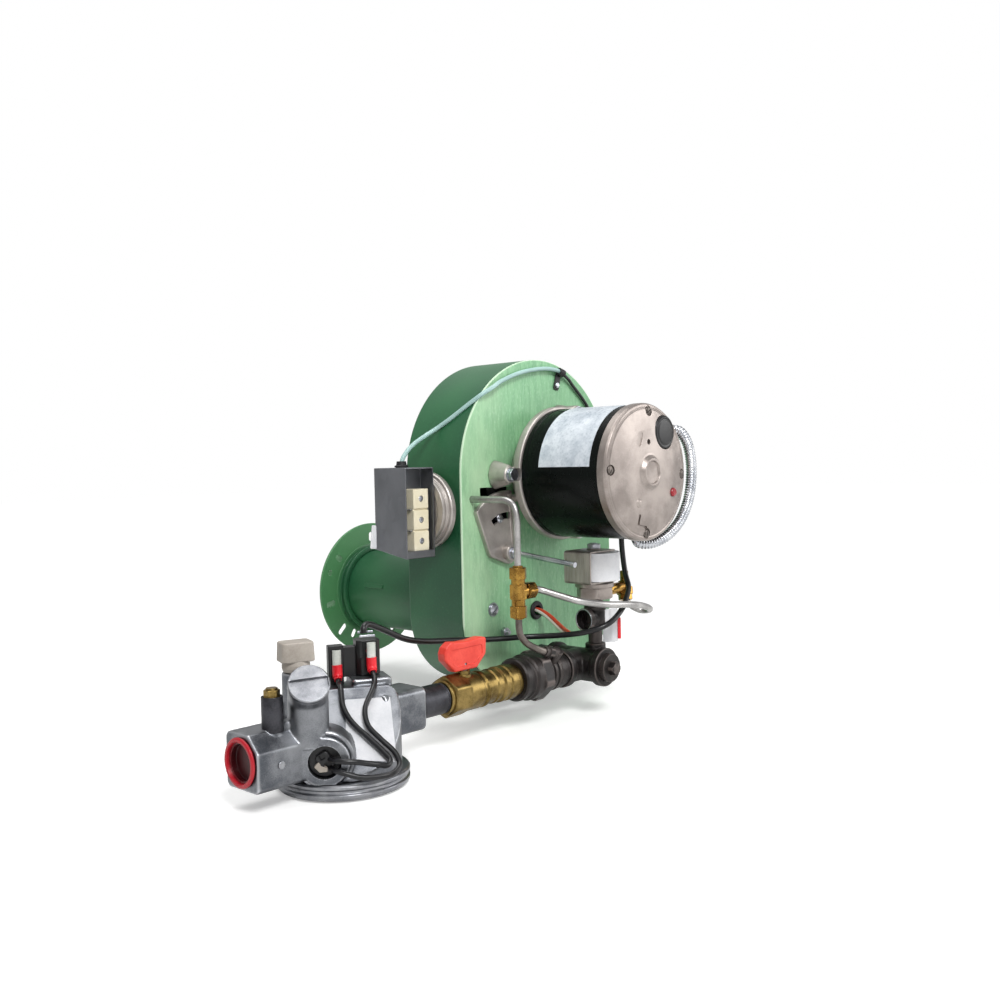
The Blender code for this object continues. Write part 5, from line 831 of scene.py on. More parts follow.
PIVOT = (-0.0545, 0.0575)
LOCK = polar(PIVOT, 0.036, 109)
LUG_TURNS = (180, 300, 60)
LUGS = [polar((0, MOTOR_Z), 0.070, angle) for angle in LUG_TURNS]
plate = mesh_of("front_panel", put(prism(housing_outline(), 0, PLATE, 0.0007), (0, -plate_rear, 0), FRONT))
holes = [(0.036, 0, MOTOR_Z), (0.0137, -0.0045, -0.054), (0.0027, *PIVOT), (0.0035, -0.100, 0.1115),
         (0.0079, -0.0109, -0.0045), (0.0024, *LOCK)] + [(0.0031, *lug) for lug in LUGS]
cut(plate, *[ahead_at(drum(radius, -0.01, 0.01, 0, 48), x, z, -plate_rear) for radius, x, z in holes],
    ahead_at(brick(0.040, 0.038, -0.01, 0.01, 0, 0.0008), -0.069, 0.103, -plate_rear))
show(plate, pale_hammer, stands_for="front_plate")

# %% [markdown]
# ## Air tube and mounting flange
# The air tube is rolled from sheet, with a pressed rib on its side. The flange is a thick disc whose
# slots point at the centre, so that it fits many bolt circles, and its collar grips the tube with a
# rolled bead.

# %% Tube and flange
tube_line = rounded([(TUBE - SHEET, -0.036), (TUBE, -0.036), (TUBE, 0.1971), (TUBE - SHEET, 0.1971)],
                    0.0006, 3, True)
tube = mesh_of("rolled_air_tube", put(turned(tube_line, 128, True), turn=FRONT))
rib_place = np.array([-0.0441, -0.0575, 0.0095])
rib = put(brick(0.0052, 0.032, -0.002, 0.0009, 0.0008, 0.0024), rib_place,
          aim((-0.0441, 0, 0.0095)) @ spin(90))
fuse(tube, rib)
show(tube, green_enamel, stands_for="air_tube")

disc = mesh_of("slotted_flange", put(prism(arc(0, 0, 0.0763, 0, 360, 160)[:-1], 0, 0.0032, 0.0008),
                                     turn=FRONT))
collar_line = rounded([(TUBE + GAP, 0.0004), (0.0530, 0.0004), (0.0530, 0.0036), (0.0486, 0.0042),
                       (0.0486, 0.0095), (0.0508, 0.0105), (0.0508, 0.0125), (0.0486, 0.0135),
                       (TUBE + GAP, 0.0135)], 0.0008, 4, True)
fuse(disc, put(turned(collar_line, 128, True), turn=FRONT))
slots = []
for angle, inner, outer in ((90, 0.0555, 0.0655), (142, 0.0580, 0.0670), (160, 0.0640, 0.0690),
                            (192, 0.0585, 0.0700), (224, 0.0570, 0.0710), (240, 0.0545, 0.0640)):
    for side in (angle, 180 - angle)[:1 if angle == 90 else 2]:
        outline = rectangle(outer - inner + 0.0010, 0.0068, 0.0030, 8) + ((inner + outer) / 2, 0)
        slots.append(put(put(prism(outline, -0.01, 0.01, 0), turn=spin(side)), turn=FRONT))
cut(disc, put(drum(TUBE + GAP, -0.01, 0.02, 0, 128), turn=FRONT), *slots)
show(disc, green_enamel, stands_for="mounting_flange")

# %% [markdown]
# ## Air shutter
# The shutter is a small cast leaf that swings over the inlet and is locked by a screw in a curved
# slot. It is a fan-shaped outline with a blunt lower corner, a raised rim around a pocket, and a hub
# for the rod. The rim is relieved at the slot's end, so that it clears the screw's head. The rod is
# plain drawn steel.

# %% Shutter, rod and lock screw
FACE = HOUSING_FRONT + GAP


def leaf_outline(inset=0.0):
    """The leaf's far arc, then its blunt lower corner, then its round tip about the pivot."""
    lean = math.degrees(inset / 0.0612)
    return np.vstack([arc(0, 0, 0.0612 - inset, 85 + lean, 137 - lean, 12),
                      arc(-0.0215, 0.0030, 0.0065 - inset, 203, 250, 3),
                      arc(0, 0, 0.011 - inset, 262, 348, 6)])


HINGE = (*PIVOT, -FACE)
leaf_shape = prism(rounded(leaf_outline(), 0.0022, 5, True), 0, 0.005, 0.0003, 0.0013, 4)
leaf = mesh_of("cast_shutter", ahead_at(leaf_shape, *HINGE))
cut(leaf, ahead_at(prism(rounded(leaf_outline(0.0034), 0.0020, 5, True), 0.0028, 0.012, 0.0008, 0), *HINGE))
fuse(leaf, ahead_at(drum(0.0082, 0.0006, 0.0095, 0.0012, 48), *HINGE))
slot = np.vstack([arc(0, 0, 0.0398, 84, 125, 24), arc(0, 0, 0.0332, 125, 84, 24)])
far_seat = (PIVOT[0] + 0.0361 * math.cos(math.radians(89)), -FACE, PIVOT[1] + 0.0361)
cut(leaf, ahead_at(prism(rounded(slot, 0.0024, 5, True), -0.01, 0.02, 0), *HINGE),
    ahead_at(drum(0.0027, -0.01, 0.02, 0, 32), *HINGE),
    put(drum(0.0049, 0.0028, 0.012, 0, 40), far_seat, FRONT))
bevelled(leaf, 0.00035, 2, 50)
show(leaf, satin_cast, "shutter", "air_shutter")

rod_line = ((-0.006, 0), (0, 0), (0.014, 0), (0.04325, 0.00312), (0.0865, 0.0078))
rod_path = route([(PIVOT[0], -FACE - out, PIVOT[1] - drop) for out, drop in rod_line], 0.0015)[0]
show(("drawn_rod", swept(rod_path, 0.0025, 32)), zinc, "shutter", "shutter_rod")
rod_nut = together(nut(0.0092, 6, 0.0096, 0.0132, 0.05, 0.0003), drum(0.0058, 0.0093, 0.0099, 0.0002, 40))
show(("rod_nut", put(rod_nut, (PIVOT[0], -FACE, PIVOT[1]), FRONT @ spin(12))), zinc, "shutter")


def slotted_head(radius, height, width, depth, sides=48):
    """A pan-head screw: a domed disc with one slot across it."""
    line = rounded([(0, 0), (radius, 0), (radius, height * 0.62), (radius * 0.55, height * 0.95),
                    (0, height)], (0, 0.0001, height * 0.3, height * 0.5, 0))
    made = mesh_of("head", turned(line, sides))
    cut(made, brick(radius * 2.4, width, height - depth, height * 2, 0, width * 0.1))
    return shape_of(made)


lock_head = slotted_head(0.0042, 0.0026, 0.0009, 0.0011)
show(("lock_screw", together(ahead_at(lock_head, *LOCK, -FACE - 0.0029),
                             ahead_at(drum(0.0021, -0.004, 0.0028, 0.0002, 32), *LOCK, -FACE))), zinc)

# %% [markdown]
# ## Motor
# A fan-cooled motor hangs on the plate by three lugs. Its shell is a rolled drum in gloss black, the
# front bell is a cast disc with a machined rim, a low dome and a boss over the bearing, and screws sit
# in counterbored seats round it. A black plug closes the wiring hole, and the red button resets the
# overload. The film on the shell is blank.

# %% Shell, front bell and their small pieces
AXIS = (0, 0, MOTOR_Z)
SHELL_REAR, SHELL_FRONT, MOTOR_R = 0.3004, 0.3905, 0.0635
shell_line = rounded([(MOTOR_R - 0.002, SHELL_REAR), (MOTOR_R, SHELL_REAR), (MOTOR_R, SHELL_REAR + 0.0050),
                      (MOTOR_R - 0.0004, SHELL_REAR + 0.0056), (MOTOR_R - 0.0004, SHELL_FRONT - 0.0036),
                      (MOTOR_R, SHELL_FRONT - 0.0030), (MOTOR_R, SHELL_FRONT),
                      (MOTOR_R - 0.002, SHELL_FRONT)], 0.0005, 3, True)
show(("rolled_shell", put(turned(shell_line, 160, True), AXIS, FRONT)), black_enamel,
     stands_for="motor_shell")
film = np.array([(MOTOR_R - 0.0003, 0.3215), (MOTOR_R + 0.0001, 0.3215), (MOTOR_R + 0.0001, 0.3815),
                 (MOTOR_R - 0.0003, 0.3815)])
show(("shell_film", put(part_turn(film, 96, 174, 64), AXIS, FRONT)), silver_film)

RIM_REAR = SHELL_FRONT + GAP
RIM = RIM_REAR + 0.0100
bell_line = rounded([(0, RIM_REAR - 0.0048), (0.0612, RIM_REAR - 0.0048), (0.0612, RIM_REAR),
                     (0.0645, RIM_REAR), (0.0645, RIM - 0.0028), (0.0632, RIM - 0.0006), (0.0610, RIM),
                     (0.0600, RIM - 0.0004), (0.0585, RIM + 0.0004), (0.0405, RIM + 0.0026),
                     (0.0180, RIM + 0.0038), (0.0160, RIM + 0.0042), (0.0142, RIM + 0.0060),
                     (0.0128, RIM + 0.0074), (0.0108, RIM + 0.0074), (0.0100, RIM + 0.0056),
                     (0, RIM + 0.0052)], (0, 0.0003, 0.0003, 0.0004, 0.0010, 0.0012, 0.0006, 0.0006, 0.0015,
                                          0.02, 0.0008, 0.0010, 0.001, 0.0008, 0.0006, 0.0006, 0), 5)
bell = mesh_of("front_end_bell", put(turned(bell_line, 160), AXIS, FRONT))
SEATS = [polar((0, MOTOR_Z), 0.0572, angle) for angle in (-3, 87, 177, 267)]
PLUG, RESET = (0.0262, MOTOR_Z + 0.0372), (0.0385, MOTOR_Z - 0.0200)
OUTSIDE = RIM + 0.02
hook = rounded([(-0.0080, 0.0110), (-0.0080, -0.0015), (0.0075, -0.0015), (0.0075, 0.0015),
                (-0.0052, 0.0015), (-0.0052, 0.0110)], 0.0010, 3, True)
cut(bell, *[ahead_at(drum(0.0050, RIM - 0.0012, OUTSIDE, 0, 40), *seat) for seat in SEATS],
    ahead_at(drum(0.0163, RIM - 0.004, OUTSIDE, 0, 64), *PLUG),
    ahead_at(drum(0.0045, RIM - 0.0108, OUTSIDE, 0, 40), *RESET),
    ahead_at(drum(0.0026, RIM - 0.003, OUTSIDE, 0, 32), -0.0014, 0.1621),
    ahead_at(put(prism(hook, RIM - 0.0002, OUTSIDE, 0), turn=spin(-10)), -0.0110, 0.0835),
    ahead_at(put(brick(0.0060, 0.0150, RIM + 0.0026, OUTSIDE, 0, 0.0029), turn=spin(-24)), -0.0150, 0.1650))
drip = rounded([(0.0058, RIM - 0.001), (0.0046, RIM + 0.0030), (0.0022, RIM + 0.0046), (0, RIM + 0.0048)],
               (0, 0.001, 0.001, 0))
fuse(bell, ahead_at(turned(drip, 32), -0.0173, 0.1060))
show(bell, brown_cast, stands_for="motor_front_bell", sharp=32)

end_head = slotted_head(0.0040, 0.0026, 0.0008, 0.0010)
show(("end_bell_screws", together(*[ahead_at(put(end_head, turn=spin(30 * number)), *seat, -RIM + 0.0012)
                                    for number, seat in enumerate(SEATS)])), dull_tube)

plug_line = rounded([(0.0160, RIM - 0.0037), (0.0160, RIM + 0.0018), (0.0140, RIM + 0.0034),
                     (0.0125, RIM + 0.0030), (0.0105, RIM + 0.0036), (0, RIM + 0.0042)],
                    (0, 0.0010, 0.0008, 0.0008, 0.0008, 0))
show(("wiring_hole_plug", ahead_at(turned(plug_line, 96), *PLUG)), black_plastic,
     stands_for="motor_plug")
button_line = rounded([(0.0042, RIM - 0.0085), (0.0042, RIM + 0.0034), (0.0030, RIM + 0.0049),
                       (0, RIM + 0.0045)], (0, 0.0008, 0.0010, 0))
show(("overload_button", ahead_at(turned(button_line, 64), *RESET)), button_red, "reset",
     "reset_button")

# %% [markdown]
# The rear bell is one casting: a ring that carries the shell, a waist that narrows toward the plate,
# and three lugs round it. The lugs run into the ring with soft fillets, so the shapes are melted
# together, and the bolt holes and their flat seats are cut afterwards. Hex bolts hold it.

# %% Rear bell and its bolts
LUG_TOP = FACE + 0.0225
HEAD_SEAT = LUG_TOP + GAP
FOOT_BOSS = (-0.0475, 0.1108)
bell_front = SHELL_REAR - GAP
rear_line = rounded([(0.0068, FACE + 0.007), (0.038, FACE + 0.007), (0.038, FACE), (0.0445, FACE),
                     (0.0560, FACE + 0.0145), (0.0660, bell_front - 0.008), (0.0660, bell_front),
                     (0.0608, bell_front), (0.0608, bell_front + 0.0048), (0.0068, bell_front + 0.0048)],
                    (0.0004, 0.0004, 0.0004, 0.001, 0.004, 0.0014, 0.0012, 0.0003, 0.0003, 0.0004), 5, True)
lug_line = rounded([(0, FACE), (0.0080, FACE), (0.0078, LUG_TOP), (0, LUG_TOP)], (0, 0.0008, 0.0014, 0))
lug_foot = rounded([(0, FACE + 0.0005), (0.0143, FACE + 0.0005), (0.0092, FACE + 0.0205),
                    (0, FACE + 0.0205)], (0, 0.001, 0.002, 0))
rear_bell = melted("rear_end_bell", 0.0009, 4, put(turned(rear_line, 128, True), AXIS, FRONT),
                   *[ahead_at(turned(lug_line, 64), *lug) for lug in LUGS],
                   *[put(turned(lug_foot, 64), (x * 0.985, 0, MOTOR_Z + (z - MOTOR_Z) * 0.985),
                         FRONT @ spin(angle) @ np.diag((0.62, 1, 1))) for (x, z),
                     angle in zip(LUGS, LUG_TURNS)], ahead_at(drum(0.0038, FACE + 0.002, FACE + 0.0120,
                                                                   0.0005, 32), *FOOT_BOSS))
bolt_seat = turned([(0.0031, FACE - 0.01), (0.0031, LUG_TOP), (0.0076, LUG_TOP), (0.0076, FACE + 0.032)],
                   48)
cut(rear_bell, *[ahead_at(bolt_seat, *lug) for lug in LUGS],
    ahead_at(drum(0.0020, FACE + 0.005, FACE + 0.02, 0, 24), *FOOT_BOSS))
show(rear_bell, satin_cast, stands_for="motor_rear_bell", weigh=False, sharp=40)

bolt = together(nut(0.0111, 6, HEAD_SEAT + 0.0010, HEAD_SEAT + 0.0050, 0.04, 0.0003),
                drum(0.0068, HEAD_SEAT - 0.0001, HEAD_SEAT + 0.0010, 0.0003, 48),
                drum(0.0028, 0.2623, HEAD_SEAT + 0.002, 0.0003, 32))
for number, lug in enumerate(LUGS, 1):
    show((f"hex_bolt_{number}", ahead_at(put(bolt, turn=spin(17 * number)), *lug)), zinc,
         stands_for=f"mount_bolt_{number}")

# %% [markdown]
# The motor's wiring runs round its right side in corrugated metal conduit. The ridges are real: the
# radius rises and falls with the distance walked, and a smooth ferrule takes the last stretch at each
# end. Inside the motor and the housing, the turned CAD pieces only show through gaps, so they keep
# their shape and get a proper metal.

# %% Conduit, and the pieces inside
conduit_path, walked = route([(0.0590, -0.3790, 0.1727), (0.0592, -0.3860, 0.1735),
                              (0.0650, -0.3950, 0.1720), (0.0730, -0.3990, 0.1580),
                              (0.0765, -0.4000, 0.1340), (0.0715, -0.4000, 0.1080),
                              (0.0590, -0.3985, 0.0870), (0.0440, -0.3935, 0.0725),
                              (0.0310, -0.3850, 0.0655), (0.0220, -0.3770, 0.0650),
                              (0.0200, -0.3738, 0.0685), (0.0200, -0.3735, 0.0735)], 0.00032)
ridge = 0.0054 - 0.0006 * (0.5 + 0.5 * np.cos(walked / 0.0026 * math.tau))
ferrule = np.minimum(walked, walked[-1] - walked) < 0.0085
show(("corrugated_conduit", swept(conduit_path, np.where(ferrule, 0.0054, ridge), 26)), conduit_steel,
     stands_for="wiring_conduit", sharp=70, weigh=False)


def wears(finish, *names):
    """Carried-over CAD nodes take a finish through their own slots."""
    for name in names:
        nodes[name].data.materials.clear()
        nodes[name].data.materials.append(finish.material)


wears(steel, "motor_rotor", "solenoid_plunger", "pilot_burner", "flame_diffuser")
wears(galvanised, "fan_wheel")
wears(black_iron, "motor_stator", "gas_manifold")
wears(zinc, "valve_ball")
wears(brass, "gas_nozzle")

# %% [markdown]
# ## Air pressure switch
# The switch is a round pan with rolled steps, and a bent sheet box in front of it that is open toward
# the front, where a stack of cream terminal blocks shows. The sheet is galvanised, so the flat zinc
# cells of that coating are in its finish.

# %% Pan, box and terminals
WALL_X = -HALF_WIDTH - GAP
pan_line = rounded([(0, 0), (0.0300, 0), (0.0300, 0.0045), (0.0355, 0.0048), (0.0365, 0.0062),
                    (0.0365, 0.0100), (0.0355, 0.0114), (0.0332, 0.0116), (0.0330, 0.0130),
                    (0.0318, 0.0140), (0.0322, 0.0155), (0.0330, 0.0165), (0.0326, 0.0190),
                    (0.0260, 0.0190), (0.0245, 0.0182), (0, 0.0182)],
                   (0, 0.0004, 0.001, 0.0008, 0.001, 0.001, 0.0008, 0.0006, 0.0008, 0.0006, 0.0006, 0.0008,
                    0.0008, 0.0006, 0.0006, 0), 4)
show(("switch_diaphragm_pan", put(turned(pan_line, 128), (WALL_X, -0.232, 0.102), LEFT)), satin_cast,
     stands_for="switch_pan")

BOX_X = WALL_X - 0.0190 - GAP
MIDDLE_X = BOX_X - 0.0357 / 2
BOX_SHEET = 0.0012
box_outline = np.array([(0.143, -0.210), (0.0668, -0.210), (0.0590, -0.2535), (0.143, -0.2535)])
box = mesh_of("bent_switch_box", put(prism(rounded(box_outline, 0.0009, 3, True), 0, 0.0357, 0.0007),
                                     (BOX_X, 0, 0), LEFT))
cut(box, put(brick(0.0357 - 2 * BOX_SHEET, 0.030, 0.0605 + 0.0055, 0.143 - BOX_SHEET, 0, 0.0005),
             (MIDDLE_X, -0.2535 - 0.0065 + 0.0085, 0)))
cut(box, put(drum(0.0055, -0.02, 0.02, 0, 40), (MIDDLE_X, -0.229, 0.143)))
bevelled(box, 0.0003, 2, 50)
show(box, galvanised, stands_for="switch_box")
ear = put(prism(rectangle(0.0220, 0.0070, 0.0012), -0.0010, 0.0010, 0.0004), (-0.1715, -0.2105, 0.0785),
          BACK @ spin(97))
show(("box_ear", ear), white_film)

STACK_X = MIDDLE_X + 0.0048
BLOCK_FEET = [0.0655 + number * 0.0196 for number in range(3)]
stack = [put(brick(0.0188, 0.0196, foot, foot + 0.0184, 0.0009), (STACK_X, -0.2399, 0))
         for foot in BLOCK_FEET]
core = put(brick(0.0184, 0.0180, 0.0660, 0.1220, 0.0004), (STACK_X, -0.2392, 0))
blocks = mesh_of("terminal_stack", together(*stack))
cut(blocks, *[put(drum(0.0030, 0, 0.02, 0, 32), (STACK_X, -0.2497 + 0.0014, foot + 0.0092), FRONT)
              for foot in BLOCK_FEET])
fuse(blocks, core)
show(blocks, cream, stands_for="switch_terminals")
tabs = [put(brick(0.0230, 0.0060, foot - 0.0011, foot - 0.0003, 0.0002), (STACK_X, -0.2440, 0))
        for foot in BLOCK_FEET[1:]]
screws = [put(put(slotted_head(0.0027, 0.0016, 0.0006, 0.0007, 32), turn=spin(40)),
              (STACK_X, -0.2484, foot + 0.0092), FRONT) for foot in BLOCK_FEET]
show(("terminal_clips", together(*tabs, *screws)), zinc)

# %% [markdown]
# A grey signal cable leaves the box through a black bush, climbs over the housing and runs under a
# clip along the plate's top edge. Past the clip its finish turns near-black, and it ends in a small
# grommet in the plate, behind the motor.

# %% Bush, signal cable and clip
bush_line = rounded([(0.0024, -0.0057), (0.0052, -0.0057), (0.0052, 0.0003), (0.0066, 0.0003),
                     (0.0066, 0.0018), (0.0050, 0.0024), (0.0044, 0.0060), (0.0024, 0.0060)], 0.0003, 3,
                    True)
show(("cable_bush", put(turned(bush_line, 48, True), (MIDDLE_X, -0.229, 0.143))), black_rubber,
     stands_for="switch_bush")
SIGNAL = [(MIDDLE_X, -0.229, 0.1373), (MIDDLE_X + 0.0008, -0.229, 0.149), (-0.1450, -0.2285, 0.1570),
          (-0.1345, -0.2280, 0.1650), (-0.1200, -0.2285, 0.1728), (-0.1085, -0.2330, 0.1800),
          (-0.1025, -0.2450, 0.1885), (-0.0955, -0.2600, 0.2000), (-0.0875, -0.2725, 0.2105),
          (-0.0740, -0.2755, 0.2180), (-0.0590, -0.2740, 0.2250), (-0.0309, -0.2737, 0.2342),
          (-0.0011, -0.2737, 0.2392), (0.0194, -0.2737, 0.2395), (0.0310, -0.2737, 0.2370),
          (0.0435, -0.2733, 0.2305), (0.0530, -0.2726, 0.2232), (0.0700, -0.2722, 0.2095),
          (0.0818, -0.2722, 0.1955), (0.0876, -0.2722, 0.1805), (0.0878, -0.2724, 0.1680),
          (0.0874, -0.2722, 0.1632), (0.0871, -0.2712, 0.1611), (0.0870, -0.2692, 0.1604)]
signal_path = route(SIGNAL, 0.0014)[0]
show(("signal_lead", swept(signal_path, np.where(signal_path[:, 0] > 0.0355, 0.0016, 0.0021), 24)),
     cable_sheath, stands_for="signal_cable", weigh=False)
show(("cable_grommet", put(drum(0.0042, -0.0001, 0.0017, 0.0006, 48), (0.0870, -FACE, 0.1604), FRONT)),
     black_rubber)

slope = math.radians(-16)
along_cable = np.array([math.cos(slope), 0, math.sin(slope)])
below = np.array([math.sin(slope), 0, -math.cos(slope)])
loop_place = np.array([0.0310, -FACE - 0.0039, 0.2370])
tab_turn = np.stack([along_cable, -below, np.array([0, -1.0, 0])], 1)
loop_line = rounded([(0.00255, -0.004), (0.0039, -0.004), (0.0039, 0.004), (0.00255, 0.004)], 0.0005, 3,
                    True)
clip = mesh_of("cable_clip_loop", put(turned(loop_line, 40, True), loop_place, aim(along_cable)))
tab_place = loop_place + below * 0.0105
fuse(clip, put(brick(0.0080, 0.0160, 0, 0.0014, 0.0005, 0.002), (tab_place[0], -FACE, tab_place[2]),
               tab_turn))
show(clip, black_rubber, stands_for="cable_clip", sharp=45)
screw_place = loop_place + below * 0.0135
show(("clip_screw", put(slotted_head(0.0030, 0.0018, 0.0007, 0.0008, 40),
                        (screw_place[0], -FACE - 0.0013, screw_place[2]), FRONT)), zinc)

# %% [markdown]
# ## Gas line
# Tee, plug and union are malleable iron: cast bodies with thickened bands at their mouths, and a union
# nut with six sides and a ringed nose. The tee's two barrels melt into each other, and its mouths are
# cut square.
# Pipe threads show where fittings stop short of each other, as a groove that winds round the pipe.

# %% Tee, plug and manifold nipple
LINE_Y, LINE_Z = -0.320, -0.054
TEE = (-0.0045, LINE_Y, LINE_Z)
REACH, BAND, BODY, PIPE, BORE = 0.0333, 0.01865, 0.0160, 0.01335, 0.0100
SOLENOID = (0.002, -0.335)
barrel = rounded([(0, -REACH), (BAND, -REACH), (BAND, -REACH + 0.0075), (BODY, -REACH + 0.0100),
                  (BODY, REACH - 0.0100), (BAND, REACH - 0.0075), (BAND, REACH), (0, REACH)],
                 (0, 0.0008, 0.0012, 0.0020, 0.0020, 0.0012, 0.0008, 0))
branch = rounded([(0, 0), (BODY, 0), (BODY, REACH - 0.0100), (BAND, REACH - 0.0075), (BAND, REACH),
                  (0, REACH)], (0, 0, 0.0020, 0.0012, 0.0008, 0))
tee = melted("malleable_tee", 0.0007, 5, put(turned(barrel, 96), TEE, FRONT),
             put(turned(branch, 96), TEE, LEFT), put(drum(0.0100, 0, BAND + 0.0030, 0.0010),
                                                     (*SOLENOID, LINE_Z)))
cut(tee, put(drum(PIPE + GAP, REACH - 0.012, REACH + 0.01, 0), TEE, LEFT),
    put(drum(PIPE + GAP, REACH - 0.012, REACH + 0.01, 0), TEE, FRONT),
    put(drum(PIPE + GAP, REACH - 0.012, REACH + 0.01, 0), TEE, BACK),
    put(drum(0.0072, BODY, 0.03, 0, 48), (*SOLENOID, LINE_Z)))
show(tee, black_iron, stands_for="gas_tee", weigh=False, sharp=40)

plug_face = REACH + GAP
plug = together(threaded(PIPE, REACH - 0.011, plug_face + 0.001),
                drum(0.0136, plug_face, plug_face + 0.0060, 0.0008),
                put(nut(0.0110, 4, plug_face + 0.0050, plug_face + 0.0120, 0.02, 0.0010), turn=spin(45)))
show(("square_plug", put(plug, TEE, FRONT)), black_iron, stands_for="tee_plug")
inner = REACH - 0.012 + 0.0005
show(("supply_nipple", put(together(threaded(PIPE, inner, inner + 0.0135),
                                    pipe(BORE, PIPE, inner + 0.012, 0.0703 - 0.0005)), TEE, BACK)),
     pipe_iron, stands_for="manifold_nipple")

# %% [markdown]
# The union joins the ball valve to the tee: a body with a collar, a nut that pulls the two halves
# together, and a tail with a ring where the small pilot feed screws in.

# %% Union
UNION_LEFT, NUT_START, NUT_END = -0.1041, -0.0906, -0.0525
body_line = rounded([(0, UNION_LEFT), (0.0186, UNION_LEFT), (0.0200, UNION_LEFT + 0.0016),
                     (0.0200, UNION_LEFT + 0.0060), (0.0186, UNION_LEFT + 0.0074),
                     (0.0186, UNION_LEFT + 0.0105), (0.0200, UNION_LEFT + 0.0118),
                     (0.0200, UNION_LEFT + 0.0135), (0, UNION_LEFT + 0.0135)],
                    (0, 0.0006, 0.0006, 0.0006, 0.001, 0.001, 0.0006, 0.0004, 0))
line = (0, LINE_Y, LINE_Z)
half = together(turned(body_line, 96), threaded(PIPE, UNION_LEFT - 0.0115, UNION_LEFT + 0.001),
                drum(0.0196, UNION_LEFT + 0.013, -0.0666, 0.0004))
show(("union_half", put(half, line, RIGHT)), black_iron, stands_for="union_body")
nose = rounded([(0, -0.0700), (0.0182, -0.0690), (0.0182, -0.0652), (0.0168, -0.0645), (0.0168, -0.0625),
                (0.0182, -0.0618), (0.0182, -0.0588), (0.0168, -0.0581), (0.0168, -0.0562),
                (0.0182, -0.0555), (0.0182, NUT_END), (0, NUT_END)], (0, 0.0006) + (0.0005,) * 9 + (0,), 3)
barrel_line = rounded([(0, NUT_START), (0.0200, NUT_START), (0.0216, NUT_START + 0.0020), (0.0216, -0.0800),
                       (0, -0.0800)], (0, 0.0010, 0.0010, 0.0004, 0))
union_nut = together(nut(0.0424, 6, -0.0822, -0.0680, 0.03, 0.0007), turned(barrel_line, 96),
                     turned(nose, 96))
show(("union_nut_body", put(union_nut, line, RIGHT @ spin(14))), black_iron,
     stands_for="union_nut")
tee_face = TEE[0] - REACH - GAP
tail_line = rounded([(0, NUT_END - 0.002), (0.0150, NUT_END - 0.002), (0.0150, NUT_END + GAP),
                     (0.0176, NUT_END + 0.0012), (0.0176, tee_face - 0.0060), (0.0166, tee_face - 0.0050),
                     (0.0166, tee_face), (0, tee_face)],
                    (0, 0.0003, 0.0006, 0.0010, 0.0008, 0.0008, 0.0004, 0))
feed = math.radians(40)
feed_direction = np.array([0, -math.sin(feed), math.cos(feed)])
feed_root = np.array([-0.0600, LINE_Y, LINE_Z])
feed_knee, feed_end = feed_root + feed_direction * 0.0265, np.array([-0.0790, -0.3380, -0.0290])
tail = put(together(turned(tail_line, 96), threaded(PIPE, tee_face - 0.001, tee_face + 0.0115)), line,
           RIGHT)
feed_stub = bar(feed_root + feed_direction * 0.0150, feed_knee + feed_direction * 0.0040, 0.0052, 0.0010)
feed_nut = put(nut(0.0104, 6, 0.0085, 0.0150, 0.03, 0.0003), feed_knee, aim(feed_end - feed_knee))
tail = together(tail, feed_stub, bar(feed_knee, feed_end, 0.0046, 0.0006), feed_nut)
show(("union_tailpiece", tail), black_iron, stands_for="union_tail")

# %% [markdown]
# ## Ball valve and handle
# The brass ball valve has a hexagon at its inlet, a turned waist with rings from the lathe, and a neck
# with a packing nut under the handle. The handle is a red wing: a thick moulded plate with rounded
# ends, a narrower foot and a shallow panel on each side.

# %% Ball valve
VALVE_L, VALVE_R = -0.1950, -0.1044
STEM = (-0.1680, LINE_Y, LINE_Z)
valve_line = rounded([(0, VALVE_L), (0.0142, VALVE_L), (0.0152, VALVE_L + 0.0010),
                      (0.0152, VALVE_L + 0.0035), (0, VALVE_L + 0.0035)], (0, 0.0003, 0.0004, 0.0004, 0))
rings = [(0.0162, -0.1725), (0.0162, -0.1560), (0.0150, -0.1545), (0.0150, -0.1520), (0.0163, -0.1505),
         (0.0163, -0.1480), (0.0146, -0.1465), (0.0146, -0.1380), (0.0156, -0.1368), (0.0156, -0.1345),
         (0.0144, -0.1333), (0.0144, -0.1290), (0.0162, -0.1276), (0.0162, -0.1240), (0.0152, -0.1230),
         (0.0152, -0.1200), (0.0162, -0.1190), (0.0162, -0.1110), (0.0152, -0.1095), (0.0152, VALVE_R)]
waist = rounded([(0, -0.1725)] + rings + [(0, VALVE_R)], 0.0005, 3)
neck = together(put(drum(0.0078, 0, 0.0165, 0.0005, 64), STEM),
                put(nut(0.0118, 6, 0.0160, 0.0200, 0.03, 0.0003), STEM))
inlet_hexagon = nut(0.0330, 6, VALVE_L + 0.003, VALVE_L + 0.0235, 0.04, 0.0006)
valve = together(put(turned(valve_line, 96), line, RIGHT), put(inlet_hexagon, line, RIGHT @ spin(30)),
                 put(turned(waist, 96), line, RIGHT), neck)
show(("brass_ball_valve", valve), brass, stands_for="ball_valve_body")

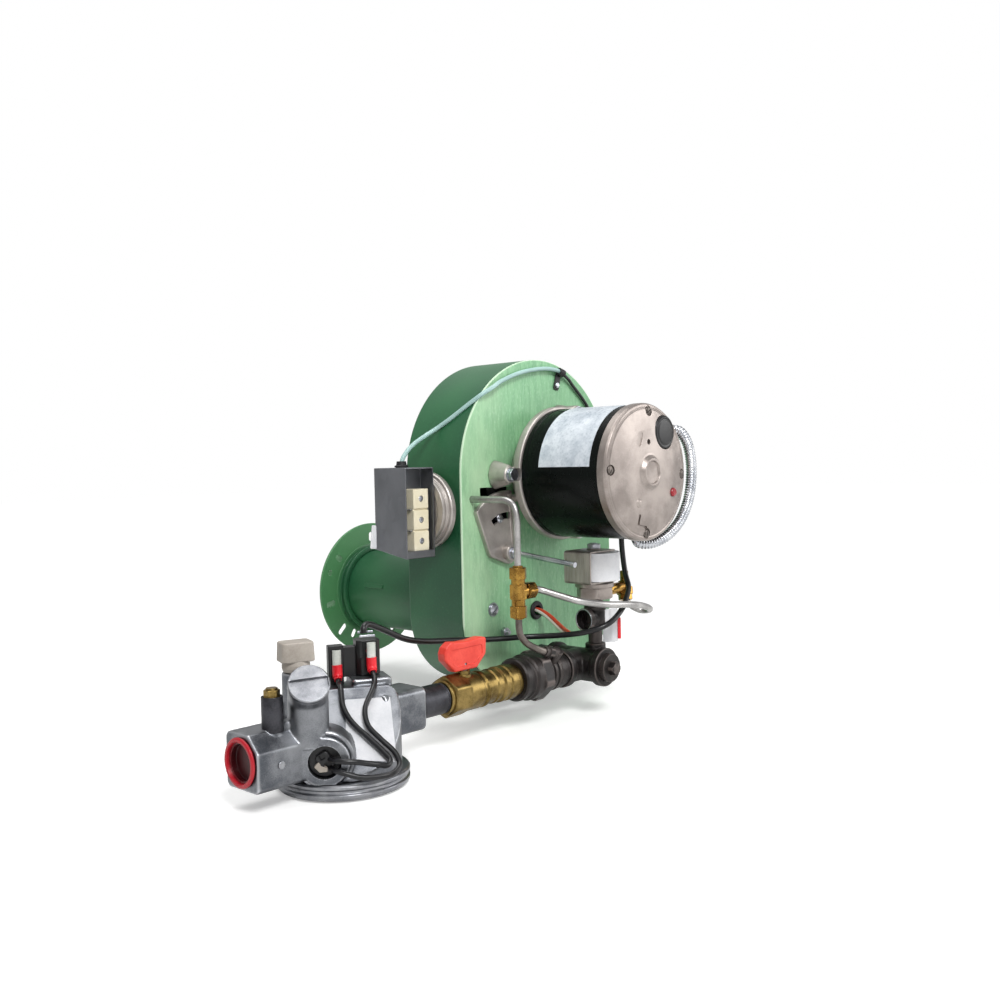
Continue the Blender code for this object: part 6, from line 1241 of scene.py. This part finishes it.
foot_z, top_z = 0.0203, 0.0468
wing = rounded([(-0.0135, foot_z), (0.0135, foot_z), (0.0252, foot_z + 0.0110), (0.0260, top_z - 0.0008),
                (0.0180, top_z), (0.0060, top_z - 0.0012), (-0.0060, top_z - 0.0012), (-0.0170, top_z),
                (-0.0235, top_z - 0.0040), (-0.0258, top_z - 0.0090), (-0.0252, foot_z + 0.0110)],
               (0.002, 0.002, 0.004, 0.0030, 0.004, 0.004, 0.004, 0.003, 0.003, 0.003, 0.004), 5, True)
handle = mesh_of("wing_handle", put(prism(wing, -0.005, 0.005, 0.0018, None, 4), STEM, FRONT))
panel = rounded([(-0.0105, foot_z + 0.0040), (0.0105, foot_z + 0.0040), (0.0205, foot_z + 0.0120),
                 (0.0200, top_z - 0.0062), (-0.0175, top_z - 0.0066), (-0.0210, foot_z + 0.0120)],
                0.0022, 5, True)
cut(handle, put(prism(panel, 0.0041, 0.010, 0.0008, 0), STEM, FRONT),
    put(prism(panel, -0.010, -0.0041, 0, 0.0008), STEM, FRONT), put(drum(0.0043, 0, 0.0265, 0, 48), STEM))
show(handle, handle_red, "valve_handle_set", "valve_handle", sharp=45)

nipple_start, nipple_end = -0.2285 - 0.0115, VALVE_L + 0.0115
nipple = together(threaded(PIPE, nipple_start, -0.2240),
                  pipe(BORE, PIPE, -0.2250, VALVE_L - 0.0030, 0.0003),
                  threaded(PIPE, VALVE_L - 0.0045, nipple_end))
show(("dark_nipple", put(nipple, line, RIGHT)), pipe_iron, stands_for="outlet_nipple")

# %% [markdown]
# ## Combination gas valve
# The valve body is one die casting with a drum, an inlet block with a large chamfer, a tower for the
# pressure regulator, a round port, a post for the test tap and a pedestal for the terminals. All of
# them run into each other with soft corners, so they are melted together, and the port, the tap hole
# and the pipe mouths are cut crisply afterwards.

# %% Valve body
GAS_X, INLET_END, INLET_Z, OUTLET_END = -0.302, -0.394, -0.0645, -0.2285
DRUM_TOP, DRUM_LOW = -0.030, -0.0875
slope_out, SLOPE = facing(-32.5, 47.5), (-0.2940, -0.3450, -0.0580)
drum_line = rounded([(0, DRUM_LOW), (0.0458, DRUM_LOW), (0.0458, DRUM_TOP), (0, DRUM_TOP)],
                    (0, 0.0008, 0.0050, 0))
drum_body = mesh_of("valve_drum", put(turned(drum_line, 128), (GAS_X, LINE_Y, 0)))
cut(drum_body, put(brick(0.19, 0.19, 0, 0.06, 0), SLOPE, aim(slope_out)))
drum_shape = shape_of(drum_body)
high, wide = 0.0205, 0.0200
block = rounded([(high, wide - 0.003), (high - 0.003, wide), (-high + 0.003, wide), (-high, wide - 0.003),
                 (-high, -wide + 0.003), (-high + 0.003, -wide), (high - 0.012, -wide),
                 (high, -wide + 0.012)], 0.0010, 3, True)
inlet = put(prism(block, 0, -0.332 - INLET_END, 0.0006, 0.0008), (-0.332, LINE_Y, INLET_Z), LEFT)
outlet = put(prism(rectangle(0.0356, 0.0356, 0.0050), 0, OUTLET_END + 0.272, 0.0006, 0.0012),
             (-0.272, LINE_Y, LINE_Z), RIGHT)
cap_out, cap_place = facing(-32.5, 40), np.array([-0.3514, -0.3450, -0.0110])
tower = bar(cap_place - cap_out * 0.0403, cap_place - cap_out * 0.0043, 0.0150, 0.0008, 64)
column_x, column_y, column_z = cap_place - cap_out * 0.0200
column_line = rounded([(0, -0.060), (0.0152, -0.060), (0.0152, column_z - 0.002), (0.009, column_z + 0.006),
                       (0, column_z + 0.008)], (0, 0, 0.004, 0.003, 0))
column = put(turned(column_line, 64), (column_x, column_y, 0))
port_out, port_place = facing(-40, 0), np.array([-0.3430, -0.3500, -0.0708])
port = bar(port_place - port_out * 0.0330, port_place, 0.0186, 0.0010, 64)
port_collar = bar(port_place - port_out * 0.0330, port_place - port_out * 0.0060, 0.0222, 0.0020, 64)
TAP = (-0.370, -0.325, 0)
post = put(drum(0.0074, INLET_Z, -0.0205, 0.0012, 64), TAP)
post_web = put(brick(0.030, 0.010, INLET_Z, -0.0400, 0.001), (-0.356, -0.325, 0))
KNOB = (-0.332, -0.303, 0)
knob_boss = put(drum(0.0110, -0.060, -0.0108, 0.0010, 64), KNOB)
pedestal = put(brick(0.0320, 0.0300, -0.0600, -0.0246, 0.0016, 0.0030), (-0.2628, -0.3065, 0), spin(-27))
rib_shapes = [put(brick(0.0040, 0.0300, -0.0700, DRUM_TOP - 0.004, 0.001),
                  (*polar((GAS_X, LINE_Y), 0.036, angle), 0), spin(angle + 90))
              for angle in (20, 65, 110, 150)]
body = melted("gas_valve_casting", 0.00095, 5, drum_shape, inlet, outlet, tower, column, port, port_collar,
              post, post_web, knob_boss, pedestal, *rib_shapes)
cut(body, put(drum(PIPE + GAP, -0.01, 0.0120, 0), (INLET_END, LINE_Y, INLET_Z), RIGHT),
    put(drum(PIPE + GAP, -0.01, 0.0120, 0), (OUTLET_END, LINE_Y, LINE_Z), LEFT),
    bar(port_place - port_out * 0.0110, port_place + port_out * 0.01, 0.0124, 0, 64),
    put(drum(0.0033, -0.0288, 0, 0, 32), TAP),
    put(brick(0.4, 0.4, -0.2, DRUM_LOW + 0.0003, 0), (GAS_X, LINE_Y, 0)))
show(body, die_cast, stands_for="gas_valve_body", weigh=False, sharp=42)

# %% [markdown]
# Under the body sits the diaphragm housing, a pressed ring with a groove between its two flanges. The
# rest are the small pieces that make a gas valve look like one: a slotted regulator cap, a moulded
# knob, a brass test tap, the transit cap in the inlet, and the connector in the port.

# %% Base, caps and knob
base_line = rounded([(0, -0.1010), (0.0470, -0.1010), (0.0500, -0.1000), (0.0520, -0.0975),
                     (0.0520, -0.0955), (0.0505, -0.0943), (0.0505, -0.0925), (0.0520, -0.0912),
                     (0.0520, -0.0892), (0.0506, -0.0878), (0, -0.0878)],
                    (0, 0.002, 0.002, 0.001, 0.0008, 0.0006, 0.0006, 0.0008, 0.0008, 0.0006, 0), 4)
base = mesh_of("diaphragm_housing", put(turned(base_line, 128), (GAS_X, LINE_Y, 0)))
cut(base, *[put(drum(0.0030, -0.11, -0.0985, 0, 24), (*polar((GAS_X, LINE_Y), 0.0445, angle), 0))
            for angle in range(30, 390, 60)])
show(base, bright_cap, stands_for="gas_valve_base")

cap_line = rounded([(0, -0.0040), (0.0156, -0.0040), (0.0156, -0.0009), (0.0148, 0), (0, 0)],
                   (0, 0.0003, 0.0004, 0.0004, 0))
cap = mesh_of("slotted_regulator_cap", put(turned(cap_line, 96), cap_place, aim(cap_out)))
cut(cap, put(brick(0.0284, 0.0084, -0.0030, 0.01, 0, 0.0008), cap_place, aim(cap_out) @ spin(4)))
bevelled(cap, 0.0002, 2, 50)
show(cap, bright_cap, stands_for="regulator_cap")

grip = prism(rectangle(0.0262, 0.0204, 0.0040, 8), -0.0025, 0.0128, 0.0012, 0.0014)
grip_points = grip[0] * np.stack([1 - 0.05 * (grip[0][:, 2] + 0.0025) / 0.016] * 2
                                 + [np.ones(len(grip[0]))], 1)
knob = mesh_of("moulded_knob", put((grip_points, grip[1]), KNOB, spin(-20)))
skirt_line = rounded([(0, -0.0105), (0.0098, -0.0105), (0.0108, -0.0075), (0.0108, -0.0050), (0.0095, 0),
                      (0, 0)], (0, 0.001, 0.0008, 0.001, 0, 0))
fuse(knob, put(turned(skirt_line, 64), KNOB))
cut(knob, put(put(brick(0.0030, 0.0012, 0.0129, 0.02, 0, 0.0005), (0, -0.0068, 0)), KNOB, spin(-20)))
show(knob, beige, "control_knob", "gas_knob", sharp=45)

tap = together(nut(0.0110, 6, -0.0202, -0.0150, 0.04, 0.0003), drum(0.0044, -0.0155, -0.0137, 0.0004, 48),
               drum(0.0030, -0.0285, -0.0195, 0.0003, 32), drum(0.0062, -0.0206, -0.0198, 0.0002, 48))
show(("test_tap", put(tap, TAP)), brass, stands_for="pressure_tap")
show(("tap_post_sleeve", put(pipe(0.0070, 0.0080, -0.0460, -0.0199), TAP)), pipe_iron)

inlet_line = rounded([(0, -0.0070), (PIPE, -0.0070), (PIPE, GAP), (0.0176, GAP), (0.0184, 0.0012),
                      (0.0184, 0.0022), (0.0172, 0.0032), (0.0152, 0.0032), (0.0134, -0.0045),
                      (0, -0.0050)], (0, 0.0004, 0.0003, 0.0004, 0.0004, 0.0006, 0.0008, 0.0008, 0.001, 0))
show(("transit_cap", put(turned(inlet_line, 96), (INLET_END, LINE_Y, INLET_Z), LEFT)), cap_red,
     stands_for="inlet_cap")

insert_back = port_place - port_out * 0.0109
connector = mesh_of("port_connector", bar(insert_back, port_place - port_out * 0.0060, 0.0120, 0.0006, 64))
port_turn = aim(port_out)
key_turn = port_turn @ spin(30)
fuse(connector, put(brick(0.0110, 0.0140, 0, 0.0082, 0.0010, 0.003), insert_back, key_turn))
cut(connector, put(put(drum(0.0028, 0.004, 0.02, 0, 32), (0.0005, -0.0035, 0)), insert_back, key_turn),
    put(put(brick(0.0042, 0.0042, 0.006, 0.02, 0, 0.0004), (0.0, 0.0040, 0)), insert_back, key_turn))
show(connector, black_plastic)
core_outline = rounded([(-0.0080, -0.0034), (-0.0040, -0.0076), (0.0016, -0.0074), (0.0020, -0.0046),
                        (-0.0028, -0.0030), (-0.0044, 0.0004)], 0.0008, 4, True)
show(("port_core", put(prism(core_outline, 0.0045, 0.0092, 0.0004), insert_back, port_turn)), beige)
rim_line = rounded([(0.0190, -0.0010), (0.0216, -0.0010), (0.0216, 0.0004), (0.0208, 0.0010),
                    (0.0196, 0.0010), (0.0190, 0.0004)], 0.0003, 3, True)
show(("port_rim", put(turned(rim_line, 96, True), port_place - port_out * 0.0060, port_turn)), bright_cap)
face_plug_line = rounded([(0, 0), (0.0030, 0), (0.0028, 0.0010), (0, 0.0014)], (0, 0.0002, 0.0005, 0))
show(("face_plug", put(turned(face_plug_line, 40), (-0.3740, -0.3400, -0.0672), FRONT)), bright_cap)

# %% [markdown]
# The terminal block is a black moulding with chamfered corners and a cover screw, and a small holder is
# joined to its side. Two thick leads leave them in pale sleeves and red boots, drop in front of the
# valve's sloped face, loop back and end in the port. A blank film lies on the sloped face behind them.

# %% Terminal block, leads and film
BLOCK, BLOCK_TURN = (-0.260, -0.301, 0), spin(-27)


def on_block(shape, x=0, y=0):
    """A shape moved across the terminal block, then turned and placed with it."""
    return put(put(shape, (x, y, 0)), BLOCK, BLOCK_TURN)


block_outline = rounded(rectangle(0.0196, 0.0180, 0.0034, 1), 0.0014, 3, True)
block_mesh = mesh_of("terminal_moulding", on_block(prism(block_outline, -0.0242, 0.0045, 0.0008)))
cut(block_mesh, on_block(brick(0.0150, 0.0060, 0.0060, 0.02, 0, 0.0010), 0, -0.0040),
    *[on_block(brick(0.0050, 0.0030, -0.010, 0.0035, 0, 0.0008), x, -0.0095) for x in (-0.0070, 0.0070)])
show(block_mesh, black_plastic, stands_for="valve_terminal_block")
show(("cover_screw", put(put(slotted_head(0.0026, 0.0016, 0.0006, 0.0008, 32), turn=FRONT),
                         (-0.2641, -0.3091, -0.0040), BLOCK_TURN)), button_red)
holder = put(put(brick(0.0125, 0.0090, -0.0310, 0.0015, 0.0006, 0.0012), turn=BLOCK_TURN),
             (-0.2843, -0.2905, 0))
bridge = on_block(brick(0.0125, 0.0085, -0.0250, -0.0005, 0.0006, 0.0012), -0.0150, 0.0010)
show(("lead_holder", together(holder, bridge)), black_plastic)
bars = together(on_block(brick(0.0130, 0.0016, 0.0085, 0.0105, 0.0004), 0, 0.0030),
                on_block(brick(0.0130, 0.0016, 0.0062, 0.0082, 0.0004), 0, -0.0040))
show(("terminal_bars", bars), zinc)

LEFT_LEAD = [(-0.2865, -0.2955, -0.0020), (-0.2867, -0.2958, -0.0130), (-0.2875, -0.2975, -0.0230),
             (-0.2910, -0.3035, -0.0278), (-0.2955, -0.3110, -0.0283), (-0.3032, -0.3229, -0.0401),
             (-0.3047, -0.3353, -0.0504), (-0.3016, -0.3501, -0.0603), (-0.2988, -0.3628, -0.0687),
             (-0.2978, -0.3705, -0.0745), (-0.3030, -0.3735, -0.0775), (-0.3107, -0.3715, -0.0755),
             (-0.3205, -0.3710, -0.0725), (-0.3290, -0.3690, -0.0700), (-0.3360, -0.3640, -0.0690),
             (-0.3390, -0.3570, -0.0690), (-0.3380, -0.3500, -0.0692), (-0.3343, -0.3444, -0.0695)]
RIGHT_LEAD = [(-0.2652, -0.3132, 0.0030), (-0.2652, -0.3132, -0.0080), (-0.2654, -0.3140, -0.0180),
              (-0.2700, -0.3225, -0.0255), (-0.2784, -0.3290, -0.0313), (-0.2911, -0.3350, -0.0424),
              (-0.2969, -0.3450, -0.0530), (-0.2955, -0.3570, -0.0614), (-0.2920, -0.3690, -0.0704),
              (-0.2940, -0.3770, -0.0780), (-0.3030, -0.3800, -0.0820), (-0.3134, -0.3765, -0.0830),
              (-0.3250, -0.3710, -0.0820), (-0.3320, -0.3660, -0.0795), (-0.3375, -0.3590, -0.0770),
              (-0.3372, -0.3520, -0.0765), (-0.3328, -0.3456, -0.0765)]
for side, points, node in (("left", LEFT_LEAD, "valve_lead_left"),
                           ("right", RIGHT_LEAD, "valve_lead_right")):
    path, walked = route(points, 0.0009)
    wire = path[walked > 0.0190]
    show((f"lead_{side}", swept(wire, 0.0021, 24)), black_sheath, stands_for=node,
         weigh=False)
    booted = (walked > 0.0110) & (walked < 0.0246)
    boot_radius = 0.0041 - 0.0009 * (walked[booted] > 0.0225)
    show((f"boot_{side}", swept(path[booted], boot_radius, 32)), boot_red, weigh=False)
    show((f"sleeve_{side}", swept(path[walked < 0.0125], 0.0040, 32, 0.7)), sleeve, weigh=False)

corners = np.array([(-0.2963, -0.3169, -0.0375), (-0.2665, -0.3363, -0.0378), (-0.2921, -0.3718, -0.0777),
                    (-0.3210, -0.3484, -0.0739)])
film_turn = aim(slope_out)
flat = (corners - SLOPE) @ film_turn
show(("face_film", put(prism(rounded(flat[:, :2], 0.0008, 3, True), -0.0001, 0.0004, 0.0001), SLOPE,
                       film_turn)), matte_film)

# %% [markdown]
# The control cable runs from the block's top along the gas line, past the pilot valve, and up into the
# motor. It is plain black, and it rises a little to the left of the CAD's cord, as in the photograph.

# %% Control cable
CONTROL = [(-0.2615, -0.3000, 0.0091), (-0.2610, -0.2995, 0.0130), (-0.2540, -0.2975, 0.0150),
           (-0.2360, -0.2955, 0.0079), (-0.2106, -0.2935, -0.0035), (-0.1818, -0.2897, -0.0102),
           (-0.1413, -0.2880, -0.0148), (-0.1100, -0.2880, -0.0190), (-0.0815, -0.2890, -0.0217),
           (-0.0560, -0.2990, -0.0225), (-0.0400, -0.3200, -0.0215), (-0.0290, -0.3440, -0.0180),
           (-0.0190, -0.3580, -0.0130), (-0.0060, -0.3620, -0.0078), (0.0125, -0.3600, 0.0011),
           (0.0270, -0.3550, 0.0100), (0.0404, -0.3480, 0.0190), (0.0465, -0.3400, 0.0310),
           (0.0485, -0.3360, 0.0460), (0.0480, -0.3350, 0.0600), (0.0475, -0.3350, 0.0740),
           (0.0470, -0.3350, 0.0889)]
show(("control_lead", swept(route(CONTROL, 0.0016)[0], 0.0027, 24)), black_sheath,
     stands_for="control_cable", weigh=False)

# %% [markdown]
# ## Pilot valve
# A riser of black iron fittings stands in the tee and carries a small solenoid valve: a hexagon body,
# a coil with a blank white wrap in a bent steel yoke that is open to the right, and a nut on its stem.
# A brass elbow leaves its right side for the pilot tube.

# %% Riser, solenoid and elbow
sx, sy = SOLENOID
RISER = (*SOLENOID, 0)
riser_line = rounded([(0, -0.0190), (0.0100, -0.0190), (0.0108, -0.0178), (0.0108, -0.0150),
                      (0.0098, -0.0135), (0.0098, -0.0010), (0.0108, 0.0005), (0.0108, 0.0030),
                      (0.0100, 0.0040), (0, 0.0040)], 0.0006, 3)
riser = together(drum(0.0069, LINE_Z + 0.0166, 0.0107, 0.0004, 64), turned(riser_line, 64),
                 nut(0.0150, 6, 0.0045, 0.0105, 0.04, 0.0004))
BRANCH, branch_turn = (sx, sy, -0.0085), aim(facing(-94, 0))
branch_line = rounded([(0, 0), (0.0090, 0), (0.0090, 0.0100), (0.0112, 0.0112), (0.0112, 0.0165),
                       (0.0096, 0.0165), (0.0092, 0.0030), (0, 0.0030)],
                      (0, 0, 0.001, 0.0008, 0.0006, 0.0004, 0.0004, 0))
riser_branch = put(turned(branch_line, 72), BRANCH, branch_turn)
show(("branch_rim", put(pipe(0.0096, 0.0108, 0.0160, 0.0168, 0.0002, 72), BRANCH, branch_turn)), zinc)
show(("pilot_riser_fitting", together(put(riser, RISER), riser_branch)), black_iron,
     stands_for="pilot_riser")

hexagon = put(put(nut(0.0326, 6, 0.0110, 0.0230, 0.03, 0.0006), turn=spin(17)), RISER)
bonnet_line = rounded([(0, 0.0225), (0.0190, 0.0225), (0.0190, 0.0262), (0.0182, 0.0270), (0.0065, 0.0270),
                       (0.0065, 0.0600), (0.0058, 0.0600), (0.0058, 0.0240), (0, 0.0240)],
                      (0, 0.0004, 0.0006, 0.0004, 0.0003, 0.0002, 0.0002, 0.0002, 0))
bonnet = put(turned(bonnet_line, 96), RISER)
show(("pilot_valve_body", together(hexagon, bonnet)), brown_cast,
     stands_for="solenoid_body")

yoke_low, yoke_top, yoke_wall = 0.0273, 0.0590, 0.0016
outer = rounded([(-0.027, yoke_low), (0.0130, yoke_low), (0.0130, yoke_top), (-0.027, yoke_top)],
                (0.0030, 0.0006, 0.0006, 0.0030), 6, True)
opening = rounded([(-0.0254, yoke_low + yoke_wall), (0.0300, yoke_low + yoke_wall),
                   (0.0300, yoke_top - yoke_wall), (-0.0254, yoke_top - yoke_wall)], 0.0014, 6, True)
yoke = mesh_of("bent_yoke", put(prism(outer, -0.016, 0.016, 0.0003), RISER, FRONT))
cut(yoke, put(prism(opening, -0.03, 0.03, 0), RISER, FRONT))
cut(yoke, put(drum(0.0068, 0.02, 0.07, 0, 48), RISER))
show(yoke, coil_steel, stands_for="solenoid_yoke")
coil_line = rounded([(0.0068, 0.0292), (0.0232, 0.0292), (0.0246, 0.0300), (0.0246, 0.0312),
                     (0.0240, 0.0318), (0.0240, 0.0545), (0.0246, 0.0551), (0.0246, 0.0563),
                     (0.0232, 0.0571), (0.0068, 0.0571)], 0.0005, 3, True)
show(("coil_can", put(turned(coil_line, 128, True), RISER)), zinc,
     stands_for="solenoid_coil")
wrap = np.array([(0.0243, 0.0294), (0.0249, 0.0297), (0.0249, 0.0566), (0.0243, 0.0569)])
show(("coil_wrap", put(part_turn(wrap, -165, 8, 64), RISER)), white_film)
coil_nut = together(nut(0.0122, 6, 0.0603, 0.0645, 0.04, 0.0003), drum(0.0066, 0.0600, 0.0606, 0.0002, 48),
                    drum(0.0036, 0.060, 0.0653, 0.0004, 40))
show(("coil_nut", put(coil_nut, RISER)), zinc, stands_for="solenoid_nut")

knee = np.array([sx + 0.0505, sy + 0.001, 0.0170])
tip = np.array([0.0502, -0.3370, 0.0040])
start = np.array([sx + 0.0163, sy, 0.0170])
down = unit(tip - knee)
elbow = together(bar(start, knee + (0.004, 0, 0), 0.0056, 0.0010),
                 bar(knee - down * 0.002, tip, 0.0052, 0.0006),
                 bar(knee, knee + (0, 0, 0.0165), 0.0042, 0.0010),
                 put(nut(0.0150, 6, 0.0040, 0.0120, 0.04, 0.0003), knee - down * 0.004, aim(down)),
                 put(nut(0.0128, 6, 0, 0.0050, 0.04, 0.0003), start + (0.0010, 0, 0), RIGHT),
                 put(nut(0.0128, 6, 0, 0.0085, 0.04, 0.0003), tip - down * 0.0085, aim(down)),
                 put(nut(0.0128, 6, 0, 0.0070, 0.04, 0.0003), knee - (0.0050, 0, 0), RIGHT))
show(("brass_elbow", elbow), bright_brass, stands_for="pilot_elbow")

# %% [markdown]
# The brass tee in the pilot line is a compression fitting: a small forged body and three hex nuts. The
# pilot tubes are soft aluminium, bent by hand, so their curves are wide and never quite even.

# %% Brass tee and pilot tubes
hub = np.array([-0.100, -0.326, 0.0275])
fitting = together(bar(hub - (0, 0, 0.0150), hub + (0, 0, 0.0140), 0.0064, 0.0006),
                   bar(hub, hub + (0.0120, 0, 0), 0.0064, 0.0006),
                   put(nut(0.0124, 4, -0.0075, 0.0075, 0.02, 0.0010), hub),
                   put(nut(0.0146, 6, 0.0115, 0.0225, 0.05, 0.0003), hub),
                   put(nut(0.0146, 6, 0.0128, 0.0238, 0.05, 0.0003), hub, np.diag([1, -1, -1])),
                   put(nut(0.0146, 6, 0.0090, 0.0198, 0.05, 0.0003), hub, RIGHT),
                   bar(hub + (0, 0, 0.022), hub + (0, 0, 0.0240), 0.0048, 0.0004),
                   bar(hub - (0, 0, 0.0230), hub - (0, 0, 0.0250), 0.0048, 0.0004),
                   bar(hub + (0.0190, 0, 0), hub + (0.0210, 0, 0), 0.0048, 0.0004))
show(("compression_tee", fitting), bright_brass, stands_for="pilot_tee")

BURNER_TUBE = [(-0.1000, -0.3260, 0.0518), (-0.1000, -0.3260, 0.0660), (-0.1000, -0.3260, 0.0810),
               (-0.1000, -0.3260, 0.0950), (-0.1000, -0.3225, 0.1060), (-0.1000, -0.3130, 0.1110),
               (-0.1000, -0.2980, 0.1115), (-0.1000, -0.2820, 0.1115), (-0.1000, -0.2700, 0.1115),
               (-0.1000, -0.2580, 0.1100), (-0.0990, -0.2480, 0.1030), (-0.0960, -0.2420, 0.0900),
               (-0.0900, -0.2380, 0.0650), (-0.0760, -0.2340, 0.0350), (-0.0520, -0.2260, 0.0100),
               (-0.0340, -0.2100, -0.0060), (-0.0280, -0.1880, -0.0120), (-0.0270, -0.1500, -0.0130),
               (-0.0270, -0.1000, -0.0130), (-0.0270, -0.0500, -0.0130), (-0.0270, -0.0205, -0.0130)]
FEED_TUBE = [(-0.1000, -0.3260, 0.0022), (-0.1000, -0.3262, -0.0060), (-0.0993, -0.3275, -0.0130),
             (-0.0955, -0.3315, -0.0200), (-0.0895, -0.3355, -0.0245), (-0.0835, -0.3375, -0.0275),
             (-0.0785, -0.3380, -0.0292)]
BRANCH_TUBE = [(-0.0784, -0.3260, 0.0275), (-0.0745, -0.3261, 0.0274), (-0.0690, -0.3300, 0.0255),
               (-0.0610, -0.3420, 0.0210), (-0.0510, -0.3560, 0.0160), (-0.0340, -0.3650, 0.0120),
               (-0.0130, -0.3680, 0.0090), (0.0100, -0.3685, 0.0065), (0.0330, -0.3665, 0.0030),
               (0.0520, -0.3635, -0.0020), (0.0630, -0.3565, -0.0060), (0.0622, -0.3475, -0.0070),
               (0.0555, -0.3420, -0.0030), (0.0502, -0.3372, 0.0037)]
for name, points, node in (("burner_tube", BURNER_TUBE, "pilot_burner_tube"),
                           ("feed_tube", FEED_TUBE, "pilot_feed_tube"),
                           ("branch_tube", BRANCH_TUBE, "pilot_branch_tube")):
    show((name, swept(route(points, 0.0018)[0], 0.0032, 28)),
         dull_tube if name == "feed_tube" else soft_tube, stands_for=node,
         weigh=False)

# %% [markdown]
# ## Ignition wires and small fixings
# Three insulated wires leave the plate through a black grommet and join the control cable. They lie
# side by side with a slow twist. The rest are fixings on the plate and the blank tag on the riser.

# %% Wires, grommet, screws and tag
WIRES = [(-0.0109, -0.2560, -0.0045), (-0.0109, -0.2650, -0.0045), (-0.0109, -0.2750, -0.0055),
         (-0.0115, -0.2870, -0.0100), (-0.0145, -0.3000, -0.0160), (-0.0205, -0.3130, -0.0195),
         (-0.0306, -0.3289, -0.0206)]
path, walked = route(WIRES, 0.0012)
show(("wire_red", swept(strand(path, walked, 0.0017, 20, 0.30), 0.0019, 20)), wire_red,
     stands_for="ignition_wires", weigh=False)
show(("wire_green", swept(strand(path, walked, 0.0019, 255, 0.30), 0.0014, 20)), wire_green, weigh=False)
show(("wire_white", swept(strand(path, walked, 0.0019, 150, 0.30), 0.0014, 20)), wire_white, weigh=False)
grommet_line = rounded([(0.0050, -0.0040), (0.0076, -0.0040), (0.0076, 0.0001), (0.0094, 0.0003),
                        (0.0094, 0.0016), (0.0078, 0.0028), (0.0050, 0.0028)], 0.0006, 4, True)
show(("wire_grommet", put(turned(grommet_line, 64, True), (-0.0109, -HOUSING_FRONT, -0.0045), FRONT)),
     black_rubber)

panel_screw = together(slotted_head(0.0058, 0.0036, 0.0012, 0.0015),
                       drum(0.0068, -0.0001, 0.0006, 0.0002, 48))
show(("panel_screw", put(panel_screw, (-0.0744, -HOUSING_FRONT - 0.0001, 0.0036), FRONT @ spin(35))), zinc)
small_nut = together(nut(0.0086, 6, 0, 0.0040, 0.05, 0.0003), drum(0.0024, 0, 0.0075, 0.0004, 32))
show(("panel_stud", put(small_nut, (-0.0594, -HOUSING_FRONT - 0.0001, -0.0203), FRONT)), zinc)

tag_turn = aim(facing(-38, 0))
TAG = np.array([0.0142, -0.3440, -0.0165])
tag = together(put(prism(rectangle(0.0150, 0.0330, 0.0008), 0, 0.0004, 0.0001), TAG, tag_turn),
               put(prism(rectangle(0.0010, 0.0300, 0.0003), 0, 0.0004, 0.0001), TAG, tag_turn))
show(("riser_tag", tag), white_film)
show(("tag_stripe", put(prism(rectangle(0.0032, 0.0210, 0.0006), 0, 0.0016, 0.0004),
                        TAG + tag_turn[:, 0] * 0.0090 - (0, 0, 0.0030), tag_turn)), boot_red)

# %% Final update
bpy.context.view_layer.update()
